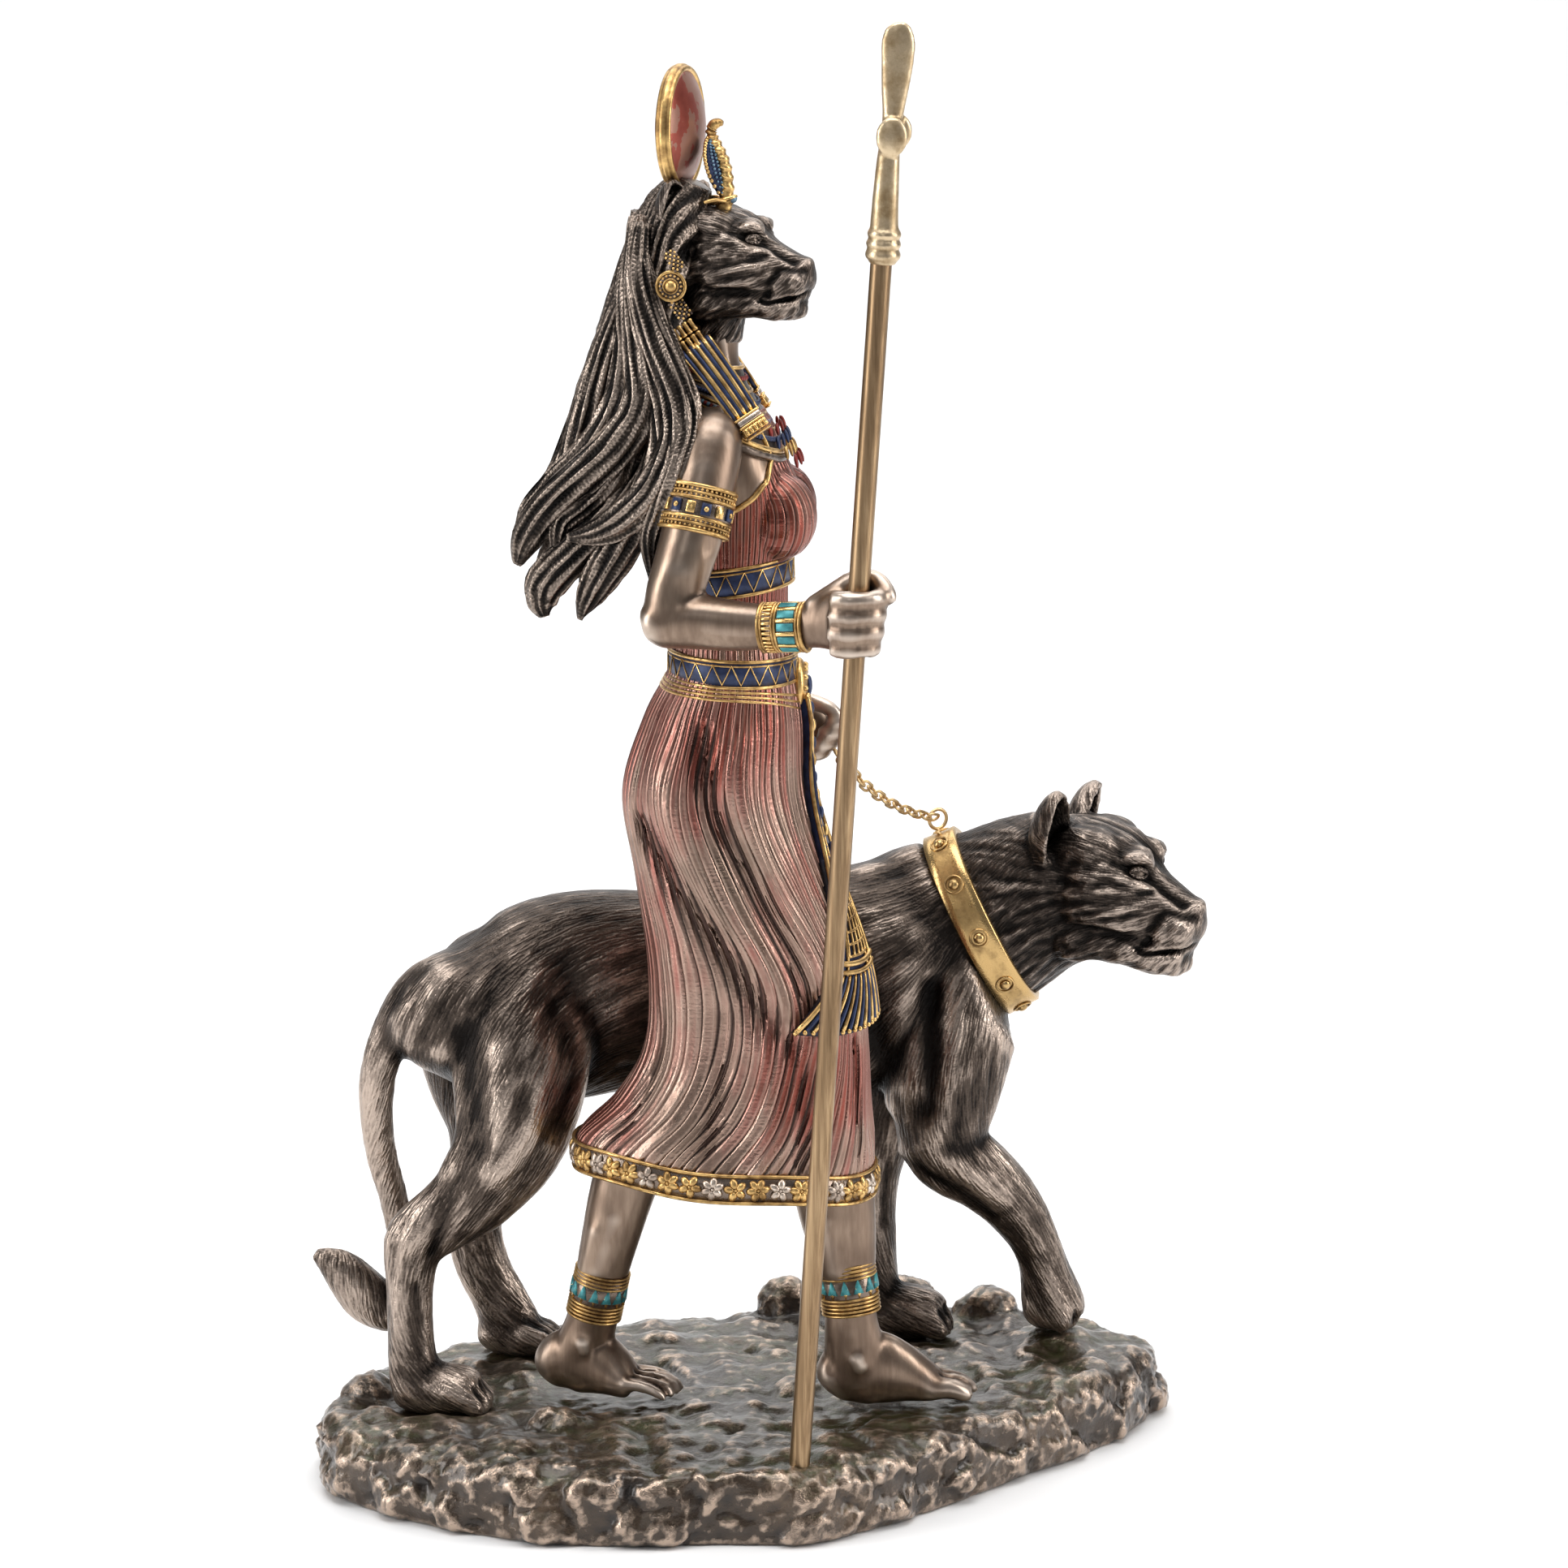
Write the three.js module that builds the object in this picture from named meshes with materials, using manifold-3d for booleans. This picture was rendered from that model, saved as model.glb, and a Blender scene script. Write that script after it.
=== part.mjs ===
// A cold-cast figurine: a lion-headed goddess with a tall sceptre leads a lioness on a chain over rocky ground.
// Millimetres, +Z up. The viewer of the photograph stands at -Y, and both figures walk towards +X.
import * as THREE from "three";
import { mergeVertices } from "three/addons/utils/BufferGeometryUtils.js";
import Module from "manifold-3d";

const wasm = await Module();
wasm.setup();
const { Manifold, Mesh: SolidMesh } = wasm;

// Driving sizes of the base
const baseLength = 180;
const baseWidth = 122;
const baseThickness = 15;
const fitGap = 0.3;

// Driving sizes of the two figures
const goddessHeight = 252;
const lionessHeight = 121.4;
const pleatCount = 18;
const pleatDepth = 0.7;
const trimThickness = 0.8;
const discDiameter = 25;
const discRim = 1.3;

// Driving sizes of the sceptre
const staffDiameter = 4.1;
const staffReach = 252.6;
const socketDepth = 5;
const ferruleLength = 6;
const sceptreLength = 45;

// Driving sizes of the leash
const collarWidth = 6.6;
const studRadius = 1.2;
const studCount = 10;
const ringRadius = 2.1;
const stemLength = 0.8;
const chainWire = 0.55;
const linkLength = 3.9;
const linkWidth = 2.5;
const chainSag = 3.4;

// The figures' rows are drawn for these heights, on a base this thick, and grow away from the line between them.
const drawnGoddess = 252;
const drawnLioness = 121.4;
const drawnGround = 15;
const between = { x: -6, y: 4 };

// Solids from geometries and back
function solidOf(geometry) {
  const bare = geometry.clone();
  bare.deleteAttribute("normal");
  bare.deleteAttribute("uv");
  const merged = mergeVertices(bare, 1e-4);
  return new Manifold(
    new SolidMesh({
      numProp: 3,
      vertProperties: new Float32Array(merged.attributes.position.array),
      triVerts: new Uint32Array(merged.index.array),
    }),
  );
}

function geometryOf(solid) {
  const mesh = solid.getMesh();
  const geometry = new THREE.BufferGeometry();
  geometry.setAttribute("position", new THREE.BufferAttribute(mesh.vertProperties, 3));
  geometry.setIndex(new THREE.BufferAttribute(mesh.triVerts, 1));
  geometry.computeVertexNormals();
  return geometry;
}

const joined = (solids) => Manifold.union(solids);

// A casting is solid: sealed hollows left between its joined forms are filled.
const cast = (solid) => joined(solid.decompose().filter((body) => body.volume() > 0));

// The points of a smooth open curve through rows of numbers, a few steps to each row.
function smoothRows(rows, steps) {
  const last = rows.length - 1;
  const result = [];
  for (let i = 0; i < last * steps + 1; i++) {
    const k = Math.min(Math.floor(i / steps), last - 1);
    const t = i / steps - k;
    const before = rows[Math.max(k - 1, 0)];
    const after = rows[Math.min(k + 2, last)];
    result.push(
      rows[k].map((p1, c) => {
        const p0 = before[c];
        const p2 = rows[k + 1][c];
        const p3 = after[c];
        const bend = 2 * p0 - 5 * p1 + 4 * p2 - p3;
        const twist = 3 * p1 - p0 - 3 * p2 + p3;
        return p1 + 0.5 * t * (p2 - p0 + t * (bend + t * twist));
      }),
    );
  }
  return result;
}

// A closed skin over rings of points, with a fan at each end.
function skinOf(rings) {
  const sides = rings[0].length;
  const points = rings.flat();
  const foot = points.length;
  const head = foot + 1;
  const middle = (ring) => ring.reduce((sum, p) => sum.add(p), new THREE.Vector3()).divideScalar(sides);
  points.push(middle(rings[0]), middle(rings.at(-1)));
  const faces = [];
  for (let j = 0; j < sides; j++) {
    const next = (j + 1) % sides;
    faces.push(foot, next, j);
    for (let i = 0; i < rings.length - 1; i++) {
      const low = i * sides;
      const high = low + sides;
      faces.push(low + j, low + next, high + next, low + j, high + next, high + j);
    }
    const top = (rings.length - 1) * sides;
    faces.push(head, top + j, top + next);
  }
  const geometry = new THREE.BufferGeometry().setFromPoints(points);
  geometry.setIndex(faces);
  return solidOf(geometry);
}

// A sculptor works in the rows of one figure: it scales them and stands them on the base.
function sculptor(scale) {
  const at = (x, y, z) =>
    new THREE.Vector3(
      between.x + (x - between.x) * scale,
      between.y + (y - between.y) * scale,
      baseThickness + (z - drawnGround) * scale,
    );

  // Oval sections along a path: each row is x, y, z, half the size in the picture plane, half the depth,
  // then the depth of the grooves on every other side, if any, and how much a level section climbs to +X.
  function loft(rows, { sides = 8, steps = 1, level = false, depth = [0, 1, 0] } = {}) {
    const even = rows.map(([x, y, z, a, b, groove = 0, climb = 0]) => [x, y, z, a, b, groove, climb]);
    const fine = smoothRows(even, steps);
    const ahead = new THREE.Vector3();
    const reference = new THREE.Vector3(...depth);
    const rings = fine.map(([x, y, z, a, b, groove, climb], i) => {
      const p = fine[Math.max(i - 1, 0)];
      const q = fine[Math.min(i + 1, fine.length - 1)];
      ahead.set(q[0] - p[0], q[1] - p[1], q[2] - p[2]);
      if (level) ahead.set(0, 0, Math.sign(ahead.z));
      ahead.normalize();
      const wide = new THREE.Vector3().crossVectors(reference, ahead).normalize();
      const deep = new THREE.Vector3().crossVectors(ahead, wide);
      const ring = [];
      for (let j = 0; j < sides; j++) {
        const angle = (j / sides) * 2 * Math.PI;
        const cut = j % 2 ? groove : 0;
        const u = (a - cut) * Math.cos(angle);
        const v = (b - cut) * Math.sin(angle);
        const point = new THREE.Vector3(x, y, z).addScaledVector(wide, u).addScaledVector(deep, v);
        ring.push(at(point.x, point.y, point.z + climb * (point.x - x)));
      }
      return ring;
    });
    return skinOf(rings);
  }

  // An egg with three half sizes, turned about the vertical and then leant in the picture plane.
  function egg([x, y, z], [a, b, c], { turn = 0, lean = 0, around = 6, down = 4 } = {}) {
    const geometry = new THREE.SphereGeometry(1, around, down);
    geometry.rotateX(Math.PI / 2);
    geometry.scale(a * scale, b * scale, c * scale);
    geometry.rotateY(-lean);
    geometry.rotateZ(turn);
    geometry.translate(...at(x, y, z).toArray());
    return solidOf(geometry);
  }

  // Rows of a limb with a band between two shares of its path: the band's rims stand out by the trim's thickness.
  function banded(rows, from, to, rims = [1, 0.5, 0.5, 1]) {
    const last = rows.length - 1;
    const fine = smoothRows(rows, 12);
    const pick = (share) => fine[Math.round(share * (fine.length - 1))];
    const grown = rims.map((rim, i) => {
      const [x, y, z, a, b] = pick(from + ((to - from) * i) / (rims.length - 1));
      const out = (trimThickness * rim) / scale;
      return [x, y, z, a + out, b + out];
    });
    const before = rows.filter((_, i) => i / last < from - 0.03);
    const after = rows.filter((_, i) => i / last > to + 0.03);
    return [...before, pick(from - 0.01), ...grown, pick(to + 0.01), ...after];
  }

  return { at, loft, egg, banded, scale };
}

const coarse = { around: 4, down: 3 };
const plain = { around: 5, down: 3 };

// The half space below a sole, as a block to cut with
function blockBelow(x, y, level, reach) {
  const geometry = new THREE.BoxGeometry(reach, reach, 20);
  geometry.translate(x, y, level - 10);
  return solidOf(geometry);
}

// Where each foot stands: its middle, half length, half width, heading and the level of its sole
const goddess = sculptor(goddessHeight / drawnGoddess);
const lioness = sculptor(lionessHeight / drawnLioness);
const soles = {
  goddessRear: { by: goddess, x: -36.5, y: -9.6, z: 14.6, long: 16.5, wide: 7.4, turn: -0.18 },
  goddessFront: { by: goddess, x: 24, y: -14, z: 15, long: 18.5, wide: 7.6, turn: 0.2 },
  nearHind: { by: lioness, x: -71, y: -12.6, z: 12.6, long: 13, wide: 8.6, turn: -0.2 },
  farHind: { by: lioness, x: -57, y: 19.8, z: 15.2, long: 11.5, wide: 8, turn: -0.16 },
  farFront: { by: lioness, x: 26.5, y: 33.4, z: 14.4, long: 13.4, wide: 9, turn: -0.16 },
  nearFront: { by: lioness, x: 58.5, y: 28.2, z: 18, long: 8.6, wide: 7.6, turn: -0.2 },
};

function trimmedAtSole(foot, sole) {
  const middle = sole.by.at(sole.x, sole.y, sole.z);
  return foot.subtract(blockBelow(middle.x, middle.y, middle.z + fitGap, 60 * sole.by.scale));
}

// The lion's head that both figures share, in its own frame: x to the nose, y to its left, z up, before scaling
function lionHead(by, [cx, cy, cz], size, turn, lift) {
  const forward = new THREE.Vector3(Math.cos(turn) * Math.cos(lift), -Math.sin(turn) * Math.cos(lift), Math.sin(lift));
  const left = new THREE.Vector3(Math.sin(turn), Math.cos(turn), 0);
  const up = new THREE.Vector3().crossVectors(forward, left);
  const spot = (x, y, z) => [
    cx + size * (x * forward.x + y * left.x + z * up.x),
    cy + size * (x * forward.y + y * left.y + z * up.y),
    cz + size * (x * forward.z + y * left.z + z * up.z),
  ];
  const skull = [
    [-13, 0, 5, 6],
    [-8, -1, 12, 11.6],
    [0, -2.4, 14, 14],
    [8, -4.6, 13.4, 12.8],
    [14, -7.6, 12.2, 9.2],
    [19, -9.6, 10.2, 7.6],
    [22.4, -9.4, 7.4, 6],
    [23.8, -8.2, 3.8, 3.6],
  ].map(([x, z, high, wide]) => [...spot(x, 0, z), size * high, size * wide]);
  const parts = [by.loft(skull, { sides: 9, depth: left.toArray() })];
  const lump = (x, y, z, a, b, c, lean = 0, detail = {}) =>
    by.egg(spot(x, y, z), [a * size, b * size, c * size], { turn: -turn, lean: lean + lift, ...detail });
  parts.push(lump(22.8, 0, -6.2, 2.2, 3.4, 2.2, 0, coarse));
  parts.push(lump(18.2, 0, -18, 4.8, 5.2, 3.4, 0, plain));
  for (const side of [-1, 1]) {
    parts.push(lump(19, side * 4, -11.8, 5.2, 4.8, 4.6, 0, plain));
    parts.push(lump(12, side * 7.2, 2.4, 5, 3, 2, -0.5, coarse));
    const ear = lump(-5.6, side * 10.4, 13, 3, 5.6, 8, 0, { around: 5 });
    const hollow = lump(-3, side * 11.4, 13.8, 2.8, 3.8, 5.8, 0, coarse);
    parts.push(ear.subtract(hollow));
  }
  return joined(parts);
}

// The feet of the goddess, with five toes that shorten outwards
function foot(by, sole, rows, toes) {
  const parts = [by.loft(rows, { sides: 7 })];
  for (let i = 0; i < 5; i++) {
    const share = i / 4;
    const x = toes.x - toes.back * share;
    const y = toes.y + toes.side * (share - 0.5) * toes.spread;
    const size = 1.75 - 0.6 * share;
    parts.push(by.egg([x, y, toes.z + 0.1], [size * 2.1, size * 1.1, size], { turn: toes.turn, ...coarse }));
  }
  return trimmedAtSole(joined(parts), sole);
}

// A fist's four fingers in one skin, curled from the knuckles around what the hand holds, with a dip between each two
function curledFingers(by, knuckle, { drop, reach, thick, across, side }) {
  const turns = [-0.5, -0.16, 0.16, 0.5];
  const levels = [-0.5, 0, 0.5, 1, 1.5, 2, 2.5, 3, 3.5];
  const rings = turns.map((turn) => {
    const out = Math.cos(turn * Math.PI);
    const round = 0.5 + 0.5 * Math.sin(turn * Math.PI);
    const ring = levels.map((level) => {
      const swell = level % 1 ? 0.2 : 1;
      const [x, y, z] = knuckle.map((start, axis) => start - drop[axis] * level);
      const far = (reach + thick * swell) * (level > 2.6 ? 0.88 : 1);
      return by.at(x + far * out, y + side * across * round + side * thick * swell * (2 * round - 1), z);
    });
    const inner = [3.2, -0.2].map((level) => {
      const [x, y, z] = knuckle.map((start, axis) => start - drop[axis] * level);
      return by.at(x + (reach - thick) * out - 1, y + side * across * (0.2 + 0.6 * round), z);
    });
    return [...ring, ...inner];
  });
  return skinOf(side > 0 ? rings : rings.reverse());
}

// The goddess: the rows of her limbs, each x, y, z, half size in the picture plane, half depth
const skirtRows = [
  [-11.6, -20, 72.6, 30, 19, 1, -0.08],
  [-8, -20, 82, 25.6, 18.4, 1, -0.04],
  [-5.5, -20, 94, 22.6, 17.6, 1],
  [-6, -20, 110, 21.5, 17.6, 1],
  [-10.2, -20, 129, 19.8, 18.4, 1],
  [-13.8, -20, 146, 18.6, 18.8, 1],
  [-12, -20, 161, 16, 17.4, 1],
];
const torsoRows = [
  [-10, -20, 186.4, 10.8, 13, 0.6, 0.1],
  [-9.4, -20, 192, 11.2, 13.6],
  [-9.2, -20, 206, 12.6, 16.8],
  [-11, -20, 217, 9.8, 17.2],
];
const hemLevels = { low: 65.2, high: 72 };
const beltLevels = { low: 168, high: 175 };
const bustBandLevels = { low: 187.6, high: 194.8 };
const neckRows = [
  [-11.5, -20, 221, 8, 9],
  [-13.6, -20, 229, 5.7, 6],
  [-14.2, -20.2, 236, 5.5, 5.6],
  [-13.6, -20.4, 247, 7, 7],
];
const nearUpperArmRows = [
  [-12.4, -34, 223, 4, 3],
  [-13.8, -38, 218.6, 6, 6],
  [-15.6, -41.4, 211, 6.5, 5.8],
  [-17.6, -43.8, 202, 6.4, 5.3],
  [-19.7, -45.4, 195, 6.1, 5],
  [-21.8, -46.2, 188, 5.9, 4.8],
  [-22.4, -46.4, 182.5, 4.8, 4.3],
];
const nearForearmRows = [
  [-27.8, -46, 183.2, 3.6, 3],
  [-24.4, -46.2, 183.9, 5.2, 4.6],
  [-17, -47.4, 184.2, 5.5, 4.9],
  [-10, -49.5, 184, 5.2, 4.6],
  [-3, -52, 184.1, 4.9, 4],
  [3.2, -54.4, 184.6, 4.6, 3.5],
  [7.4, -57.2, 185.8, 5.6, 3.4],
  [11, -60.4, 186.8, 6.5, 3.5],
  [14.6, -62.6, 187, 6.3, 3.2],
];
const farArmRows = [
  [-12, -6, 223, 4, 3],
  [-12.4, -2, 218.6, 6, 6],
  [-13, 2.2, 208, 6.1, 5.6],
  [-13.6, 5.4, 196, 5.7, 5],
  [-14, 7, 186, 5.3, 4.8],
  [-12, 7.6, 177, 5.1, 4.6],
  [-6.4, 7, 169.8, 4.8, 4.3],
  [-1.2, 6, 163, 4.2, 3.7],
  [2.8, 5.4, 158, 4, 3.3],
  [6, 5.2, 154.2, 4.9, 3.4],
  [8.8, 5, 151, 4.2, 3],
];
const rearLegRows = [
  [-27, -11, 84, 8.4, 8.2],
  [-32.2, -11.4, 64, 7.1, 6.6],
  [-36.4, -11.4, 47, 6, 5.5],
  [-39, -11, 38, 5.2, 5],
  [-42, -9.6, 29.5, 5, 4.7],
  [-44.2, -8.6, 22, 6.4, 4.4],
];
const frontLegRows = [
  [8.4, -16, 84, 9.4, 8.6],
  [10.2, -16.6, 62, 8.6, 7],
  [12, -17.2, 50, 7.2, 6],
  [13.8, -17.7, 40, 5.2, 5.1],
  [14.2, -18, 32, 4.9, 4.8],
  [14.6, -17.6, 23, 6, 4.6],
];
const rearFootRows = [
  [-51.4, -6.2, 19, 1.8, 1.8],
  [-49, -6.5, 19.4, 4.4, 3.8],
  [-44, -7.8, 20.2, 5.7, 4.4],
  [-38, -9.8, 19.8, 5.3, 4.2],
  [-32, -11.6, 17.9, 3.6, 4.8],
  [-27, -12.2, 16.7, 2.4, 4.9],
  [-24.4, -12, 16.2, 1.6, 4.2],
];
const frontFootRows = [
  [8, -17, 19, 1.5, 1.8],
  [9.8, -17, 19.8, 4.4, 3.9],
  [14, -17, 20.9, 6, 4.5],
  [20, -16, 20.6, 5.7, 4.3],
  [27, -14.2, 18.9, 4.1, 4.8],
  [33, -12.3, 17.6, 2.7, 5],
  [37, -11.2, 16.9, 1.8, 4.4],
];

// The gown from its hem to the neck in one skin: pleats, and plain bands that stand proud of them
function gown(by) {
  const groove = (rows) => rows.map(([x, y, z, a, b, g, climb]) => [x, y, z, a, b, (g * pleatDepth) / by.scale, climb]);
  const band = (below, above, { low, high }, out, climb) =>
    [
      [low, below],
      [high, above],
    ].map(([z, [x, y, , a, b]]) => [x, y, z, a + out / by.scale, b + out / by.scale, 0, climb]);
  const hemRow = [-12, -20, 0, 30.4, 19.6];
  const rows = [
    ...band(hemRow, hemRow, hemLevels, trimThickness, -0.1),
    ...groove(skirtRows),
    ...band([-10.4, -20, 0, 12.6, 15.6], [-10.3, -20, 0, 11.5, 13.8], beltLevels, trimThickness * 1.4, -0.04),
    ...groove(torsoRows.slice(0, 1)),
    ...band(torsoRows[0], torsoRows[1], bustBandLevels, trimThickness, 0.15),
  ];
  const skirt = by.loft(rows, { sides: 2 * pleatCount, level: true });
  const bodice = by.loft(torsoRows.slice(1), { sides: 14, level: true });
  const breasts = [-28.6, -11.6].map((y) => by.egg([-0.6, y, 203.4], [7.1, 7.4, 8.8], { around: 8 }));
  return [skirt, bodice, ...breasts];
}

// The belt's plaque, and the sash that hangs in front
function sash(by) {
  const plaque = by.egg([2.8, -20, 165.4], [1.9, 5, 6.4]);
  const rows = [
    [3, -21, 163, 1, 3.6],
    [4, -21.4, 150, 1, 3.8],
    [9.6, -22.4, 132, 1.1, 4],
    [13.8, -24.4, 117, 1.3, 4.4],
    [15.6, -27.4, 107, 1.5, 5.2],
    [14.4, -31.6, 96, 1.5, 5.8],
  ];
  return [plaque, by.loft(rows, { sides: 6 })];
}

// The broad collar over the shoulders, and the winged jewel on it
function broadCollar(by) {
  const rows = [
    [-14.2, -20, 232.4, 5.4, 6.4],
    [-14, -20, 229, 6.2, 10, 0, -0.3],
    [-12.4, -20, 224.2, 8.8, 14.6, 0, -0.4],
    [-11.4, -20, 220.4, 10.6, 16.6, 0, -0.45],
    [-11.4, -20, 218.8, 9.8, 15.6, 0, -0.45],
  ];
  const jewel = by.egg([-0.2, -20, 213.4], [1.5, 7, 4], { lean: 0.5 });
  return [by.loft(rows, { sides: 14, level: true }), jewel];
}

function arms(by) {
  const nearFist = curledFingers(by, [14.2, -63.2, 192], {
    drop: [0, 0, 3.2],
    reach: 4.8,
    thick: 1.9,
    across: 7.6,
    side: 1,
  });
  const farFist = curledFingers(by, [8.2, 7.4, 154.8], {
    drop: [1.6, 0, 2.1],
    reach: 4.6,
    thick: 1.6,
    across: 5.8,
    side: -1,
  });
  const nearThumb = [
    [7, -57.6, 189, 1.9, 1.9],
    [11, -56.2, 193, 2, 2],
    [16.9, -57.4, 194.4, 1.9, 1.9],
    [20.6, -60, 191, 1.6, 1.6],
  ];
  return [
    by.loft(by.banded(nearUpperArmRows, 0.33, 0.53)),
    by.loft(by.banded(nearForearmRows, 0.5, 0.62)),
    by.loft(by.banded(farArmRows, 0.66, 0.75)),
    nearFist,
    farFist,
    by.loft(nearThumb, { sides: 5 }),
  ];
}

function legs(by) {
  const rearToes = { x: -23.4, y: -12, z: 16.2, back: 3.4, side: 1, spread: 8.4, turn: -0.18 };
  const frontToes = { x: 38.4, y: -10.8, z: 16.8, back: 4.4, side: -1, spread: 8.6, turn: 0.2 };
  const ringed = [1, 0.5, 0.6, 1];
  return [
    by.loft(by.banded(rearLegRows, 0.54, 0.8, ringed), { sides: 7 }),
    by.loft(by.banded(frontLegRows, 0.58, 0.82, ringed), { sides: 7 }),
    foot(by, soles.goddessRear, rearFootRows, rearToes),
    foot(by, soles.goddessFront, frontFootRows, frontToes),
  ];
}

// Locks of hair: where each one leaves the head, where its tip ends, and how thick it is
const lockRows = [
  { from: [-21, -31, 256], over: [-21.4, -35.4, 226], tip: [-32.6, -36, 199.4], thick: 4.2 },
  { from: [-22.6, -28, 260], over: [-30, -34, 222], tip: [-39.6, -33, 186], thick: 5.4 },
  { from: [-23.4, -22, 261], over: [-35.4, -26, 226], tip: [-49.2, -28, 186.4], thick: 5.4 },
  { from: [-23.4, -15, 261], over: [-35.6, -17, 226], tip: [-52.6, -20, 197], thick: 5.4 },
  { from: [-22, -11, 260], over: [-31, -9, 226], tip: [-44, -10, 195], thick: 5 },
  { from: [-20, -9, 256], over: [-24, -4.4, 226], tip: [-33, -5, 192], thick: 4.6 },
];

function hair(by) {
  const mass = [
    [-17.6, -20, 266.6, 5, 6.4],
    [-22, -20, 257, 7.2, 11],
    [-27, -20, 241, 8.6, 14],
    [-29.4, -20, 224, 10, 15],
    [-33, -20, 208, 9, 13.6],
    [-36.4, -20, 199, 4, 8],
  ];
  const locks = lockRows.map(({ from, over, tip, thick }) => {
    const turnOff = [over[0] * 0.62 + tip[0] * 0.38 + 1, over[1], over[2] * 0.5 + tip[2] * 0.5];
    const rows = [
      [...from, thick * 0.8, thick * 0.7],
      [...over, thick, thick * 0.85],
      [...turnOff, thick, thick * 0.8],
      [...tip, 1, 1],
    ];
    return by.loft(rows, { sides: 4 });
  });
  return [by.loft(mass, { sides: 7 }), ...locks];
}

// The earring's rosette and the jewelled strap that hangs from it, on both sides of the neck
function straps(by) {
  return [-1, 1].flatMap((side) => {
    const y = (out) => -20 + side * out;
    const rosette = by.egg([-20.4, y(14.6), 247], [3.6, 1.8, 3.6]);
    const tubes = by.egg([-17.8, y(13), 239.4], [2.8, 1.6, 4.2], { lean: -0.4, ...coarse });
    const strap = [
      [-17.6, y(12.6), 239, 2.2, 1.4],
      [-13.8, y(14.4), 232.4, 2.6, 1.6],
      [-9.6, y(16.4), 226, 2.6, 1.6],
      [-8, y(16.8), 223.6, 2.9, 1.9],
    ];
    return [rosette, tubes, by.loft(strap, { sides: 4 })];
  });
}

// The sun disc with its rim, and the cobra that rears in front of it
function crown(by, turn) {
  const radius = discDiameter / 2;
  const bulge = 0.34 * radius;
  const shoulder = 0.6;
  const profile = [
    new THREE.Vector2(0, -bulge),
    new THREE.Vector2(shoulder * radius, -bulge * (1 - shoulder * shoulder)),
    new THREE.Vector2(radius - discRim, -discRim * 0.7),
    new THREE.Vector2(radius - 0.3 * discRim, -discRim),
    new THREE.Vector2(radius, 0),
  ];
  const mirrored = profile.slice(0, -1).reverse();
  profile.push(...mirrored.map((p) => new THREE.Vector2(p.x, -p.y)));
  const disc = new THREE.LatheGeometry(profile, 16);
  disc.rotateZ(-Math.PI / 2);
  disc.rotateZ(-turn);
  disc.translate(...by.at(-20.2, -20, 265.4).add(new THREE.Vector3(0, 0, radius)).toArray());
  const cobra = [
    [-14, -22.2, 258, 2.4, 1.8],
    [-12.6, -22.6, 266.4, 1.8, 2],
    [-13.6, -22.8, 273.6, 2, 2.8],
    [-15, -22.8, 277.6, 1.6, 2],
    [-13.4, -23.2, 279.2, 1, 1.2],
  ];
  return [solidOf(disc), by.loft(cobra, { sides: 5 })];
}

// The sceptre: its rod stands in the base and passes through the fist, so both give it its slope.
const grip = goddess.at(13.9, -59.6, 186.4);
const staffFoot = new THREE.Vector3(2.8, -52, baseThickness - socketDepth + fitGap);
const staffSlope = new THREE.Vector3().subVectors(grip, staffFoot).normalize();
const staffRadius = staffDiameter / 2;

function alongStaff(solid, distance) {
  const turn = new THREE.Quaternion().setFromUnitVectors(new THREE.Vector3(0, 0, 1), staffSlope);
  const spot = staffFoot.clone().addScaledVector(staffSlope, distance);
  const matrix = new THREE.Matrix4().compose(spot, turn, new THREE.Vector3(1, 1, 1));
  return solid.transform(matrix.toArray());
}

function round(radius, length, sides = 12) {
  const geometry = new THREE.CylinderGeometry(radius, radius, length, sides);
  geometry.rotateX(Math.PI / 2);
  geometry.translate(0, 0, length / 2);
  return solidOf(geometry);
}

const rodLength = staffReach - ferruleLength + socketDepth;

function staffRod() {
  return alongStaff(round(staffRadius, rodLength), 0);
}

// The head of the sceptre: a ringed ferrule over the rod, a tapered neck and the bent animal head
function sceptreHead() {
  const r = staffRadius;
  const wall = 0.95;
  const ferrule = [
    [0, r + wall],
    [0.22, r + wall * 1.6],
    [0.5, r + wall * 1.05],
    [0.8, r + wall * 1.6],
  ];
  const outline = ferrule.map(([share, radius]) => new THREE.Vector2(radius, 2 * ferruleLength * share));
  const top = 2 * ferruleLength;
  const ring = new THREE.LatheGeometry(
    [new THREE.Vector2(0, 0), ...outline, new THREE.Vector2(r + 0.4, top), new THREE.Vector2(0, top)],
    12,
  );
  ring.rotateX(Math.PI / 2);
  const h = sceptreLength;
  const shaft = sculptor(1);
  const lift = (rows) => rows.map(([x, y, z, a, b]) => [x, y, z * h + drawnGround - baseThickness, a, b]);
  const neck = shaft.loft(
    lift([
      [0, 0, 0.2, r + 0.4, r + 0.3],
      [0.2, 0, 0.4, 2.2, 1.9],
      [0.4, 0, 0.62, 1.9, 1.8],
      [0, 0.4, 0.76, 1.9, 2.1],
      [1.6, 0.8, 0.88, 3, 2],
      [1.4, 1.2, 0.96, 2.9, 1.8],
      [0.6, 1.2, 1, 1.2, 0.9],
    ]),
    { sides: 8 },
  );
  const snout = shaft.loft(
    lift([
      [1.6, 1.4, 0.62, 1.6, 1.5],
      [1.2, 0.2, 0.58, 2.4, 1.8],
      [0.6, -2.2, 0.5, 2.8, 1.6],
      [0.2, -3.4, 0.42, 2, 1],
    ]),
    { sides: 6 },
  );
  const socket = round(staffRadius + fitGap, ferruleLength + fitGap);
  const mouth = ferruleLength;
  const head = joined([solidOf(ring), neck, snout]).subtract(socket);
  return alongStaff(head, rodLength - mouth);
}

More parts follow.
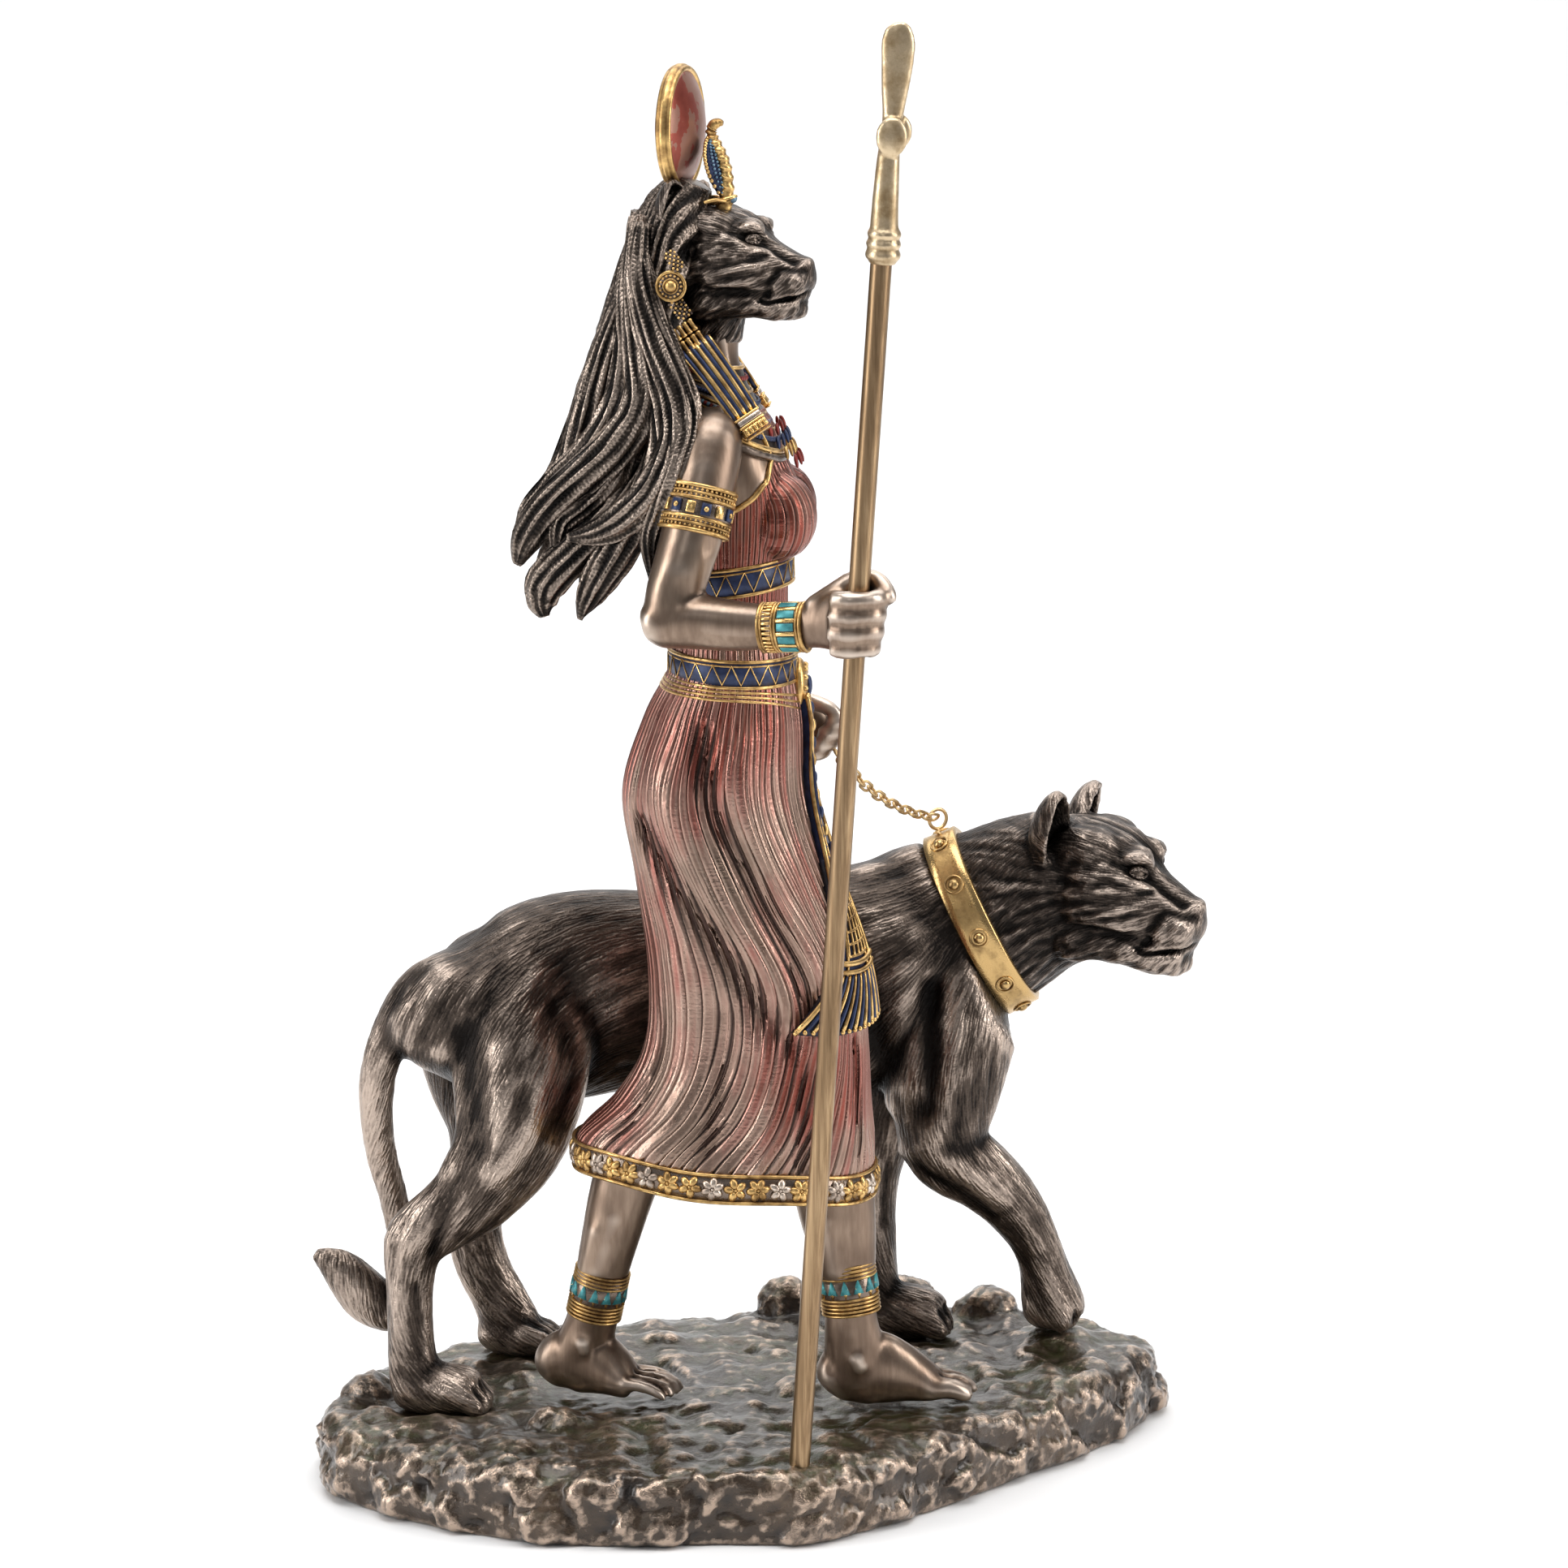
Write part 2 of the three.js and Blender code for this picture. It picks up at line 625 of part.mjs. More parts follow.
// The lioness: rows as above
const bodyRows = [
  [-79.6, -3.6, 99, 5, 5],
  [-76, -2.6, 97, 10.4, 9],
  [-68.6, 0, 95, 14.2, 13],
  [-58, 3.4, 94.4, 19.8, 14.6],
  [-45, 7.6, 96.4, 22, 15],
  [-28, 13, 96.6, 21, 15],
  [-10, 18.8, 95, 21.6, 15.6],
  [8, 24.6, 95, 23.8, 16],
  [23, 29.4, 95.6, 25.6, 15.8],
  [36, 33, 95.6, 28.2, 14.4],
  [45.4, 33.4, 91.6, 24.4, 12.4],
  [50, 33.6, 90, 16, 8],
];
const neckOfLioness = [
  [22, 30, 99, 21, 14.6],
  [33, 31.4, 103.2, 21.4, 14.6],
  [42, 31, 107.4, 19.6, 13.8],
  [51.6, 29.6, 112.6, 17.8, 12.6],
  [60, 28, 116, 16.4, 12],
];
const tailRows = [
  [-69, -1, 106, 4, 4],
  [-75, -1.6, 101, 4, 3.8],
  [-80.6, -1.4, 92, 3.6, 3.4],
  [-84.4, 0, 80, 3.2, 3],
  [-84.4, 2, 66, 2.8, 2.6],
  [-81.4, 3.8, 53, 2.6, 2.4],
  [-79.4, 5.6, 36, 2.4, 2.3],
  [-82, 6.4, 28, 3.2, 3],
  [-87.2, 6.2, 31, 5.4, 4],
  [-93.4, 5.8, 38, 4.4, 3.6],
  [-99.6, 5.2, 42, 0.7, 0.7],
];
const lionessLegs = {
  nearHind: {
    thigh: [
      [-54, -3, 104, 12, 8],
      [-54, -6.4, 92, 14.4, 9],
      [-54.4, -9.4, 80, 13.4, 8.6],
      [-57, -10.8, 69, 11.2, 7.6],
      [-63.4, -11, 59.6, 8.8, 6],
      [-70, -11, 54.2, 7.4, 5],
      [-76, -11, 49, 6.6, 4.6],
      [-77.3, -11, 42, 5.2, 4],
      [-77.4, -11.2, 32, 4.9, 3.9],
      [-77, -11.6, 23, 5.2, 4.2],
      [-75.4, -12, 16.6, 6, 4.8],
    ],
    paw: [
      [-81.4, -10.8, 17, 2, 2.4],
      [-79, -11, 17.2, 4.4, 4.2],
      [-73, -12.2, 17.6, 5.4, 5.2],
      [-67, -13.4, 17.2, 4.8, 5.8],
      [-62.6, -14.4, 15.8, 3, 5],
    ],
  },
  farHind: {
    thigh: [
      [-63, 9, 103, 11, 8],
      [-64.4, 13.4, 91, 13, 9],
      [-63, 16.6, 78, 12.4, 8.4],
      [-61, 18.2, 66, 10.2, 7.2],
      [-63, 19, 55, 7.8, 5.8],
      [-66, 19.6, 45, 5.8, 4.8],
      [-64.6, 20.2, 35, 5.8, 4.2],
      [-61, 20.4, 27.4, 5.8, 4.2],
      [-58, 20.4, 21, 6.2, 4.8],
    ],
    paw: [
      [-65.4, 21.4, 18.8, 2, 2.4],
      [-63, 21, 19, 4, 4],
      [-57.6, 20, 19.2, 5, 5],
      [-52.4, 19, 18.4, 4.2, 5.4],
      [-48.6, 18.4, 17.2, 2.4, 4.6],
    ],
  },
  farFront: {
    thigh: [
      [35, 36.4, 99, 12, 7],
      [32, 38, 84, 11.4, 7.6],
      [26.6, 38.4, 70, 8.6, 6.8],
      [21.4, 38, 58, 6.4, 5.6],
      [19, 37, 46, 5.6, 4.8],
      [18.6, 36, 35, 5.8, 4.8],
      [19, 35, 26, 5.8, 4.8],
      [20, 34.4, 19, 6, 5.4],
    ],
    paw: [
      [15.4, 35.2, 18, 2.2, 3],
      [18, 35, 18.6, 4.4, 5],
      [24, 34, 19.4, 5.4, 6],
      [30, 33, 18.8, 4.8, 6.6],
      [35, 32, 16.8, 2.6, 5.6],
    ],
  },
  nearFront: {
    thigh: [
      [39, 25, 101, 12, 8],
      [36, 21.6, 87, 13, 8.6],
      [33.8, 19.6, 75, 12.4, 8.2],
      [31.6, 18.6, 65, 10.4, 7.2],
      [28, 18.4, 59.6, 5.4, 5],
    ],
    shank: [
      [24.4, 18.6, 63, 3, 4],
      [30.4, 19, 61.4, 7.4, 6.6],
      [37, 20, 57.6, 8.4, 6.8],
      [43.6, 21.6, 52.4, 7.3, 6],
      [49.6, 23.6, 45.4, 6.2, 5.2],
      [53.8, 25.6, 38, 5.3, 4.8],
      [56, 26.8, 31, 5.5, 5],
      [57.4, 27.8, 25, 6.6, 5.8],
      [58.2, 28.2, 20.4, 5.8, 5.4],
      [58.4, 28.2, 17.4, 3.4, 3.6],
    ],
  },
};

function pawToes(by, sole, ahead) {
  const toes = [];
  for (let i = 0; i < 4; i++) {
    const across = (i - 1.5) * 0.46 * sole.wide;
    const reach = ahead - 0.5 * Math.abs(i - 1.5);
    const x = sole.x + reach * Math.cos(sole.turn) - across * Math.sin(sole.turn);
    const y = sole.y + reach * Math.sin(sole.turn) + across * Math.cos(sole.turn);
    toes.push(by.egg([x, y, sole.z + 2.2], [3.4, 2.1, 2.6], { turn: sole.turn, ...coarse }));
  }
  return toes;
}

function lionessLeg(by, name) {
  const sole = soles[name];
  const flatSides = 1.05;
  const fuller = (rows) => rows.map(([x, y, z, a, b]) => [x, y, z, a * flatSides, b * flatSides]);
  const parts = Object.values(lionessLegs[name]).map((rows) => by.loft(fuller(rows), { sides: 7 }));
  const ahead = name === "nearFront" ? 3.6 : 0.68 * sole.long;
  return trimmedAtSole(joined([...parts, ...pawToes(by, sole, ahead)]), sole);
}

// Her collar is a band on the neck, with a row of studs around it. The neck climbs by this angle there.
const collarLean = 0.47;
const collarOut = 1.6 * trimThickness;

function lionessCollar(by) {
  const [x, y, z, a, b] = neckOfLioness[2];
  const ahead = [Math.cos(collarLean), -0.06, Math.sin(collarLean)];
  const half = collarWidth / 2 / by.scale;
  const lip = collarOut / by.scale;
  const rows = [-1, -0.9, 0.9, 1].map((share, i) => {
    const out = i === 0 || i === 3 ? 0.25 * lip : lip;
    const taper = 1 - 0.012 * share * half;
    const place = [x + ahead[0] * share * half, y + ahead[1] * share * half, z + ahead[2] * share * half];
    return [...place, a * taper + out, b * taper + out];
  });
  const parts = [by.loft(rows, { sides: 14 })];
  for (let i = 0; i < studCount; i++) {
    const angle = Math.PI + ((i + 0.5) / studCount) * 2 * Math.PI;
    const u = (a + lip) * Math.cos(angle);
    const v = (b + lip) * Math.sin(angle);
    const spot = [x + Math.sin(collarLean) * u, y - v, z - Math.cos(collarLean) * u];
    const r = studRadius / by.scale;
    parts.push(by.egg(spot, [r, r, r], { around: 4, down: 2 }));
  }
  return parts;
}

function lionessSolid() {
  const by = lioness;
  const parts = [
    by.loft(bodyRows, { sides: 11 }),
    by.loft(neckOfLioness, { sides: 10 }),
    by.loft(tailRows, { sides: 5 }),
    ...Object.keys(lionessLegs).map((name) => lionessLeg(by, name)),
    lionHead(by, [66, 27, 118], 1, 0.38, 0),
    ...lionessCollar(by),
  ];
  return cast(joined(parts));
}

function goddessSolid() {
  const by = goddess;
  const headTurn = 0.28;
  const parts = [
    ...gown(by),
    ...sash(by),
    ...broadCollar(by),
    by.loft(neckRows),
    ...arms(by),
    ...legs(by),
    ...hair(by),
    ...straps(by),
    ...crown(by, headTurn),
    lionHead(by, [-12.9, -20, 253.6], 0.79, headTurn, 0.05),
  ];
  const bore = alongStaff(round(staffRadius + fitGap, rodLength + sceptreLength), 0);
  return cast(joined(parts).subtract(bore));
}

// The base: an irregular slab of rock, hollowed where the feet stand
const rim = [
  [0.97, 0.42],
  [0.87, 0.65],
  [0.633, 0.84],
  [0.36, 0.86],
  [0.067, 0.8],
  [-0.344, 0.7],
  [-0.72, 0.44],
  [-0.98, -0.08],
  [-0.93, -0.58],
  [-0.51, -0.97],
  [-0.055, -1],
  [0.15, -0.97],
  [0.41, -0.67],
  [0.61, -0.35],
  [0.83, 0],
];
const baseMiddle = { x: -6, y: 2 };

function ripple(x, y) {
  const broad = Math.sin(0.11 * x + 1.3) * Math.cos(0.13 * y - 0.4);
  const small = Math.sin(0.31 * x - 0.23 * y) * Math.cos(0.27 * x + 0.35 * y + 1);
  return 0.7 * broad + 0.8 * small;
}

function rock(x, y, z, size, turn) {
  const geometry = new THREE.IcosahedronGeometry(size, 0);
  geometry.scale(1.2, 0.9, 0.75);
  geometry.rotateZ(turn);
  geometry.translate(x, y, z);
  return solidOf(geometry);
}

function footHollow(sole) {
  const middle = sole.by.at(sole.x, sole.y, sole.z);
  const geometry = new THREE.CylinderGeometry(1, 1, 14, 10);
  geometry.rotateX(Math.PI / 2);
  geometry.scale((sole.long + 4.6) * sole.by.scale, (sole.wide + 3.4) * sole.by.scale, 1);
  geometry.rotateZ(sole.turn);
  geometry.translate(middle.x, middle.y, middle.z + 7);
  return solidOf(geometry);
}

function base() {
  const around = 30;
  const half = [baseLength / 2, baseWidth / 2];
  const edge = new THREE.CatmullRomCurve3(
    rim.map(([u, v]) => new THREE.Vector3(baseMiddle.x + u * half[0], baseMiddle.y + v * half[1], 0)),
    true,
  ).getPoints(around);
  edge.pop();
  const middle = new THREE.Vector3(baseMiddle.x, baseMiddle.y, 0);
  const ring = (share, height) =>
    edge.map((p) => {
      const q = middle.clone().lerp(p, share);
      q.z = height(q.x, q.y);
      return q;
    });
  const t = baseThickness;
  const rings = [ring(0.995, () => 0), ring(1.01, (x, y) => 0.3 * t + 0.6 * ripple(2 * y, 2 * x))];
  rings.push(ring(0.995, (x, y) => 0.74 * t + 0.8 * ripple(x, 2 * y)));
  for (const share of [0.95, 0.78, 0.5]) {
    rings.push(ring(share, (x, y) => t + 0.5 + ripple(x, y)));
  }
  const rocks = [
    rock(0, 48, t + 2, 6.4, 0.3),
    rock(13, 49, t + 1, 6, 1.1),
    rock(27, 49, t + 3.4, 6.6, 0.5),
    rock(44, 47, t + 1.6, 6.4, 0.2),
    rock(-46, -26, t - 1, 6.4, 0.4),
    rock(-86, -6, t - 0.2, 6.4, 0.9),
  ];
  const slab = joined([skinOf(rings), ...rocks]);
  const socket = alongStaff(round(staffRadius + fitGap, 3 * socketDepth), -fitGap);
  const hollows = Object.values(soles).map(footHollow);
  return slab.subtract(joined([...hollows, socket]));
}

// The eye screwed into the collar and the chain that runs from it to her left hand
const collarTop = (() => {
  const [x, y, z, a] = neckOfLioness[2];
  const out = a + collarOut / lioness.scale;
  return lioness.at(x - Math.sin(collarLean) * out, y, z + Math.cos(collarLean) * out);
})();

// A wire bent along a closed loop of points, with square sections
function wireLoop(points, wire, sides) {
  const rings = points.map((p, i) => {
    const before = points[(i + points.length - 1) % points.length];
    const after = points[(i + 1) % points.length];
    const ahead = new THREE.Vector3().subVectors(after, before).normalize();
    const flat = new THREE.Vector3(0, 0, 1);
    const out = new THREE.Vector3().crossVectors(ahead, flat);
    return Array.from({ length: sides }, (_, j) => {
      const angle = ((j + 0.5) / sides) * 2 * Math.PI;
      const offset = out.clone().multiplyScalar(Math.cos(angle)).addScaledVector(flat, Math.sin(angle));
      return p.clone().addScaledVector(offset, wire / 2);
    });
  });
  const faces = [];
  const count = rings.length;
  for (let i = 0; i < count; i++) {
    for (let j = 0; j < sides; j++) {
      const next = (j + 1) % sides;
      const [a, b] = [i * sides + j, i * sides + next];
      const [c, d] = [((i + 1) % count) * sides + next, ((i + 1) % count) * sides + j];
      faces.push(a, c, b, a, d, c);
    }
  }
  const geometry = new THREE.BufferGeometry().setFromPoints(rings.flat());
  geometry.setIndex(faces);
  return geometry;
}

function collarRing() {
  const count = 10;
  const points = Array.from({ length: count }, (_, i) => {
    const angle = (i / count) * 2 * Math.PI;
    return new THREE.Vector3(ringRadius * Math.cos(angle), ringRadius * Math.sin(angle), 0);
  });
  const eye = wireLoop(points, 1.4 * chainWire, 4);
  eye.rotateX(Math.PI / 2);
  eye.rotateZ(0.5);
  const centre = ringCentre();
  eye.translate(centre.x, centre.y, centre.z);
  const stem = new THREE.CylinderGeometry(chainWire, chainWire, stemLength, 6);
  stem.rotateX(Math.PI / 2);
  stem.translate(centre.x, centre.y, centre.z - ringRadius - stemLength / 2);
  return solidOf(eye).add(solidOf(stem));
}

function ringCentre() {
  return collarTop.clone().add(new THREE.Vector3(0, 0, ringRadius + stemLength + fitGap));
}

// The links hang in a slack curve. Each one is turned a quarter against its neighbour.
function chainLinks() {
  const pitch = linkLength - 2 * chainWire - fitGap;
  const start = ringCentre().add(new THREE.Vector3(-0.1 * linkLength, -0.4 * linkLength, 0.6));
  const end = goddess.at(10.4, 2, 149.6);
  const sag = new THREE.Vector3(0, 0, -chainSag);
  const hang = new THREE.QuadraticBezierCurve3(
    start,
    start.clone().lerp(end, 0.6).addScaledVector(sag, 2),
    end,
  );
  const count = Math.max(3, Math.round(hang.getLength() / pitch));
  const straight = (linkLength - linkWidth) / 2;
  const bend = (linkWidth - chainWire) / 2;
  const outline = [];
  for (const side of [1, -1]) {
    for (const angle of [-0.44, 0, 0.44]) {
      const turn = angle * Math.PI;
      outline.push(new THREE.Vector3(side * (straight + bend * Math.cos(turn)), side * bend * Math.sin(turn), 0));
    }
  }
  return Array.from({ length: count }, (_, i) => {
    const share = (i + 0.5) / count;
    const spot = hang.getPointAt(share);
    const ahead = hang.getTangentAt(share);
    const aside = new THREE.Vector3().crossVectors(new THREE.Vector3(0, 0, 1), ahead).normalize();
    const up = new THREE.Vector3().crossVectors(ahead, aside);
    const frame = new THREE.Matrix4().makeBasis(ahead, aside, up).setPosition(spot);
    const geometry = wireLoop(outline, chainWire, 3);
    geometry.rotateX(Math.PI / 4 + (i % 2 ? Math.PI / 2 : 0));
    geometry.applyMatrix4(frame);
    return solidOf(geometry);
  });
}

// Materials
const finish = (color, metalness, roughness) => new THREE.MeshStandardMaterial({ color, metalness, roughness });
const rockBronze = finish("#4a3a2c", 0.6, 0.45);
const skinBronze = finish("#8a7562", 0.8, 0.35);
const darkBronze = finish("#5a4c43", 0.8, 0.4);
const brass = finish("#a58a55", 0.9, 0.3);
const gold = finish("#c9a24e", 0.9, 0.3);

const statue = new THREE.Group();

function place(name, solid, material) {
  const mesh = new THREE.Mesh(geometryOf(solid), material);
  mesh.name = name;
  statue.add(mesh);
  return mesh;
}

place("base", base(), rockBronze);
place("goddess", goddessSolid(), skinBronze);
place("lioness", lionessSolid(), darkBronze);
place("staff_rod", staffRod(), brass);
place("sceptre_head", sceptreHead(), brass);
place("collar_ring", collarRing(), gold);
chainLinks().forEach((link, i) => place("chain_link_" + String(i + 1).padStart(2, "0"), link, gold));

// The statue stands over the middle of its own box.
const box = new THREE.Box3().setFromObject(statue);
const centre = box.getCenter(new THREE.Vector3());
for (const mesh of statue.children) mesh.position.set(-centre.x, -centre.y, -box.min.z);

export default statue;
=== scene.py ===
import math
import bmesh
import bpy
import numpy as np
from mathutils import Matrix, Vector, kdtree, noise


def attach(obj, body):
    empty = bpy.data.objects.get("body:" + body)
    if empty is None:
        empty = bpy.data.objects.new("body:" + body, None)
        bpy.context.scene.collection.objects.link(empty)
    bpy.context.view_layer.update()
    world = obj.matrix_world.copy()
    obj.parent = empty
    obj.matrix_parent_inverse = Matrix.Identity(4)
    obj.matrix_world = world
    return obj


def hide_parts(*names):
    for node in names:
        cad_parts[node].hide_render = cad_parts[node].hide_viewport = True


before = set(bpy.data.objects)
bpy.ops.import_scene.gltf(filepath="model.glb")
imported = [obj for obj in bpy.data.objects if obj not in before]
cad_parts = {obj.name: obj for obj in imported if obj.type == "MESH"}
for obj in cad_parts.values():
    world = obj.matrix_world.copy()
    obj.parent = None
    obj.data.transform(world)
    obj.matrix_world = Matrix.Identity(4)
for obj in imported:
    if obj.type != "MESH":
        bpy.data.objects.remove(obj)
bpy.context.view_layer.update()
print("frame loaded")

# Figures are in millimetres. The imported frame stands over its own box: toFrame moves finished pieces.
layout = {"toFrame": (4.608, 6.094, 0.0), "metre": 0.001, "seed": 7}
chance = np.random.default_rng(layout["seed"])
scene = bpy.context.scene


def smoothRows(rows, steps):
    rows = np.array([list(r) + [0.0] * (6 - len(r)) for r in rows], float)
    last = len(rows) - 1
    i = np.arange(last * steps + 1)
    k = np.minimum(i // steps, last - 1)
    t = (i / steps - k)[:, None]
    p0, p1, p2, p3 = rows[np.maximum(k - 1, 0)], rows[k], rows[k + 1], rows[np.minimum(k + 2, last)]
    return p1 + 0.5 * t * (p2 - p0 + t * (2 * p0 - 5 * p1 + 4 * p2 - p3 + t * (3 * p1 - p0 - 3 * p2 + p3)))


def unit(v):
    v = np.asarray(v, float)
    return v / np.maximum(np.linalg.norm(v, axis=-1, keepdims=True), 1e-9)


# Oval sections along a path: rows are x, y, z, half size in the picture, half depth
def sections(rows, sides, steps=4, depth=(0, 1, 0), swell=None, facing=None):
    fine = smoothRows(rows, steps)
    ahead = np.gradient(fine[:, :3], axis=0)
    ahead = unit(ahead if facing is None else ahead * 0 + facing)
    wide = unit(np.cross(np.array(depth, float), ahead))
    deep = np.cross(ahead, wide)
    angle = np.arange(sides) / sides * 2 * math.pi
    share = np.linspace(0, 1, len(fine))
    more = swell(share[:, None], angle[None, :]) if swell else 0.0
    u = (fine[:, 3:4] + more) * np.cos(angle)
    v = (fine[:, 4:5] + more) * np.sin(angle)
    return fine[:, None, :3] + wide[:, None] * u[..., None] + deep[:, None] * v[..., None]


# A flat grid carried onto rows of points and closed round its sides
def wrap(bm, spots, ends=True, loop=False):
    bm.loops.layers.uv.verify()
    spots = np.concatenate([spots, spots[:, :1]], axis=1)
    if loop:
        spots = np.concatenate([spots, spots[:1]], axis=0)
    down, across = spots.shape[:2]
    cells = {"x_segments": across - 1, "y_segments": down - 1}
    made = bmesh.ops.create_grid(bm, size=1, calc_uvs=True, **cells)["verts"]
    for vert, spot in zip(made, spots.reshape(-1, 3)):
        vert.co = spot
    bmesh.ops.remove_doubles(bm, verts=made, dist=1e-6)
    if ends and not loop:
        rims = dict.fromkeys(e for v in made if v.is_valid for e in v.link_edges if e.is_boundary)
        bmesh.ops.holes_fill(bm, edges=list(rims), sides=0)


def limb(bm, rows, sides=24, **how):
    wrap(bm, sections(rows, sides, **how))


# A ball with three half sizes along the axes of its place
def ball(bm, place, half, detail=(20, 12), radius=1):
    sizes = place @ Matrix.Diagonal((*half, 1))
    bmesh.ops.create_uvsphere(bm, u_segments=detail[0], v_segments=detail[1], radius=radius, matrix=sizes)


def lump(bm, spot, half, turn=None, detail=(20, 12)):
    ball(bm, Matrix.Translation(spot) @ (turn or Matrix.Identity(4)), half, detail)


def turned(z=0.0, y=0.0):
    return Matrix.Rotation(z, 4, "Z") @ Matrix.Rotation(y, 4, "Y")


# The turn that takes x, y and z to three directions
def axes(x, y, z):
    return Matrix(np.column_stack([x, y, z]).tolist()).to_4x4()


# Level directions ahead and across for a heading
def headings(heading):
    ahead = np.array((math.cos(heading), math.sin(heading), 0))
    return ahead, np.array((-ahead[1], ahead[0], 0))


# Moves what one bmesh holds into another
def pour(source, bm):
    spare = bpy.data.meshes.new("spare")
    source.to_mesh(spare)
    source.free()
    bm.from_mesh(spare)
    bpy.data.meshes.remove(spare)


# Lumps and limbs that overlap are fused into one skin of even faces
def fused(bm, voxel, relaxing):
    bmesh.ops.recalc_face_normals(bm, faces=bm.faces)
    rough = bpy.data.meshes.new("rough")
    bm.to_mesh(rough)
    bm.free()
    holder = bpy.data.objects.new("rough", rough)
    scene.collection.objects.link(holder)
    skin = holder.modifiers.new("skin", "REMESH")
    skin.mode = "VOXEL"
    skin.voxel_size = voxel
    graph = bpy.context.evaluated_depsgraph_get()
    mesh = bpy.data.meshes.new_from_object(holder.evaluated_get(graph), depsgraph=graph)
    bpy.data.objects.remove(holder)
    bpy.data.meshes.remove(rough)
    clay = Clay(mesh)
    clay.relax(relaxing)
    return clay


# Smooth random values from 0 to 1 over space
def grain(spots):
    low = np.floor(spots).astype(np.int64)
    part = spots - low
    part = part * part * (3 - 2 * part)
    total = np.zeros(len(spots))
    for corner in range(8):
        step = np.array((corner & 1, corner >> 1 & 1, corner >> 2))
        x, y, z = (low + step).T
        mixed = (x * 73856093 ^ y * 19349663 ^ z * 83492791) & 0xFFFFFFFF
        mixed = (mixed ^ mixed >> 15) * 2246822519 & 0xFFFFFFFF
        total += (mixed ^ mixed >> 13) % 65536 / 65535 * np.prod(np.where(step, part, 1 - part), axis=1)
    return total


# A mesh under the modelling tools: strokes, combing, smoothing, and marks left for the materials
class Clay:
    def __init__(self, mesh):
        self.mesh = mesh
        count = len(mesh.vertices)
        flat = np.empty(count * 3)
        mesh.vertices.foreach_get("co", flat)
        self.co = flat.reshape(-1, 3)
        ends = np.empty(len(mesh.edges) * 2, int)
        mesh.edges.foreach_get("vertices", ends)
        self.ends = ends.reshape(-1, 2)
        self.degree = np.maximum(np.bincount(ends, minlength=count), 1)
        self.look()

    def averaged(self, values):
        a, b = self.ends.T
        n = len(self.co)
        sums = [np.bincount(a, c[b], n) + np.bincount(b, c[a], n) for c in values.T]
        return np.stack(sums, axis=1) / self.degree[:, None]

    def relax(self, rounds, strength=0.5):
        for _ in range(rounds):
            self.co = self.co + strength * (self.averaged(self.co) - self.co)
        self.look()

    def push(self, heights):
        self.co = self.co + self.normal * heights[:, None]

    def look(self):
        self.mesh.vertices.foreach_set("co", self.co.ravel())
        self.mesh.update()
        flat = np.empty(len(self.co) * 3)
        self.mesh.vertex_normals.foreach_get("vector", flat)
        self.normal = flat.reshape(-1, 3)

    # How near each point is to a stroke along a path: 1 on it, falling off over the reach
    def near(self, path, reach):
        path = np.atleast_2d(np.array(path, float))
        if len(path) > 2:
            path = smoothRows(path, 5)[:, :3]
        box = (self.co > path.min(0) - 3 * reach).all(1) & (self.co < path.max(0) + 3 * reach).all(1)
        found = np.flatnonzero(box)
        result = np.zeros(len(self.co))
        if not len(found):
            return result
        spots = self.co[found]
        best = np.full(len(found), 1e9)
        pairs = list(zip(path[:-1], path[1:])) or [(path[0], path[0])]
        for a, b in pairs:
            run = b - a
            share = np.clip((spots - a) @ run / max(run @ run, 1e-9), 0, 1)
            best = np.minimum(best, np.linalg.norm(spots - a - share[:, None] * run, axis=1))
        result[found] = np.exp(-((best / reach) ** 2.0))
        return result

    def stroke(self, path, reach, height):
        self.push(height * self.near(path, reach))

    # Combed relief: random grain averaged along the flow, pushed along the normals
    def comb(self, flow, width, height):
        steps, stride, contrast = 5, 0.55, 5.0
        shifts = range(-steps, steps + 1)
        total = sum(grain((self.co + flow * (k * width * stride)) / width) for k in shifts)
        self.push(height * np.clip((total / (2 * steps + 1) - 0.5) * contrast, -1, 1))
        self.look()

    def mark(self, name, values):
        kind = "FLOAT_VECTOR" if values.ndim > 1 else "FLOAT"
        layer = self.mesh.attributes.new(name, kind, "POINT")
        layer.data.foreach_set("vector" if values.ndim > 1 else "value", values.ravel())

    # Raised places against hollow ones, from 0 in the hollows to 1 on the ridges
    def relief(self, rounds=6, gain=2.0):
        mean = self.co
        for _ in range(rounds):
            mean = self.averaged(mean)
        high = ((self.co - mean) * self.normal).sum(1)
        return np.clip(0.5 + gain * high, 0, 1)


# A finished piece: its mesh goes from millimetres to the frame's metres, and stands for its CAD node
def finished(name, shape, materials, node, rounds=6, gain=2.0):
    if isinstance(shape, bmesh.types.BMesh):
        bmesh.ops.recalc_face_normals(shape, faces=shape.faces)
        mesh = bpy.data.meshes.new(name)
        shape.to_mesh(mesh)
        shape.free()
        shape = Clay(mesh)
    mesh = shape.mesh
    shape.look()
    shape.mark("relief", shape.relief(rounds, gain))
    mesh.name = name
    mesh.transform(Matrix.Scale(layout["metre"], 4) @ Matrix.Translation(layout["toFrame"]))
    mesh.shade_smooth()
    piece = bpy.data.objects.new(name, mesh)
    scene.collection.objects.link(piece)
    for material in materials if isinstance(materials, (list, tuple)) else [materials]:
        mesh.materials.append(material)
    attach(piece, "root")
    if node:
        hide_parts(*([node] if isinstance(node, str) else node))
    print(name, len(mesh.polygons), "faces")


